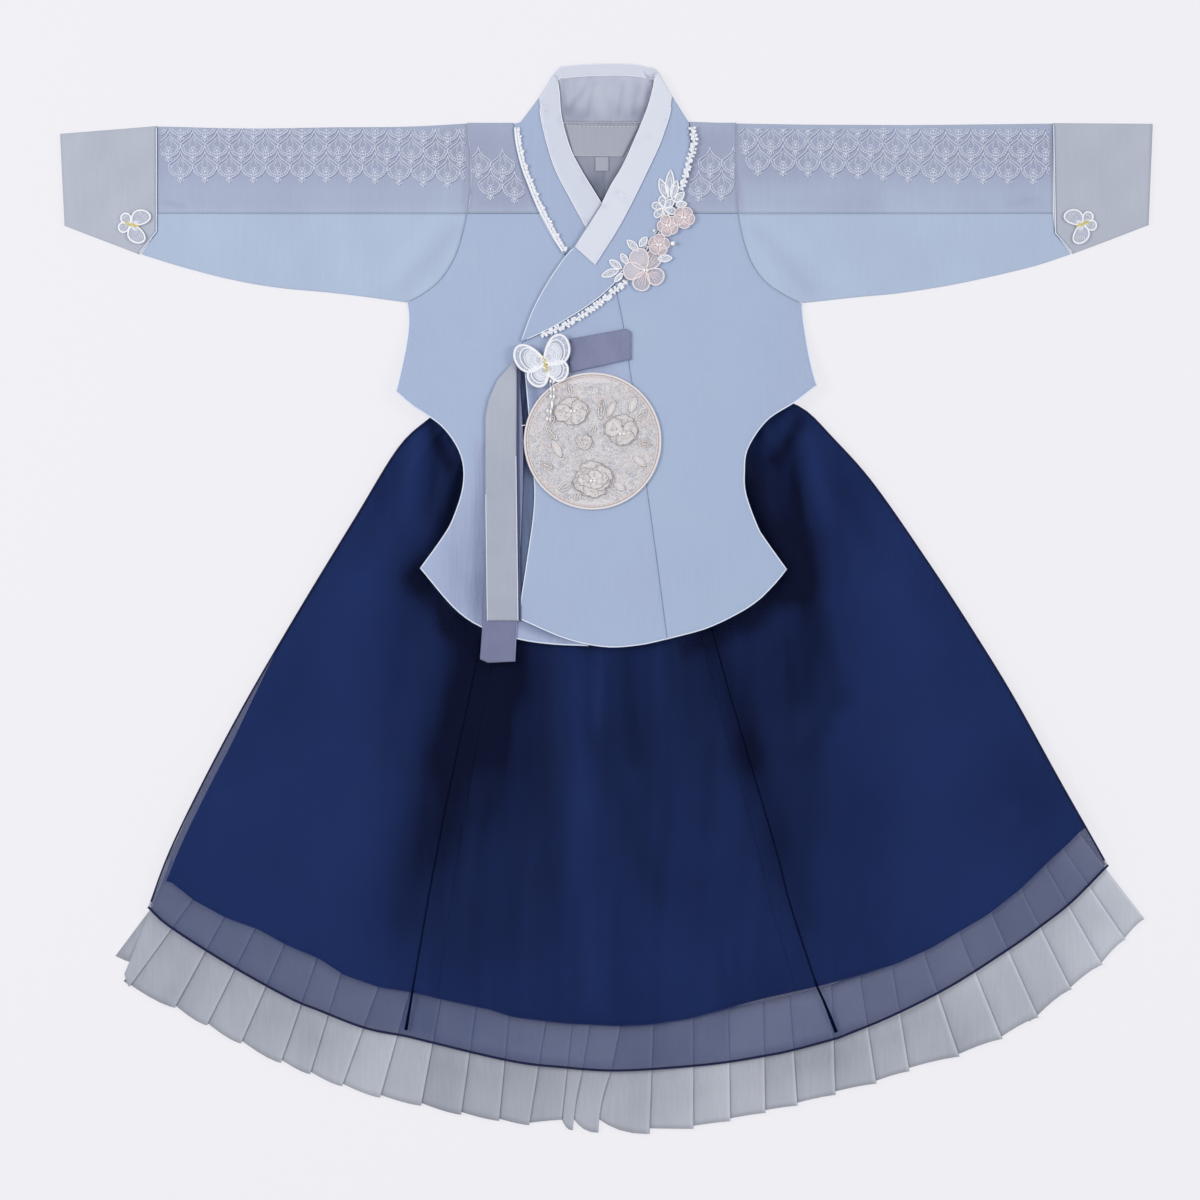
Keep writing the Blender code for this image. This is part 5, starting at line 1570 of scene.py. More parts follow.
class Cut:
    """The jacket's cutting lines, in plan."""

    YOKE_Y = 289.0
    NECK_Y = 357.5
    SHOULDER_Y = 357.0
    LEFT_ARMHOLE = ((-104.3, 356), (-101.6, 333), (-101.3, 304.5), (-104, 289))
    LEFT_SCYE = (
        (-104, 289), (-107.7, 273), (-113.4, 255.8), (-123.5, 240), (-135, 230), (-149, 222.2),
    )
    RIGHT_ARMHOLE = ((97.7, 356), (97.7, 318.8), (99, 289))
    RIGHT_SCYE = (
        (99, 289), (102.4, 271.4), (108.8, 252.8), (118.9, 238.4), (131.8, 229), (147, 221.2),
    )
    LEFT_SIDE = ((-149, 222.2), (-147.9, 207), (-150.4, 186), (-157, 155))
    LEFT_VENT = (
        (-157, 155), (-144.6, 144.3), (-122.3, 128.7), (-108.6, 107.6), (-106.8, 85), (-114.6, 59.5),
        (-123.4, 44.3), (-138.8, 23),
    )
    LEFT_HEM = (
        (-138.8, 23), (-113.7, -6.5), (-93.9, -20.6), (-67.7, -29.5), (-42, -33.6), (-13.2, -35),
    )
    RIGHT_SIDE = ((147, 221.2), (148.6, 205), (153, 178), (157.7, 159.5))
    RIGHT_VENT = (
        (157.7, 159.5), (141.2, 147), (120.3, 133.4), (106, 112.5), (103.6, 95.5), (104.6, 78.5),
        (113.4, 54), (119.2, 44.3), (135, 22.2),
    )
    RIGHT_HEM = (
        (135, 22.2), (128.7, 14.2), (122, 6.9), (115.4, 0.4), (101.7, -9.2), (75.8, -21.7), (45.8, -30),
    )
    OVERLAP_HEM = ((45.8, -30), (24.2, -34.5), (-1, -35.8), (-30.5, -29.5), (-64.2, -15.1))
    OVERLAP_EDGE = (
        (-64.2, -15.1), (-64.2, -5), (-59.2, 28), (-53.6, 72), (-55.5, 110), (-62.6, 192),
    )
    OVERLAP_SEAM = ((6.2, 236.4), (12.3, 209), (19, 164), (30.2, 85), (36, 44), (45.8, -30))
    COLLAR_TOP = (
        (-64, 357.5), (-50.3, 376), (-36.6, 397), (-29.7, 399.6), (-8.2, 401.2), (17.6, 401.2), (31.4, 399),
        (38.3, 396), (49.5, 377), (61.6, 357.5),
    )
    NECK_LEFT = (
        (-36.6, 391), (-34.9, 379), (-33.2, 360.7), (-27.2, 339), (-19.4, 322.8), (-3, 296),
    )
    NECK_RIGHT = (
        (36.6, 392.6), (35.3, 383), (29.7, 364), (14.3, 328), (3.9, 310), (-3, 296),
    )
    WHITE_LEFT = ((-50.3, 374.8), (-47.4, 354.7), (-38.8, 324.5), (-27.3, 301.6), (-14.4, 278))
    WHITE_RIGHT = (
        (49.5, 376.2), (47.8, 364), (43.5, 350.4), (36.6, 333), (12.5, 284.3), (-8.6, 250.2),
    )
    INNER_EDGE = (
        (-69, 356), (-66.8, 339), (-61.7, 318.8), (-51.7, 293), (-41.7, 273), (-31.5, 258.6),
    )
    OUTER_UPPER = ((-23.7, 263.6), (-30.2, 257), (-43, 238.4), (-54.6, 217), (-63.2, 194.3))
    OUTER_LOWER = (
        (-63.2, 192.2), (-39.4, 203.7), (-12.7, 220.2), (6.2, 236.4), (34, 269), (57, 307), (63.5, 331),
        (62, 357.5),
    )
    LEFT_SLEEVE_TOP = ((-104.3, 356.4), (-145.5, 354.2), (-199.5, 353.6), (-267, 352.7), (-336, 354.2))
    LEFT_UNDERARM = (
        (-149, 221.8), (-199.5, 228.5), (-245, 233), (-281, 239.3), (-317, 248.7), (-348.8, 258.6),
    )
    RIGHT_SLEEVE_TOP = ((97.7, 356.4), (160, 355.6), (240, 355.4), (334.6, 356.4))
    RIGHT_UNDERARM = (
        (147, 221.2), (190.5, 226), (220, 228.9), (264.7, 236.3), (316.5, 248.3), (348.8, 258.6),
    )
    LEFT_CUFF = ((-336.5, 354.4), (-409, 348.5), (-405.8, 280), (-349.2, 258.3), (-336.5, 275.3))
    RIGHT_CUFF = ((335, 356.6), (409.7, 356), (406.7, 280.5), (349.1, 258.6), (336.5, 274.1))


def piping_and_highlight(
    name: str, lines: Sequence[tuple[Points, Height, float]], radius: float, finish: Finish, slot: str,
) -> None:
    """Makes a fine cord along cloth edges.

    Args:
        name: The piece's name.
        lines: Each cord's plan line, what it lies on, and how far above that its middle is.
        radius: The cord's radius.
        finish: Its finish.
        slot: The record's material slot.
    """
    parts = Parts()
    for line, height, above in lines:
        parts.cord(line, height, above, radius, closed=False)
    dress(parts.made(name), finish, slot)


def shifted(line: Points, towards: tuple[float, float], by: float) -> Points:
    """Moves an open plan line sideways.

    Args:
        line: The line.
        towards: A place on the side that it moves to.
        by: How far.

    Returns:
        The moved line.
    """
    ahead = unit(np.gradient(line, axis=0))
    side = np.column_stack([ahead[:, 1], -ahead[:, 0]])
    nearest = int(np.argmin(np.linalg.norm(line - towards, axis=1)))
    sign = 1.0 if np.dot(side[nearest], np.array(towards) - line[nearest]) > 0 else -1.0
    return line + side * sign * by


@dataclass
class Jacket:
    """The jacket's body: back, two fronts, the panel that crosses over, and the shoulder panels."""

    lie: Lie
    cloth_mm: float = 0.9
    seam_mm: float = 0.06
    piping_mm: float = 0.55
    # Where the back's hem crosses behind, and how far the inner front runs on under the overlap panel.
    back_hem: tuple = ((-13.2, -33.4), (20, -33.4), (45.8, -28.8))
    inner_end: tuple = ((-13.2, -34.7), (44, -30))
    hidden: tuple = ((44, -26), (44, 210), (-31.5, 258.6))
    # A place inside the body, which its edge cords are drawn in towards.
    body: tuple[float, float] = (0.0, 110.0)
    # Soft shadows: beside the ribbon and past its end, and between the ribbons' knot and the roundel.
    #  x0, y0, x1, y1, width, amount
    inner_shadows: tuple = (
        (-93.8, 112, -93.8, -19.5, 6.5, -0.8), (-110, 62, -110, 2, 21, -0.8), (-95, 10, -96, -18, 11, -0.4),
        (-68, -14, -22, -31, 8, -1.4),
    )
    overlap_shadows: tuple = ((-60, 175, -2, 177, 8, -1.1), (-55, 170, -52.5, 140, 6.5, -1))

    def build(self) -> None:
        """Makes the body's panels, a painted shadow beside the overlap's edge, and the cords along their
        edges.
        """
        counts, yoke = (14, 10, 36), Cut.YOKE_Y
        left_cuts = (Cut.LEFT_SCYE, Cut.LEFT_SIDE, Cut.LEFT_VENT)
        right_cuts = (Cut.RIGHT_SCYE, Cut.RIGHT_SIDE, Cut.RIGHT_VENT)
        left, right = ([smooth_line(*part) for part in zip(cuts, counts)] for cuts in (left_cuts, right_cuts))
        left_hem, right_hem = smooth_line(Cut.LEFT_HEM, 24), smooth_line(Cut.RIGHT_HEM, 16)
        overlap_hem, overlap_edge = smooth_line(Cut.OVERLAP_HEM, 22), smooth_line(Cut.OVERLAP_EDGE, 30)
        seam, collar_low = smooth_line(Cut.OVERLAP_SEAM, 30), smooth_line(Cut.OUTER_LOWER, 40)
        inner_edge = smooth_line(Cut.INNER_EDGE, 24)
        left_end, right_end = ([(at_height(edge, yoke), yoke)] for edge in (Cut.INNER_EDGE, Cut.OUTER_LOWER))
        seam_top = [Cut.OVERLAP_SEAM[0]]
        plain, crossed = self.lie.ply(1), self.lie.ply(1, True)

        back = joined(
            *left, left_hem, self.back_hem, right_hem[::-1], *[part[::-1] for part in right[::-1]],
            [(Cut.RIGHT_SCYE[0][0], yoke)], right_end, collar_low[collar_low[:, 1] > yoke],
            inner_edge[inner_edge[:, 1] > yoke], left_end, [(Cut.LEFT_SCYE[0][0], yoke)],
        )
        flat = self.lie.ply(0, creased=0.0)
        lay("jacket_back_cloth", back, flat, BLUE_CLOTH, "jacket_back", ["skirt_lining"], 0.5, spacing=7.0)
        below = inner_edge[inner_edge[:, 1] < yoke - 1]
        inner = joined(*left, left_hem, self.inner_end, self.hidden, below[::-1], left_end)
        lay(
            "inner_front_cloth", inner, plain, BLUE_CLOTH, "inner_front", ["jacket_back_cloth"], self.seam_mm,
            tone=lambda x, y: self.shade(x, y) + Strokes(self.inner_shadows).at(x, y),
        )
        overlap = joined(overlap_hem, overlap_edge, collar_low[collar_low[:, 0] < 6.0], seam_top, seam)
        lay(
            "overlap_panel_cloth", overlap, crossed, BLUE_CLOTH, "overlap_panel", ["inner_front_cloth"],
            self.seam_mm, spacing=3.2,
            tone=lambda x, y: self.shade(x, y) - 0.12 + Strokes(self.overlap_shadows).at(x, y),
        )
        high = collar_low[(collar_low[:, 0] > 7.5) & (collar_low[:, 1] < yoke - 1)]
        outer = joined(seam[::-1], seam_top, high, right_end, *right, right_hem)
        lay(
            "outer_front_cloth", outer, crossed, BLUE_CLOTH, "outer_front", ["inner_front_cloth"],
            self.seam_mm,
            tone=self.shade,
        )
        self.shoulders()

        # Painted shadow: a thin dark sheet on the inner front between the ribbons and the overlap's raised
        # edge.
        under = joined(((-64.0, -13.5), (-64.0, 172.0)), overlap_edge[::-1][2:-1] + (0.8, 0.0))
        height = lambda x, y: plain(x, y) + self.cloth_mm + 0.04
        piece = cut_panel("overlap_edge_painted_shadow", under, height, 0.2, 3.0, 0.1, self.overlap_shadow_tone)
        dress(piece, Finish.SHADED_BLUE, "blue_cloth")
        top = self.cloth_mm * 0.8
        edges = (
            (left[2], plain, 0.3), (left_hem, plain, 0.3),
            (right[2], crossed, 0.3), (right_hem, crossed, 0.3),
            (overlap_hem, crossed, 0.3), (overlap_edge[:-2], crossed, 0.35), (left[1], plain, 0.3),
            (right[1], crossed, 0.3),
        )
        # Pale piping along the edges, made near white as a painted edge highlight.
        cords = [(shifted(line, self.body, by), ply, top) for line, ply, by in edges]
        piping_and_highlight("jacket_edge_piping_and_highlight", cords, self.piping_mm, *BLUE_PIPING)

    @staticmethod
    def overlap_shadow_tone(x: Points, y: Points) -> Points:
        """Gives the painted shadow by the overlap's edge its tone: dark where the ribbon lies close, paler
        further down.
        """
        high = ramp(y, 84.0, 104.0)
        return 0.66 - 0.56 * high + 0.06 * ramp(x, -61.5, -55.0) * (1 - high)

    @staticmethod
    def shade(x: Points, y: Points) -> Points:
        """Gives the body's tone: deeper towards the sides, uneven, and painted shade below the collar's edge.
        """
        sides = ramp(np.abs(x + 2), 90.0, 150.0)
        flat = np.column_stack([np.ravel(x), np.ravel(y)])
        gone = distance_to(flat, np.array(Cut.OUTER_LOWER)).reshape(np.shape(x))
        return 0.56 - 0.12 * sides + 0.06 * ripple(x, y, 120.0, 21) - 0.10 * np.exp(-((gone / 14) ** 2))

    def shoulders(self) -> None:
        """Makes the shoulder panels, folded over the shoulder line from front to back."""
        fold, low = Cut.SHOULDER_Y - (PLY + WALL) / 2, Cut.YOKE_Y + self.seam_mm
        rows = low + (fold - low) * np.linspace(0, 1, 22)
        for side, armhole, collar, order in (
            ("left", Cut.LEFT_ARMHOLE, Cut.INNER_EDGE, -1), ("right", Cut.RIGHT_ARMHOLE, Cut.OUTER_LOWER, 1),
        ):
            near = np.array([at_height(collar, y) for y in rows])
            far = np.array([at_height(armhole, y) for y in rows]) - order * self.seam_mm
            shares = np.linspace(0, 1, 16)
            plan = np.array([np.column_stack([near * (1 - s) + far * s, rows]) for s in shares])
            top = self.lie.ply(1, order > 0)(plan[..., 0], plan[..., 1]) + WALL / 2
            grid = folded(plan, WALL / 2, top)[::-order]
            tone = upper_shade(grid[..., 0], grid[..., 1])
            piece = grid_cloth(f"shoulder_{side}_cloth", grid, self.cloth_mm, tone, middle=True)
            dress(
                piece, Finish.LAVENDER, "lavender_cloth", f"shoulder_{side}", sheet=(rim_of(plan), 2),
                held="folded",
            )


# Painted shade and highlight of the sleeves' soft folds: x0, y0, x1, y1, width, amount.
SLEEVE_FOLDS = (
    (-152, 232, -113, 277, 6.5, -0.42), (-168, 240, -130, 282, 8, 0.14), (-330, 297, -316, 294, 2, -0.5),
    (-240, 236, -210, 270, 10, -0.10), (152, 232, 112, 277, 6.5, -0.42), (168, 240, 130, 282, 8, 0.14),
    (240, 238, 214, 272, 10, -0.10), (322, 300, 302, 296, 2.5, -0.4),
)


def upper_shade(x: Points, y: Points) -> Points:
    """Gives the lavender cloth's tone: deeper behind the embroidery, bluer by the yoke seam, folds painted in
    shade and highlight.
    """
    inner = (x > -108.0) & (x < 103.0)
    low = np.where(inner, 300.0, np.where(x < 0, 318.0, 316.0))
    worked = ramp(y, low - 14.0, low + 9.0) * (1 - ramp(y, np.where(inner, 342.0, 344.0), 358.0))
    tone = np.where(inner, 0.56, 0.66) - np.where(inner, 0.22, 0.36) * worked
    tone = tone + 0.14 * (1 - ramp(y, 289.0, 296.0)) + 0.08 * ripple(x, y, 45.0, 14)
    return np.clip(tone + Strokes(SLEEVE_FOLDS).at(x, y) * 0.5, 0, 1)


@dataclass
class Sleeves:
    """Both sleeves, each a lavender upper half, a blue lower half and a grey cuff."""

    lie: Lie
    cloth_mm: float = 0.9
    gap: float = 0.06
    piping_mm: float = 0.45
    heel_back: float = 1.6
    cuff_step: float = 0.35
    shades: ClassVar[dict[Finish, Callable[[Points, Points], Points]]] = {
        Finish.LAVENDER: upper_shade,
        # The lower halves: paler inwards, uneven, and the folds' painted shade and highlight.
        Finish.SLEEVE_BLUE: lambda x, y: (
            0.6 - 0.16 * ramp(np.abs(x), 100.0, 340.0)
            + 0.1 * ripple(x, y, 60.0, 15) + Strokes(SLEEVE_FOLDS).at(x, y)
        ),
        Finish.GREY: lambda x, y: 0.62 + 0.12 * ripple(x, y, 40.0, 16),
    }

    def build(self) -> None:
        """Makes the two sleeves."""
        self.sleeve(
            "left", Cut.LEFT_SLEEVE_TOP, Cut.LEFT_UNDERARM, Cut.LEFT_ARMHOLE, Cut.LEFT_SCYE, Cut.LEFT_CUFF,
        )
        self.sleeve(
            "right", Cut.RIGHT_SLEEVE_TOP, Cut.RIGHT_UNDERARM, Cut.RIGHT_ARMHOLE, Cut.RIGHT_SCYE,
            Cut.RIGHT_CUFF,
        )

    def half(
        self, name: str, grid: Points, finish: Finish, slot: str, node: str, turned: bool, both: bool = False,
        step: float = 0.0,
    ) -> None:
        """Makes one doubled cloth of a sleeve.

        Args:
            name: The piece's name.
            grid: Its front's plan, [across][down to the fold].
            finish: Its finish.
            slot: The record's material slot.
            node: The frame's node it stands for.
            turned: Whether the columns run the other way round.
            both: Whether it closes into a flat tube.
            step: How much higher its front lies.
        """
        top = self.lie.ply(1)(grid[..., 0], grid[..., 1]) + WALL / 2 + step
        sections = folded(grid, WALL / 2, top, both)[:: 1 if turned else -1]
        tone = self.shades[finish](sections[..., 0], sections[..., 1])
        piece = grid_cloth(name, sections, self.cloth_mm, tone, both, middle=True)
        dress(piece, finish, slot, node, sheet=(rim_of(grid), 2), held="folded")

    def sleeve(self, side: str, top: tuple, under: tuple, armhole: tuple, scye: tuple, cuff: tuple) -> None:
        """Makes one sleeve.

        Args:
            side: Which sleeve.
            top: The fold on top.
            under: The curve under the arm.
            armhole: The seam to the shoulder.
            scye: The seam to the body.
            cuff: The cuff's corners.
        """
        sign = -1 if side == "left" else 1
        edge = (PLY + WALL) / 2
        wrist = cuff[0][0]
        fold = smooth_line(top, 90) - (0, edge)
        start = even_line(np.array(armhole), 26)[::-1] + (sign * self.gap, 0)
        start[0] = (start[0][0], Cut.YOKE_Y + self.gap)
        start[-1] = (start[-1][0], fold[0][1])
        fold[0] = start[-1]
        fold[-1] = (wrist, fold[-1][1])
        end = even_line(np.array(((wrist, Cut.YOKE_Y + self.gap), (wrist, fold[-1][1]))), 26)
        seam = even_line(np.array((start[0], end[0])), 90)
        upper = patch(seam, fold, start, end)
        name = f"sleeve_{side}_upper"
        self.half(f"{name}_cloth", upper, Finish.LAVENDER, "lavender_cloth", name, sign < 0)

        bottom = smooth_line(under, 90) + (0, edge)
        start = smooth_line(scye, 30) + (sign * self.gap, 0)
        start[0] = (start[0][0], Cut.YOKE_Y - self.gap)
        bottom[0] = start[-1] = (bottom[0][0] + sign * self.gap, bottom[0][1])
        knee, heel = np.array(cuff[4]), np.array(cuff[3]) - (sign * self.heel_back, -edge)
        corner = even_line(np.array(((wrist, Cut.YOKE_Y - self.gap), knee)), 14)
        end = np.vstack([corner, even_line(np.array((knee, heel)), 17)[1:]])
        bottom[-1] = end[-1] = heel
        seam = even_line(np.array((start[0], end[0])), 90)
        lower = patch(seam, bottom, start, end)
        name = f"sleeve_{side}_lower"
        self.half(f"{name}_cloth", lower, Finish.SLEEVE_BLUE, "blue_cloth", name, sign > 0)

        top_corner, wrist_top, wrist_low, heel, knee = (np.array(point) for point in cuff)
        lift = np.array((0, edge))
        wrist_line = even_line(np.array((wrist_top - lift, wrist_low + lift)), 24)
        corner = even_line(np.array((top_corner - lift, knee)), 16)
        seam_side = np.vstack([corner, even_line(np.array((knee, heel + lift)), 9)[1:]])
        cuff_top = even_line(np.array((seam_side[0], wrist_line[0])), 24)
        cuff_low = even_line(np.array((seam_side[-1], wrist_line[-1])), 24)
        grid = patch(cuff_top, cuff_low, seam_side, wrist_line)
        name, node = f"cuff_{side}_cloth", f"cuff_{side}"
        self.half(name, grid, Finish.GREY, "grey_cloth", node, sign > 0, True, self.cuff_step)
        # Pale piping along the cuff's seam, made near white as a painted edge highlight.
        cord = (seam_side + (sign * 0.4, 0), self.lie.ply(2), 0.2 + self.cuff_step)
        piping_and_highlight(f"cuff_{side}_piping", [cord], self.piping_mm, *BLUE_PIPING)


@dataclass
class Collar:
    """The collar: its lining inside the neck, two bands that cross, and their white satin strips."""

    lie: Lie
    cloth_mm: float = 0.95
    #  x0, y0, x1, y1, width, amount
    lining_creases: tuple = (
        (-32, 366, -14, 388, 4, 0.7), (-22, 362, 2, 392, 3.5, 0.6), (0, 364, -6, 390, 4, 0.55),
        (12, 362, 20, 394, 4.5, 0.6), (22, 366, 32, 390, 3, 0.7), (-34, 392, -26, 372, 2.5, 0.6),
        (28, 396, 34, 386, 2, 0.8), (-10, 372, 14, 376, 5, 0.35), (-20, 380, 22, 384, 6, 0.3),
    )
    rim_mm: float = 9.0
    piping_mm: float = 0.45
    white_highlight_mm: float = 0.42
    # Painted shade and highlight of the lining's folds: x0, y0, x1, y1, width, amount.
    lining_folds: ClassVar[tuple] = (
        (-33, 389, -31, 366, 2.6, -0.45), (33, 389, 30, 368, 2.6, -0.5), (-28, 366, -15, 384, 2.4, -0.3),
        (-14, 363, -9, 386, 1.8, -0.26), (9, 362, 13, 386, 1.8, -0.28), (20, 363, 24, 384, 2.2, -0.3),
        (-4, 362, -2, 388, 4, 0.16), (16, 366, 18, 388, 2.4, 0.14), (-22, 372, -19, 388, 2.4, 0.12),
    )
    # The bands' hidden or crossing ends.
    inner_tail: tuple = ((-14, 262), (-31.5, 258.6))
    outer_end: tuple = ((-23.7, 263.6),)
    label: tuple = ((-24.6, 331.4), (12.8, 331), (25.6, 355), (-30.6, 355.8))
    tab: tuple = ((-8, 320.6), (2, 320.6), (2, 331.4), (-8, 331.4))
    # The label's two rows of stitches, and the short seam below the tab.
    stitch_rows: tuple = (((-29.6, 354.6), (24.8, 354)), ((-23.6, 332.4), (12, 332)))
    middle_seam: tuple = ((-1.6, 320.5), (-1.9, 312), (-2.8, 298.5))

    def build(self) -> None:
        """Makes the collar's cloths."""
        ply, thick = self.lie.ply, self.cloth_mm
        top = smooth_line(Cut.COLLAR_TOP, 60)
        neck_left, neck_right = smooth_line(Cut.NECK_LEFT, 34), smooth_line(Cut.NECK_RIGHT, 36)
        white_left, white_right = smooth_line(Cut.WHITE_LEFT, 30), smooth_line(Cut.WHITE_RIGHT, 36)
        inner_edge = smooth_line(Cut.INNER_EDGE, 30)
        upper_edge, lower_edge = smooth_line(Cut.OUTER_UPPER, 20), smooth_line(Cut.OUTER_LOWER, 50)
        ends = (neck_left[0], neck_right[0], white_left[0], white_right[0])
        start, close, begin, stop = (int(np.argmin(np.linalg.norm(top - end, axis=1))) for end in ends)

        back = joined(top, ((61.6, Cut.NECK_Y), (-64.0, Cut.NECK_Y)))
        flat = ply(0, creased=0.0)
        lay(
            "collar_back_cloth", back, flat, BLUE_CLOTH, "collar_back", edge=0.6, thickness=thick,
            spacing=5.0,
        )
        self.linings(top, neck_left, neck_right)

        inner = joined(top[: start + 1], neck_left, self.inner_tail, inner_edge[::-1])
        outer = joined(lower_edge, top[: close - 1 : -1], neck_right, self.outer_end, upper_edge)
        # The left band takes the darker copy of the satin, as painted shade.
        shaded, satin = (Finish.SHADED_SATIN, "white_satin"), (Finish.SATIN, "white_satin")
        for name, node, outline, level, look, rests_on, spacing, roll, tone in (
            (
                "collar_inner_cloth", "collar_inner", inner, 1, BLUE_CLOTH, [], 3.0, 0.5,
                lambda x, y: 0.42 + 0.1 * ripple(x, y, 50, 4),
            ),
            (
                "white_band_left_satin", "white_band_left",
                joined(top[begin : start + 1], neck_left, white_left[::-1]), 2, shaded,
                ["collar_inner_cloth"], 2.4, 0.55, None,
            ),
            (
                "collar_outer_cloth", "collar_outer", outer, 3, BLUE_CLOTH,
                ["collar_inner_cloth", "outer_front_cloth"], 3.0, 0.55,
                lambda x, y: 0.47 + 0.1 * ripple(x, y, 50, 8),
            ),
            (
                "white_band_right_satin", "white_band_right",
                joined(neck_right, self.outer_end, white_right[::-1], top[close : stop + 1][::-1]), 4, satin,
                ["collar_outer_cloth"], 2.4, 0.55, None,
            ),
        ):
            lay(
                name, outline, ply(level), look, node, rests_on, thickness=thick, spacing=spacing, roll=roll,
                tone=tone,
            )

        edge = thick * 0.7
        # Pale piping along the collar's edges, made near white as a painted edge highlight.
        piping_and_highlight(
            "collar_piping_and_highlight",
            [
                (shifted(upper_edge, (-40.0, 225.0), 0.3), ply(3), edge + 0.1),
                (shifted(lower_edge[1:34], (0.0, 240.0), 0.3), ply(3), edge + 0.1),
                (shifted(inner_edge[2:], (-50.0, 330.0), 0.3), ply(1), edge + 0.1),
            ],
            self.piping_mm, *BLUE_PIPING,
        )
        # Painted highlights along the white bands' edges.
        piping_and_highlight(
            "white_band_edge_highlights",
            [
                (shifted(neck_left[1:], (-40.0, 330.0), 0.1), ply(2), edge + 0.05),
                (shifted(neck_right[1:], (40.0, 345.0), 0.1), ply(4), edge + 0.05),
                (shifted(white_left[2:], (-40.0, 340.0), -0.1), ply(2), edge - 0.1),
                (shifted(white_right[2:], (35.0, 345.0), -0.1), ply(4), edge - 0.1),
            ],
            self.white_highlight_mm, Finish.WHITE_PIPING, "white_satin",
        )

    def wrinkled(self, x: Points, y: Points) -> Points:
        """Gives the height of the collar's lining, which is creased."""
        creases = np.maximum(Strokes(self.lining_creases).at(x, y), 0)
        return PLY + 0.15 + creases * 1.6 + 0.2 * (1 + ripple(x, y, 17.0, 12))

    def linings(self, top: Points, neck_left: Points, neck_right: Points) -> None:
        """Makes the linings inside the neck, the satin rim above them, and the seam between them.

        Args:
            top: The collar's top edge.
            neck_left: The left band's inner edge.
            neck_right: The right band's inner edge.
        """
        seam_left, seam_right = (
            [float(np.interp(-Cut.NECK_Y, -neck[:, 1], neck[:, 0])), Cut.NECK_Y]
            for neck in (neck_left, neck_right)
        )
        high_left, high_right = (neck[neck[:, 1] > Cut.NECK_Y] for neck in (neck_left, neck_right))
        low_left, low_right = (neck[neck[:, 1] < Cut.NECK_Y] for neck in (neck_left, neck_right))
        lining_top = top[np.abs(top[:, 0]) < 36.8]
        outline = joined(high_left[::-1], lining_top, high_right, [seam_right, seam_left])
        lay(
            "collar_lining_cloth", outline, self.wrinkled, (Finish.PALE_LINING, "neck_lining"),
            "collar_lining", ["collar_back_cloth"], thickness=0.6, spacing=1.8, roll=0.3,
            tone=self.lining_shade,
        )
        rim_top = top[(top[:, 0] > -41.2) & (top[:, 0] < 41.4)]
        low = rim_top - (0, self.rim_mm)
        low[:, 0] = np.clip(low[:, 0], -36.2, 36.0)
        rim = joined(rim_top, low[::-1])
        flattened = lambda x, y: self.wrinkled(x, y) * 0.6
        piece = cut_panel("collar_rim_satin", rim, lambda x, y: flattened(x, y) + 1.2, 0.5, 1.8, 0.3)
        dress(piece, Finish.RIM_SATIN, "white_satin")
        # Painted highlights along the rim's edges.
        parts = Parts()
        for line in (low[2:-2], rim_top[2:-2] - (0, 0.4)):
            parts.cord(line, flattened, 1.7, 0.3, False, tone=0.4)
        dress(parts.made("collar_rim_edge_highlights"), Finish.WHITE_PIPING, "white_satin")

        neck = joined([seam_left], low_left, low_right[::-1], [seam_right])
        lay(
            "neck_lining_cloth", neck, self.lie.ply(1, creased=0.4), (Finish.GREY_LINING, "neck_lining"),
            "neck_lining", ["jacket_back_cloth"], thickness=0.6, spacing=2.4, roll=0.2, tone=self.neck_shade,
        )
        seams = Parts()
        line = even_line(np.array((seam_left, seam_right)) - (0, 0.6), 40)
        for i in range(39):
            mid = (line[i] + line[i + 1]) / 2 + (0, 0.25 * math.sin(i * 1.9))
            seams.bead((*mid, PLY + 1.9), 0.6, 0.8, 3, 6, 0.6)
        dress(seams.made("neck_seam"), Finish.SILVER_THREAD, "neck_lining")
        seams = Parts()
        seams.cord(smooth_line(self.middle_seam, 12), lambda x, y: PLY + 0 * x, 1.75, 0.2, False, tone=0.2)
        dress(seams.made("neck_shaded_seams"), Finish.GREY_LINING, "neck_lining")
        self.labels()

    def labels(self) -> None:
        """Makes the bare label and tab, and the label's stitches."""
        ply = self.lie.ply(1)
        bare = (Finish.LABEL, "white_satin")
        label, tab = joined(self.label), joined(self.tab)
        lay(
            "neck_label_bare", label, lambda x, y: ply(x, y) + 0.7, bare, "label", edge=0.4, thickness=0.5,
            spacing=3.0, roll=0.25,
        )
        lay(
            "size_tab_bare", tab, lambda x, y: ply(x, y) + 1.0, bare, "size_tab", thickness=0.5, spacing=2.4,
            roll=0.25,
        )
        stitches = Parts()
        for ends in self.stitch_rows:
            line = even_line(np.array(ends), 37)
            for i in range(0, 36, 2):
                stitches.cord(line[i : i + 2], ply, 1.25, 0.16, False, 4, 0.9)
        dress(stitches.made("label_stitches"), Finish.WHITE_THREAD, "white_satin")

    @staticmethod
    def neck_shade(x: Points, y: Points) -> Points:
        """Gives the neck lining's shade: darker low down, and two-toned each side of its middle seam."""
        deep = 0.58 + 0.3 * ramp(y, 330.0, 352.0) - 0.4 * ramp(330 - y, 0, 30) + 0.12 * ripple(x, y, 22.0, 6)
        return deep + 0.24 * (ramp(x, -5.0, -1.0) - 0.5) * (1 - ramp(y, 322.0, 334.0))

    @staticmethod
    def lining_shade(x: Points, y: Points) -> Points:
        """Gives the collar lining's tone: paler above and in the middle, painted shade in low corners, foot
        and folds.
        """
        low = ramp(384 - y, 0, 26)
        corners = ramp(np.abs(x), 9.0, 27.0) * low
        folds = Strokes(Collar.lining_folds).at(x, y)
        foot = 0.22 * ramp(-y, -373.0, -363.0)
        return np.clip(0.86 - 0.2 * low - 0.3 * corners - foot + folds + 0.1 * ripple(x, y, 13.0, 31), 0, 1)


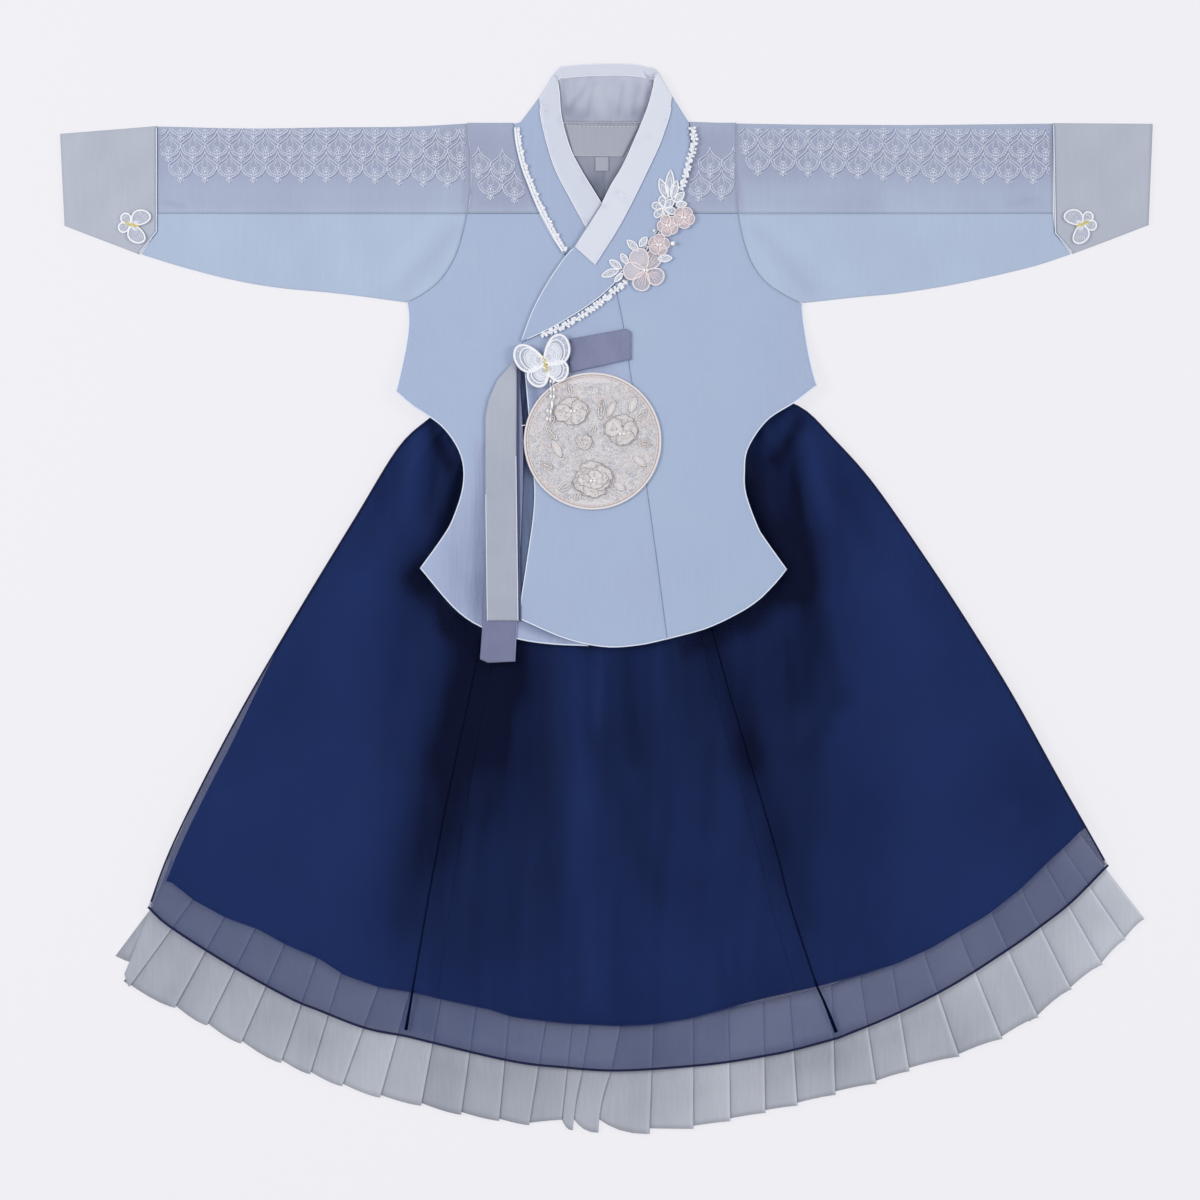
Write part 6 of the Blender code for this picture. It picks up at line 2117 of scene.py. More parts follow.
@dataclass
class Ties:
    """The ribbons: a long grey one over a long purple one, and a short purple loop under the brooch."""

    lie: Lie
    grey: tuple = (
        (-66.6, 174), (-69, 178), (-81.4, 163.6), (-87.8, 148.7), (-90.2, 135.5), (-90.2, 78), (-89, -16.3),
        (-65.2, -16.3), (-65.9, 35), (-66.8, 107),
    )
    purple: tuple = (
        (-65, 172), (-86, 140), (-88, 78), (-92, -14), (-94.3, -45), (-88, -47.8), (-67.7, -46.8),
        (-65.8, -10), (-64.6, 20), (-62.4, 72), (-61.4, 120),
    )
    loop: tuple = ((-27.4, 194.6), (14.9, 202.4), (18.8, 200), (18.8, 179), (-27.4, 169))
    stitch: tuple = ((-63.4, 129.4), (-60.2, 129.8))
    stitch_middle: tuple[float, float] = (-62.0, 129.6)
    edge_mm: float = 0.34
    shadow_cord_mm: float = 0.75
    #  name, corners, level, where its wave starts, finish, slot, node, thickness
    pieces: ClassVar[tuple] = (
        ("purple_tie_ribbon", "purple", 2.0, 0.5, Finish.PURPLE, "purple_cloth", "tie_purple_long", 0.8),
        ("grey_tie_ribbon", "grey", 3.0, 0.2, Finish.GREY, "grey_cloth", "tie_grey", 0.9),
        ("purple_loop_ribbon", "loop", 3.0, 1.9, Finish.PURPLE, "purple_cloth", "tie_loop", 1.5),
    )
    # The ribbons' tones; the loop is darker at its left end, under the brooch, as painted shadow.
    shades: ClassVar[dict[str, Callable[[Points, Points], Points]]] = {
        "purple_tie_ribbon": lambda x, y: 0.5 - 0.3 * ramp(-y, 2.0, 24.0) + 0.08 * ripple(x, y, 20.0, 41),
        "grey_tie_ribbon": lambda x, y: 0.12 + 0.3 * ramp(y, 60.0, 150.0) + 0.1 * ripple(x, y, 26.0, 42),
        "purple_loop_ribbon": lambda x, y: (
            0.62 - 0.5 * (1 - ramp(x, -30.0, -12.0)) + 0.12 * np.sin(x / 4.0 + y / 9.0)
        ),
    }

    def waved(self, level: float, phase: float) -> Height:
        """Gives a ply's height with a gentle wave along it."""
        ground = self.lie.ply(level)
        return lambda x, y: ground(x, y) + 0.25 * (1 + np.sin(y / 17.0 + phase))

    def build(self) -> None:
        """Makes the ribbons, the cords along their edges, a dark cord of painted shadow, and the stitch
        beside them.
        """
        for name, corners, level, phase, finish, slot, node, thickness in self.pieces:
            lay(
                name, joined(getattr(self, corners)), self.waved(level, phase), (finish, slot), node,
                ["inner_front_cloth"], 0.1, thickness=thickness, spacing=2.6, roll=0.5,
                tone=self.shades[name],
            )
        stitch = Parts()
        level = level_at(self.lie.ply(3), self.stitch_middle) + 1.0
        stitch.cord(np.array(self.stitch), lambda x, y: level + 0 * x, 0.0, 0.4, False)
        dress(stitch.made("ribbon_stitch"), Finish.WHITE_THREAD, "white_lace")
        grey, purple = np.array(self.grey), np.array(self.purple)
        over, under = self.waved(3.0, 0.2), self.waved(2.0, 0.5)
        # Pale cords along the grey ribbon's edges, made near white as a painted edge highlight.
        sides = (grey[5:7] + (0.5, 0), grey[7:10] - (0.5, 0))
        piping_and_highlight(
            "ribbon_edges_and_highlight", [(even_line(side, 50), over, 0.85) for side in sides], self.edge_mm,
            Finish.PIPING, "grey_cloth",
        )
        edge = even_line(purple[6:11] - (0.5, 0), 60)
        piping_and_highlight("purple_ribbon_edge", [(edge, under, 0.75)], self.edge_mm, Finish.SHADE_THREAD, "purple_cloth")
        # Painted shadow: a dark cord beside the grey ribbon's edge, lying on the purple ribbon.
        fold = even_line(np.vstack((grey[7:], grey[:1])) + (1.2, 0), 70)
        piping_and_highlight(
            "purple_ribbon_painted_shadow", [(fold, under, 1.0)], self.shadow_cord_mm, Finish.RIBBON_FOLD,
            "purple_cloth",
        )


# Trims.


def lobe(length: float, width: float, count: int = 24, point: float = 1.0) -> Points:
    """Gives a petal's outline: it stands on the origin and its round end is towards +Y."""
    t = np.linspace(0, 2 * math.pi, count, endpoint=False)
    across = np.sin(t) * np.abs(np.sin(t / 2)) ** point
    return np.column_stack([across / across.max() * width / 2, length * (1 - np.cos(t)) / 2])


def leaf(length: float, width: float, count: int = 20) -> Points:
    """Gives a leaf's outline: it stands on the origin and its pointed tip is towards +Y."""
    up = np.linspace(0, 1, count // 2, endpoint=False)
    side = np.column_stack([np.sin(math.pi * up) ** 0.85 * width / 2, up * length])
    return np.vstack([side, np.column_stack([-side[:, 0], length - side[:, 1]])])


def ring(radius: float, count: int) -> Points:
    """Gives a circle about the origin."""
    angle = np.linspace(0, 2 * math.pi, count, endpoint=False)
    return np.column_stack([np.cos(angle), np.sin(angle)]) * radius


@dataclass
class LaceBraids:
    """Three lace braids beside the collar: a smooth outer cord, loops, and uneven knots on the inner side."""

    lie: Lie
    #  name, node, level, side the cord is on, whether knots show on both sides, line
    braids: tuple = (
        ("lace_braid_left", "lace_left", 2.0, -1, False, (
            (-66.8, 353.3), (-65.8, 342.8), (-63.1, 330.1), (-59.9, 319.6), (-55.7, 309.1), (-50.5, 296.4),
            (-44.2, 283.8), (-37.9, 272.2), (-31, 260.6),
        )),
        ("lace_braid_right", "lace_right", 4.0, 1, True, (
            (64.3, 353.3), (66, 344.9), (65.2, 336.5), (62.2, 328), (60, 318.5), (57.9, 311.2),
            (55.8, 306.5),
        )),
        ("lace_braid_lower", "lace_lower", 3.0, 1, True, (
            (-49, 197), (-29.7, 205.4), (-11, 216.9), (3.4, 228.4), (15.6, 238),
        )),
    )
    knot_step: float = 2.9
    cord_radius: float = 0.95
    knot_radius: float = 1.3
    half_width: float = 2.3
    pearl_every: int = 4
    # The braid's body under the cord and knots, and the pearls on it.
    body_radius: float = 1.15
    pearl_radius: float = 1.15
    pearl_every: int = 4
    seed: int = 5

    def build(self) -> None:
        """Makes the braids."""
        chance = np.random.default_rng(self.seed)
        for name, node, level, side, both, points in self.braids:
            self.braid(name, node, self.lie.ply(level), side, both, points, chance)

    def braid(
        self, name: str, node: str, height: Height, side: int, both: bool, points: tuple,
        chance: np.random.Generator,
    ) -> None:
        """Makes one braid.

        Args:
            name: The piece's name.
            node: The frame's node that it stands for.
            height: The height of what it lies on.
            side: The side that its cord is on.
            both: Whether knots show on both sides, instead of a cord on one.
            points: Its line.
            chance: What varies its knots.
        """
        parts, pearls = Parts(), Parts()
        length = float(np.linalg.norm(np.diff(smooth_line(points, 12), axis=0), axis=1).sum())
        knots = round(length / self.knot_step)
        line = smooth_line(points, knots * 8 + 1)
        ahead = unit(np.gradient(line, axis=0))
        out = np.column_stack([-ahead[:, 1], ahead[:, 0]]) * -side
        if not both:
            inward = line[::3] - out[::3] * self.half_width * 0.55
            parts.cord(inward, height, 0.85, self.cord_radius, False, 7, 0.85)
        sway = np.sin(np.arange(len(line)) * 0.31) * 0.3 + (0.0 if both else 0.9)
        parts.cord((line + out * sway[:, None])[::3], height, 0.45, self.body_radius, False, 7, 0.35)
        turn = np.linspace(0, knots * 2 * math.pi, len(line))
        loops = line + out * (0.4 + 0.75 * np.sin(turn))[:, None] + ahead * (0.6 * np.cos(turn))[:, None]
        loops = raised(loops, height, 0.75 + 0.3 * np.cos(turn))
        parts.tube(loops[::2], 0.55 if both else 0.4, 5, tone=0.55)
        for i in range(knots):
            for way in (1, -1) if both else (1,):
                step = i * 8 + 4 + int(chance.integers(-3, 4))
                big = chance.uniform(0.75, 1.1)
                reach = (self.half_width - (0.3 if both else 0.9)) * chance.uniform(0.7, 1.1)
                at = line[step] + out[step] * reach * way
                parts.bead((*at, level_at(height, at) + 1.0), self.knot_radius * big, 0.9, 4, 7, 0.8)
                if big > 0.8:
                    at = at + ahead[step] * chance.uniform(-1.0, 1.0) - out[step] * 0.7 * way
                    parts.bead((*at, level_at(height, at) + 1.2), self.knot_radius * 0.7, 0.95, 3, 6, 0.8)
            if i % self.pearl_every == 2:
                at = line[i * 8 + 4] + out[i * 8 + 4] * self.half_width * (0.3 if both else 0.95)
                pearls.bead((*at, level_at(height, at) + 1.7), self.pearl_radius, 1.0, 5, 9)
        dress(parts.made(name), Finish.WHITE_THREAD, "white_lace", node)
        dress(pearls.made(f"{name}_pearls"), Finish.PEARL, "white_lace")


@dataclass
class ScallopEmbroidery:
    """Rows of onion-shaped scallops on sleeves and shoulders: pale thread, a darker offset copy as painted
    shadow.
    """

    lie: Lie
    thread: float = 0.34
    # The upper half of one scallop's outline, right side, from its peak to its widest point.
    ogee: tuple = ((0, 10.9), (1, 7.6), (3, 4.9), (6.2, 2.6), (9.1, 0.3))
    # Its hanging lower edge, from side to side.
    bowl: tuple = ((-9.1, 0.3), (-8.4, -3.4), (-5.6, -7.2), (0, -9.3), (5.6, -7.2), (8.4, -3.4), (9.1, 0.3))
    #  side, first x, step, count of the lower row, where the rows start and stop sinking, rise, sink
    sleeve_rows: tuple = (
        ("left", -318.8, 18.2, 12, -200.0, -105.0, 0.0, 4.0),
        ("right", 114.0, 18.75, 12, 110.0, 280.0, 5.2, 6.4),
    )
    row_levels: tuple[float, ...] = (325.0, 340.6, 356.2)
    #  side, x, y
    shoulder_motifs: tuple = (
        ("left", -95.5, 328.0), ("left", -77.5, 326.5), ("left", -86.5, 312.0), ("left", -68.5, 309.8),
        ("right", 78.0, 328.0), ("right", 95.5, 328.0), ("right", 69.5, 310.5), ("right", 86.5, 311.5),
    )
    # How far the painted shadow thread lies from the pale one.
    shade_off: tuple[float, float] = (0.45, -0.5)
    # The small knots: below a scallop, and in its flower.
    dots: tuple = ((0, -12.6), (0, -4.6))

    def motif(
        self, parts: Parts, shades: Parts, height: Height, x: float, y: float,
        keep: Callable[[Points], Points],
    ) -> None:
        """Embroiders one scallop.

        Args:
            parts: What its pale thread is added to.
            shades: What its painted shadow thread is added to.
            height: The cloth's underside.
            x: Its middle across.
            y: Its widest level.
            keep: Which plan points are on the cloth.
        """
        upper, bowl = smooth_line(self.ogee, 12), smooth_line(self.bowl, 22)
        #  line, whether it is closed, its share of the thread's radius, whether a painted shadow thread lies
        #  below
        lines = []
        for sign in (-1, 1):
            tear = np.array(((0.0, 6.4), (sign * 1.9, 1.6), (sign * 2.6, -0.9), (0.0, -2.4)))
            lines.append((upper * (sign, 1), False, 1.15, True))
            lines.append((upper[3:] * (sign * 0.8, 1) - (0, 1.6), False, 0.8, False))
            lines.append((tear, False, 0.8, False))
        lines.append((bowl, False, 1.0, True))
        lines.append((bowl * (0.76, 0.74) - (0, 0.5), False, 0.75, False))
        for place in bowl[1:21:3]:
            lines.append((ring(1.15, 8) + place * (0.9, 0.88) + (0, -0.1), True, 0.8, False))
        for angle in range(0, 360, 72):
            lines.append((spun(lobe(2.9, 2.0, 9), angle, 1, (0, -4.6)), True, 0.85, False))
        for lean in (-42, 0, 42):
            lines.append((spun(lobe(3.2, 1.7, 9), 180 + lean, 1, (0, -9.3)), True, 0.95, lean == 0))
        place = np.array((x, y))
        for line, closed, scale, shaded in lines:
            line = line + place
            kept = keep(line)
            if kept.all() or not closed and kept.sum() > 2:
                line = line[kept]
                parts.cord(line, height, 1.08, self.thread * scale, closed, 4, 0.65)
                if shaded:
                    shades.cord(line + self.shade_off, height, 0.98, self.thread * 0.85, closed, 4, 0.4)
        for off in self.dots:
            spot = place + off
            if keep(spot[None]).all():
                parts.bead((*spot, level_at(height, spot) + 1.15), 0.6, 0.6, 3, 6, 1.0)

    def finish(self, name: str, parts: Parts, shades: Parts) -> None:
        """Dresses one panel's pale threads and painted shadow threads."""
        dress(parts.made(f"{name}_embroidery"), Finish.PALE_THREAD, "lavender_cloth")
        dress(shades.made(f"{name}_embroidery_shades"), Finish.SHADE_THREAD, "lavender_cloth")

    def build(self) -> None:
        """Embroiders the sleeves and the shoulders."""
        for side, first, step, count, start, stop, rise, sink in self.sleeve_rows:
            parts, shades = Parts(), Parts()
            for row, y in enumerate(self.row_levels):
                for i in range(-1 if row else 0, count + 1):
                    x = first + step * (i + row % 2 / 2)
                    level = y + rise - sink * float(ramp(x, start, stop))
                    self.motif(parts, shades, self.lie.ply(1), x, level, self.on_sleeve)
            self.finish(f"sleeve_{side}", parts, shades)
        for side in ("left", "right"):
            parts, shades = Parts(), Parts()
            for which, x, y in self.shoulder_motifs:
                if which == side:
                    self.motif(parts, shades, self.lie.ply(1, side == "right"), x, y, self.on_shoulder)
            self.finish(f"shoulder_{side}", parts, shades)

    @staticmethod
    def on_sleeve(line: Points) -> Points:
        """Says which points lie on a sleeve's upper half."""
        x = line[:, 0]
        return ((x > -334.5) & (x < -105.0) | (x > 99.6) & (x < 333.0)) & (line[:, 1] < 353.0)

    @staticmethod
    def on_shoulder(line: Points) -> Points:
        """Says which points lie on a shoulder panel."""
        x = line[:, 0]
        y = line[:, 1]
        left = (x > -101.0) & (x < -70.5 + 0.26 * (345 - y))
        return left | (x > 68.5 - 0.18 * (345 - y)) & (x < 97.0)


@dataclass
class Roundel:
    """The round applique: a corded edge and a dense curled ground with flowers and leaves on it."""

    lie: Lie
    centre: tuple[float, float] = (-10.0, 117.9)
    radius: float = 51.1
    curl_step: float = 2.25
    seed: int = 17
    #  x, y, radius, petals, turn, rings, node, the petals' stretch across and up, how far their middle is
    #  above the pearls
    flowers: tuple = (
        (-24.8, 140.5, 11.6, 5, 18.0, 1, "roundel_flower_1", 1.06, 0.92, -1.6),
        (11.9, 123.6, 11.8, 5, -10.0, 1, "roundel_flower_2", 1.0, 1.0, 1.0),
        (-9.8, 88.6, 15.2, 6, 5.0, 2, "roundel_flower_3", 1.06, 0.8, 0.8),
        (-16.6, 116.5, 5.4, 4, 40.0, 1, "roundel_flower_4", 1.0, 1.0, 0.0),
    )
    #  x, y, turn, length, width
    leaves: tuple = (
        (-33.5, 106, 28, 14, 4.6), (-36.5, 118.5, 38, 13, 4.6), (-4, 134, -4, 14, 4.4),
        (1, 136, -26, 13, 4.4), (-27, 152, 10, 8.6, 4.2), (-45, 128, -38, 11, 4.2),
        (18, 139.5, -20, 12, 4.6), (22, 133.5, -52, 10.6, 4.4), (24, 116, -96, 10, 4.2),
        (21, 106, -128, 11, 4.4), (-26, 86, 118, 10, 4.4), (-20, 80, 158, 6.8, 4), (6, 86, -118, 9, 4.2),
        (-40, 98, 70, 9, 4.2), (-12, 122, -30, 8, 3.6),
    )

    # The ground's dense curls: how far inside the edge they stop, and how many points one has.
    curl_margin: float = 3.4
    curl_points: int = 10

    def build(self) -> None:
        """Makes the cloth, the cords, the curls, the leaves and the flowers."""
        centre = np.array(self.centre)
        ground, above = self.lie.ply(3, creased=0.6), self.lie.ply(4, creased=0.6)
        disc = ring(self.radius - 0.4, 72) + centre
        lay(
            "roundel_ground_cloth", disc, ground, (Finish.CREAM_CLOTH, "cream_embroidery"), "roundel",
            ["overlap_panel_cloth"],
        )
        edge, peach = Parts(), Parts()
        edge.cord(ring(self.radius - 0.6, 200) + centre, above, 0.1, 0.85, True, 8, 0.7)
        edge.cord(ring(self.radius - 2.5, 200) + centre, above, -0.25, 0.8, True, 6, 0.2)
        dress(edge.made("roundel_edge_cord"), Finish.EDGE_CORD, "cream_embroidery", "roundel_cord")
        dots = ring(self.radius - 2.6, 160) + centre
        for a, b in zip(dots[::2], dots[1::2]):
            peach.cord(np.array((a, (a * 2 + b) / 3, b)), above, 0.3, 0.36, False, 5, 0.3)
        threads = self.curls(above)
        cloth, shadow_threads = Parts(), Parts()
        self.spray(cloth, shadow_threads, threads[0], peach, above)
        for parts, name, finish in (
            (threads[0], "roundel_cream_threads", Finish.CREAM_THREAD),
            (threads[1], "roundel_grey_threads", Finish.SILVER_THREAD),
            (peach, "roundel_peach_threads", Finish.PEACH_THREAD),
        ):
            dress(parts.made(name), finish, "cream_embroidery")
        self.blooms(cloth, shadow_threads, above)

    def curls(self, above: Height) -> tuple[Parts, Parts]:
        """Fills the ground with small curls of thread, apart from where the flowers lie.

        Args:
            above: The height they lie on.

        Returns:
            The cream threads and the grey ones.
        """
        chance = np.random.default_rng(self.seed)
        threads = (Parts(), Parts())
        reach = self.radius - self.curl_margin
        steps = np.arange(-reach, reach, self.curl_step)
        t = np.linspace(0, 1, self.curl_points)
        for row, v in enumerate(steps):
            for u in steps + self.curl_step * (row % 2) / 2:
                spot = np.array((u, v * 0.9)) + chance.uniform(-0.7, 0.7, 2)
                turn, size = chance.uniform(0, 2 * math.pi), chance.uniform(0.55, 0.9)
                pick = chance.uniform(0, 1)
                if np.hypot(*spot) > reach or self.covered(spot + self.centre):
                    continue
                swing = turn + t * 6.4 * (1 if pick > 0.5 else -1)
                curl = np.column_stack([np.cos(swing), np.sin(swing)]) * ((0.5 + 1.5 * t) * size)[:, None]
                curl += np.array((math.cos(turn), math.sin(turn))) * (t**2 * 1.2)[:, None]
                lift = 0.1 + 0.3 * chance.uniform(0, 1)
                parts = threads[int(pick * 40) % 3 // 2]
                parts.cord(curl + spot + self.centre, above, -0.4 + lift * 0.7, 0.3, False, 4, pick)
        return threads

    def covered(self, spot: Points) -> bool:
        """Says whether a flower covers a place."""
        return any(math.hypot(spot[0] - x, spot[1] - y) < size * 0.78 for x, y, size, *_ in self.flowers)

    def spray(self, cloth: Parts, shadow_threads: Parts, threads: Parts, peach: Parts, above: Height) -> None:
        """Lays the leaves.

        Args:
            cloth: The ivory cloth that most are filled with.
            shadow_threads: The darker threads round them, as painted shadow.
            threads: The pale threads that they join.
            peach: The warm threads that they join.
            above: The height they lie on.
        """
        for i, (x, y, turn, length, width) in enumerate(self.leaves):
            placed = (turn, 1, (x, y))
            outline = spun(leaf(length, width), *placed)
            if np.hypot(*(outline - self.centre).T).max() > self.radius - 4.5:
                continue
            middle = outline.mean(axis=0)
            if i % 3 == 0:
                cloth.cap(outline, above, 0.3, 0.25, 0.3)
            # Painted shadow just outside the leaf.
            shadow_threads.cord(middle + (outline - middle) * 1.12, above, 0.3, 0.22, True, 4, 0.5)
            (peach if i % 5 == 3 else threads).cord(outline, above, 0.5, 0.36, True, 5, 1.0)
            vein = np.column_stack([np.zeros(8), np.linspace(0, length * 0.85, 8)])
            threads.cord(spun(vein, *placed), above, 0.4, 0.36, False, 4, 0.7)
            for share in (0.25, 0.45, 0.65):
                for sign in (-1, 1):
                    rib = np.array(((0, length * share), (sign * width * 0.3, length * (share + 0.13))))
                    threads.cord(spun(rib, *placed), above, 0.35, 0.26, False, 4, 0.6)

    @staticmethod
    def frilled(outline: Points, depth: float, scallops: int) -> Points:
        """Gives a closed outline small rounded scallops.

        Args:
            outline: The outline.
            depth: How deep they are.
            scallops: How many.

        Returns:
            The frilled outline.
        """
        ahead = np.roll(outline, -1, axis=0) - np.roll(outline, 1, axis=0)
        out = unit(np.column_stack([ahead[:, 1], -ahead[:, 0]]))
        out *= np.sign((out * (outline - outline.mean(axis=0))).sum(axis=1))[:, None]
        turn = np.linspace(0, math.pi * scallops, len(outline), endpoint=False)
        return outline + out * (depth * (np.abs(np.sin(turn)) - 0.5))[:, None]

    def blooms(self, cloth: Parts, shadow_threads: Parts, above: Height) -> None:
        """Makes the flowers, each with frilled petals that lie over one another, and a pair of pearls.

        Args:
            cloth: The petals' cloth, which holds the leaves already.
            shadow_threads: The darker threads round and in the petals, as painted shadow.
            above: The height they lie on.
        """
        edges, pearls = Parts(), Parts()
        chance = np.random.default_rng(self.seed + 1)
        for x, y, size, petals, turn, rings, _, across, up, above_pearls in self.flowers:
            heart = np.array((x, y + above_pearls))
            for level in range(rings):
                for k in range(petals):
                    reach = size * (1 - 0.36 * level) * (1.06 - 0.14 * ((k * 2 + level) % 3))
                    angle = turn + 360 / petals * (k * 2 % petals if petals % 2 else k) + 30 * level
                    wide = size * (1 - 0.36 * level) * 2 * math.sin(math.pi / petals) * 0.95
                    petal = spun(lobe(reach, wide, 48, 0.62), angle, 1) * (across, up) + heart
                    petal = self.frilled(petal, reach * 0.08, 7)
                    lift = 0.3 * k + 1.1 * level
                    on = lambda px, py, lift=lift: above(px, py) + lift
                    cloth.cap(petal, on, 0.4, 0.35, 0.25 + 0.35 * level + 0.15 * (k % 2))
                    middle = petal.mean(axis=0)
                    # Painted shadow just outside the petal and along its ribs.
                    shadow_threads.cord(middle + (petal - middle) * 1.06, on, 0.55, 0.26, True, 4, 0.3)
                    edges.cord(middle + (petal - middle) * 0.96, on, 0.72, 0.3, True, 5, 0.9)
                    for spread in (-0.55, 0.0, 0.55):
                        rib = np.array(((0, 0.28), (spread * 0.2, 0.5), (spread * 0.36, 0.72))) * reach
                        rib = spun(rib, angle, 1) * (across, up) + heart
                        shadow_threads.cord(rib, on, 0.78, 0.17, False, 4, 0.9)
                    for stitch in range(int(reach * 2.2)):
                        share, off = chance.uniform(0.3, 0.88), chance.uniform(-0.8, 0.8)
                        bend = chance.uniform(0, 6.3)
                        spot = middle + (petal[int(24 + off * 20)] - middle) * (share * 1.6 - 0.6)
                        arc = bend + np.linspace(0, 3.4, 6)
                        curl = spot + np.column_stack([np.cos(arc), np.sin(arc)]) * 0.8
                        (edges, edges, shadow_threads)[stitch % 3].cord(curl, on, 0.78, 0.25, False, 4, 0.9)
            for sign in (-1, 1):
                spot = (x + sign * 1.25, y - 0.4)
                z = level_at(above, spot) + 0.9 + 0.3 * petals + 0.9 * (rings - 1)
                pearls.bead((*spot, z), 1.2 if size > 7 else 0.7, 0.9, 5, 9, 0.8)
        nodes = [row[6] for row in self.flowers]
        dress(cloth.made("roundel_flower_petals"), Finish.PETAL_CLOTH, "cream_embroidery", *nodes)
        dress(edges.made("roundel_flower_cords"), Finish.CREAM_THREAD, "cream_embroidery")
        dress(shadow_threads.made("roundel_flower_shadow_threads"), Finish.GROOVE_THREAD, "cream_embroidery")
        dress(pearls.made("roundel_pearls"), Finish.PEARL, "cream_embroidery")


@dataclass
class Butterflies:
    """The lace butterflies: a brooch with pearl strands at the collar's end, and one on each cuff."""

    lie: Lie
    #  name, node, level, x, y, heading, size, upper spread, lower spread, the lower wings' length and width
    rows: tuple = (
        ("brooch", "brooch_butterfly", 5.6, -45.3, 175.5, 106.0, 1.0, 66.0, 121.0, 16.2, 15.2),
        ("cuff_left", "cuff_butterfly_left", 2.25, -355.0, 280.4, -14.0, 0.61, 62.0, 138.0, 14.6, 11.8),
        ("cuff_right", "cuff_butterfly_right", 2.25, 357.0, 280.9, 202.0, 0.61, 69.0, 140.0, 14.6, 11.8),
    )
    # The upper wings' length and width, and how much they lean outwards.
    upper: tuple[float, float] = (22.6, 19.4)
    upper_lean: float = 0.29
    #  x, y, half-width, half-length
    pearls: tuple = (
        (-41.4, 162.6, 0.95, 1.5), (-39, 162.4, 0.95, 1.5), (-41.3, 156.7, 0.95, 1.6),
        (-39, 156.4, 0.95, 1.6), (-41.3, 151.3, 0.95, 1.6), (-39, 151, 0.95, 1.6), (-40.3, 145, 0.9, 3.2),
        (-43.6, 140.4, 0.9, 1.5), (-41.3, 139.9, 0.9, 1.9), (-43.8, 134.6, 0.9, 1.5),
        (-41.7, 134.2, 0.9, 1.5),
    )
    #  the two pearl strands' threads, from the body down
    strand_lines: tuple = (
        ((-43.0, 170.0), (-41.3, 156.0), (-40.6, 146.0), (-43.6, 134.6)),
        ((-42.4, 170.0), (-39.0, 156.0), (-40.2, 146.0), (-41.6, 134.2)),
    )

    def build(self) -> None:
        """Makes the butterflies and the brooch's strands."""
        for name, node, level, x, y, heading, size, upper, lower, long, wide in self.rows:
            base = self.lie.ply(level, creased=0.3)
            sheer, close, threads, gold = (Parts() for _ in range(4))
            wings = [(lower * s, -0.22, s) for s in (1, -1)] + [(upper * s, 0.17, s) for s in (1, -1)]
            axis = np.array((math.cos(math.radians(heading)), math.sin(math.radians(heading))))
            for number, (spread, along, side) in enumerate(wings):
                root = np.array((x, y)) + axis * along * 13 * size
                length, width = self.upper if number > 1 else (long, wide)
                outline = lobe(length, width, 40, 0.56)
                if number > 1:
                    outline[:, 1] += self.upper_lean * side * outline[:, 0]
                turn = heading - 90 + spread
                wing = spun(outline, turn, size, root)
                lift = 0.7 if number > 1 else 0.25
                on = lambda px, py, lift=lift, root=root: (
                    base(px, py) + lift + 0.05 * np.hypot(px - root[0], py - root[1])
                )
                placed = (on, threads, length, size, root)
                sheer.cap(wing, on, 0.15, 0.15, 0.5)
                threads.cord(wing, on, 0.4, 0.95 if size == 1 else 0.68, True, 6, 0.9)
                if size < 1:
                    close.cap(root + (wing - root) * 0.34, on, 0.2, 0.2, 0.7)
                    for angle in np.linspace(-18, 18, 5) - 5 * side * (number > 1):
                        self.rib(*placed, turn + angle, (0.62, 0.86), 0.45, 0.26, 0.8)
                        self.rib(*placed, turn + angle, (0.2, 0.55), 0.35, 0.14, 0.5)
                    continue
                second, inner = (root + (wing - root) * share for share in (0.81, 0.68))
                threads.cord(second, on, 0.5, 0.66, True, 5, 0.8)
                for i in range(8, 33, 3):
                    threads.cord(np.array((second[i], wing[i])), on, 0.3, 0.24, False, 4, 0.7)
                for share in (1.0, 0.72, 0.46):
                    threads.cord(root + (inner - root) * share, on, 0.75, 0.42, True, 5, 0.9)
                close.cap(inner, on, 0.35, 0.3, 0.7)
                for angle in np.linspace(-20, 20, 5):
                    self.rib(*placed, turn + angle, (0.16, 0.5), 0.75, 0.2, 0.5)
            for share in np.linspace(-1, 1, 9 if size == 1 else 7):
                spot = np.array((x, y)) + axis * share * (5.7 if size == 1 else 4.7)
                off = np.array((-axis[1], axis[0])) * 0.5 * (-1) ** round(share * 10)
                top = (*(spot + off * 0.6), level_at(base, spot) + 1.5)
                gold.bead(top, 1.25 - 0.35 * abs(share), 0.9, 4, 7, 0.5)
            dress(sheer.made(f"{name}_wings"), Finish.WHITE_SHEER, "white_lace", node)
            dress(close.made(f"{name}_wing_middles"), Finish.WHITE_WING, "white_lace")
            dress(threads.made(f"{name}_cords"), Finish.WHITE_THREAD, "white_lace")
            dress(gold.made(f"{name}_body"), Finish.GOLD_BEAD, "white_lace")
        self.strands()

    @staticmethod
    def rib(
        on: Height, threads: Parts, length: float, size: float, root: Points, turn: float,
        span: tuple[float, float], above: float, radius: float, tone: float,
    ) -> None:
        """Lays a straight rib on a wing.

        Args:
            on: The wing's height.
            threads: What the rib is added to.
            length: The wing's length.
            size: The butterfly's factor of size.
            root: Where the wing starts.
            turn: The rib's direction.
            span: Where it starts and ends, as shares of the length.
            above: How far above the wing its middle is.
            radius: Its radius.
            tone: Its shade of the finish.
        """
        line = np.array(((0, length * span[0]), (0, length * span[1])))
        threads.cord(spun(line, turn, size, root), on, above, radius, False, 4, tone)

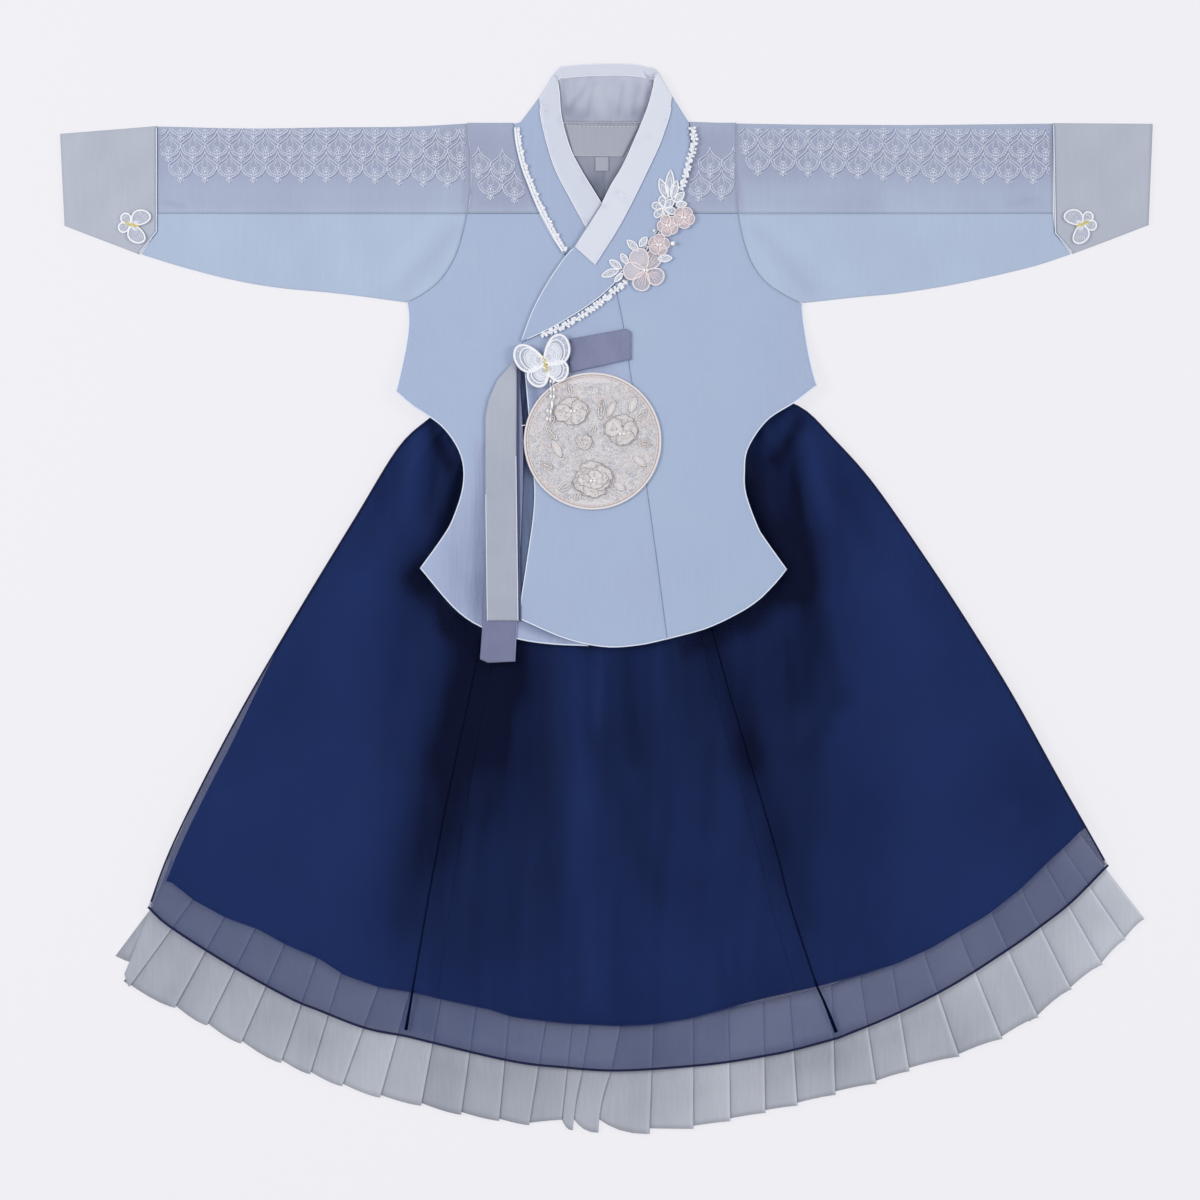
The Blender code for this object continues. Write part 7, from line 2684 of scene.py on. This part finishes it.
    def strands(self) -> None:
        """Makes the brooch's two strands of long pearls."""
        above = self.lie.ply(4.5, creased=0.6)
        parts, threads = Parts(), Parts()
        for x, y, half, long in self.pearls:
            parts.bead((0, 0, 0), 1.0, 1.0, 6, 10, 0.8)
            parts.points[-1] = parts.points[-1] * (half, long, half) + (x, y, level_at(above, (x, y)) + half)
        for line in self.strand_lines:
            threads.cord(smooth_line(line, 20), above, 0.8, 0.22, False, 4, 0.5)
        dress(parts.made("brooch_pearls"), Finish.PEARL, "white_lace")
        dress(threads.made("brooch_threads"), Finish.WHITE_THREAD, "white_lace")


@dataclass
class FlowerSprays:
    """The sewn flowers and leaves down the collar's right side."""

    lie: Lie
    level: float = 4.0
    white_nodes: tuple[str, ...] = ("flower_white", "leaf_spray_upper", "leaf_spray_lower")
    #  heading, reach, width, sheer share of the large flower's petals
    large_petals: tuple = (
        (-31, 14.8, 12.6, 0.3), (-109, 15.6, 12.4, 0.3), (-178, 16.4, 13, 0.9), (-243, 17.2, 13.8, 0.9),
        (57, 16, 12, 0.4),
    )
    large_at: tuple[float, float] = (29.6, 246.0)
    #  x, y, radius, turn, node
    small: tuple = (
        (39.6, 265.1, 7.9, 12.0, "flower_pink_low"), (46.4, 279.5, 7.9, 40.0, "flower_pink_mid"),
        (58.2, 285.5, 8.1, -14.0, "flower_pink_high"),
    )
    white_at: tuple[float, float, float] = (43.4, 292.4, 9.2)
    #  base x, base y, tip x, tip y, width
    leaves: tuple = (
        (9.5, 246.4, -3.2, 241.6, 5.2), (11.6, 247.6, 2.6, 253.6, 4.8), (16.4, 251, 11.2, 258.4, 4.6),
        (24.4, 260.6, 15.8, 268.6, 5), (25.2, 264, 30.6, 270.8, 4.8), (38.8, 254.6, 49.4, 255.4, 5),
        (12.4, 243.6, 6.4, 237.6, 3.4), (46, 299.4, 40.2, 314.6, 5.8), (47.2, 300.6, 48.4, 321.4, 6),
        (49.4, 299.6, 53.2, 313.4, 5.2), (51.6, 297, 58.4, 304.6, 4.8), (52.4, 294.8, 60.4, 295.8, 5),
    )
    #  x, y, radius
    pearls: tuple = (
        (28.6, 246.1, 1.15), (31, 246, 1.2), (38.5, 265.2, 1.15), (40.8, 265.2, 1.15), (45.3, 279.5, 1.15),
        (47.6, 279.5, 1.15), (56.9, 285.7, 1.15), (59.2, 285.5, 1.15), (35.9, 275.7, 0.95),
        (49.9, 266, 1.8), (40.6, 292, 1), (42.2, 292, 0.9), (43.4, 288.2, 0.9), (31.2, 263.4, 0.8),
    )
    stem: tuple = ((7, 241), (16, 249), (27, 259), (36, 268), (45, 286), (50, 304))

    def build(self) -> None:
        """Makes the flowers, leaves and pearls."""
        base = self.lie.ply(self.level, creased=0.5)
        veil, sheer, opaque, pink, white, fill, beads = (Parts() for _ in range(7))
        for number, (heading, reach, width, share) in enumerate(self.large_petals):
            solid = share > 0.5
            cloth, rib = (opaque, 0.2) if solid else (veil, 0.34)
            lift = 0.25 * (number % 2) + 0.3 * solid
            self.petal(cloth, pink, base, self.large_at, heading, reach, width, lift, rib, 0.6)
        for x, y, radius, turn, _ in self.small:
            for k in range(5):
                lift = 0.9 + 0.22 * (k % 2)
                self.petal(sheer, pink, base, (x, y), turn + 72 * k, radius, radius * 0.98, lift, 0.3)
        x, y, radius = self.white_at
        for k in range(6):
            outline = spun(lobe(radius, 5.2, 16, 0.7), 60 * k + 12, 1, (x, y))
            fill.cap(outline, lambda px, py: base(px, py) + 0.4, 0.15, 0.1, 0.6)
            white.cord(outline, base, 0.7 + 0.2 * (k % 2), 0.58, True, 5, 0.9)
            inner = np.array((x, y)) + (outline - (x, y)) * 0.66
            white.cord(inner, base, 0.9, 0.34, True, 5, 0.75)
        for x0, y0, x1, y1, width in self.leaves:
            length = math.hypot(x1 - x0, y1 - y0)
            turn = math.degrees(math.atan2(y1 - y0, x1 - x0)) - 90
            outline = spun(leaf(length, width), turn, 1, (x0, y0))
            fill.cap(outline, lambda px, py: base(px, py) + 0.3, 0.15, 0.1, 0.6)
            white.cord(outline, base, 0.6, 0.66, True, 5, 0.9)
            middle = outline.mean(axis=0)
            white.cord(middle + (outline - middle) * 0.5, base, 0.5, 0.34, True, 4, 0.7)
        white.cord(smooth_line(self.stem, 40), base, 0.3, 0.45, False, 5, 0.6)
        for x, y, radius in self.pearls:
            beads.bead((x, y, level_at(base, (x, y)) + 1.7 + radius * 0.5), radius, 0.9, 6, 10, 0.8)
        nodes = ["flower_large"] + [row[4] for row in self.small]
        for parts, name, finish, slot, stands_for in (
            (sheer, "pink_sheer_petals", Finish.PINK_SHEER, "pink_petal", nodes),
            (veil, "pink_veil_petals", Finish.PINK_VEIL, "pink_petal", ()),
            (opaque, "silvery_petals", Finish.SILVER_PETAL, "pink_petal", ()),
            (pink, "pink_petal_cords", Finish.PINK_THREAD, "pink_petal", ()),
            (white, "white_flower_and_leaves", Finish.WHITE_THREAD, "white_lace", self.white_nodes),
            (fill, "white_leaf_fillings", Finish.WHITE_SHEER, "white_lace", ()),
            (beads, "flower_pearls", Finish.PEARL, "pink_petal", ()),
        ):
            dress(parts.made(name), finish, slot, *stands_for)

    @staticmethod
    def petal(
        cloth: Parts, cords: Parts, base: Height, centre: Sequence[float], heading: float, reach: float,
        width: float, lift: float, rib: float, edge: float = 0.42,
    ) -> None:
        """Makes one petal: its cloth, its corded edge and its ribs.

        Args:
            cloth: What its cloth is added to.
            cords: What its cords are added to.
            base: The height it lies on.
            centre: The flower's middle.
            heading: The petal's direction, in degrees from +X.
            reach: Its length.
            width: Its width.
            lift: How far it stands above the base.
            rib: Its ribs' radius.
            edge: Its edge cord's radius.
        """
        outline = spun(lobe(reach, width, 26, 0.8), heading - 90, 1, centre)
        on = lambda px, py: base(px, py) + 0.2 + lift
        cloth.cap(outline, on, 0.2, 0.45, 0.6)
        cords.cord(outline, on, 0.3, edge, True, 5, 0.6)
        for angle in (-22, -8, 8, 22):
            line = np.array(((0, reach * 0.2), (0, reach * 0.5), (0, reach * (0.84 - abs(angle) * 0.004))))
            cords.cord(spun(line, heading - 90 + angle * 0.8, 1, centre), on, 0.6, rib, False, 4, 0.5)


# The set.


@dataclass
class Studio:
    """A pale floor, two soft boxes left and right, and a camera straight above."""

    floor_mm: float = 6000.0
    centre_mm: tuple[float, float] = (-4.5, -0.75)
    frame_mm: float = 900.0
    camera_height_mm: float = 3200.0
    sky: float = 0.62
    lamp_x_mm: float = 1500.0
    left_watts: float = 17.0
    right_watts: float = 11.0

    def build(self) -> None:
        """Makes the floor, the lights and the camera."""
        half = self.floor_mm / 2
        mesh = bpy.data.meshes.new("studio_floor")
        corners = [(-half, -half), (half, -half), (half, half), (-half, half)]
        mesh.from_pydata([(x * MM, y * MM, -0.0004) for x, y in corners], [], [(0, 1, 2, 3)])
        floor = bpy.data.objects.new("studio_floor", mesh)
        bpy.context.scene.collection.objects.link(floor)
        mesh.materials.append(Finish.FLOOR.material())

        world = bpy.data.worlds.new("studio_sky")
        world.use_nodes = True
        sky = world.node_tree.nodes["Background"]
        sky.inputs["Color"].default_value = (0.97, 0.975, 1.0, 1.0)
        sky.inputs["Strength"].default_value = self.sky
        bpy.context.scene.world = world
        for name, x, watts in (
            ("soft_box_left", -self.lamp_x_mm, self.left_watts),
            ("soft_box_right", self.lamp_x_mm, self.right_watts),
        ):
            lamp = bpy.data.lights.new(name, "AREA")
            lamp.shape = "DISK"
            lamp.size = 0.9
            lamp.energy = watts
            box = bpy.data.objects.new(name, lamp)
            box.location = (x * MM, 0.35, 1.6)
            aim = -box.location.normalized()
            box.rotation_mode = "QUATERNION"
            box.rotation_quaternion = aim.to_track_quat("-Z", "Y")
            bpy.context.scene.collection.objects.link(box)

        camera = bpy.data.cameras.new("camera")
        camera.sensor_width = 36.0
        camera.lens = camera.sensor_width * self.camera_height_mm / self.frame_mm
        eye = bpy.data.objects.new("camera", camera)
        eye.location = (self.centre_mm[0] * MM, self.centre_mm[1] * MM, self.camera_height_mm * MM)
        bpy.context.scene.collection.objects.link(eye)
        bpy.context.scene.camera = eye
        bpy.context.scene.view_settings.view_transform = "Standard"
        log.info("studio: camera %.0f mm above the floor", self.camera_height_mm)


def main() -> None:
    """Builds the garment's sub-assemblies in order, over the frame."""
    logging.basicConfig(level=logging.INFO, format="%(message)s")
    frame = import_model()
    Studio().build()
    skirt = Skirt()
    skirt.build(frame["nodes"])
    Ruffle(skirt).build()
    lie = Lie()
    Jacket(lie).build()
    Sleeves(lie).build()
    Collar(lie).build()
    Ties(lie).build()
    LaceBraids(lie).build()
    ScallopEmbroidery(lie).build()
    Roundel(lie).build()
    Butterflies(lie).build()
    FlowerSprays(lie).build()


if __name__ == "__main__":
    main()
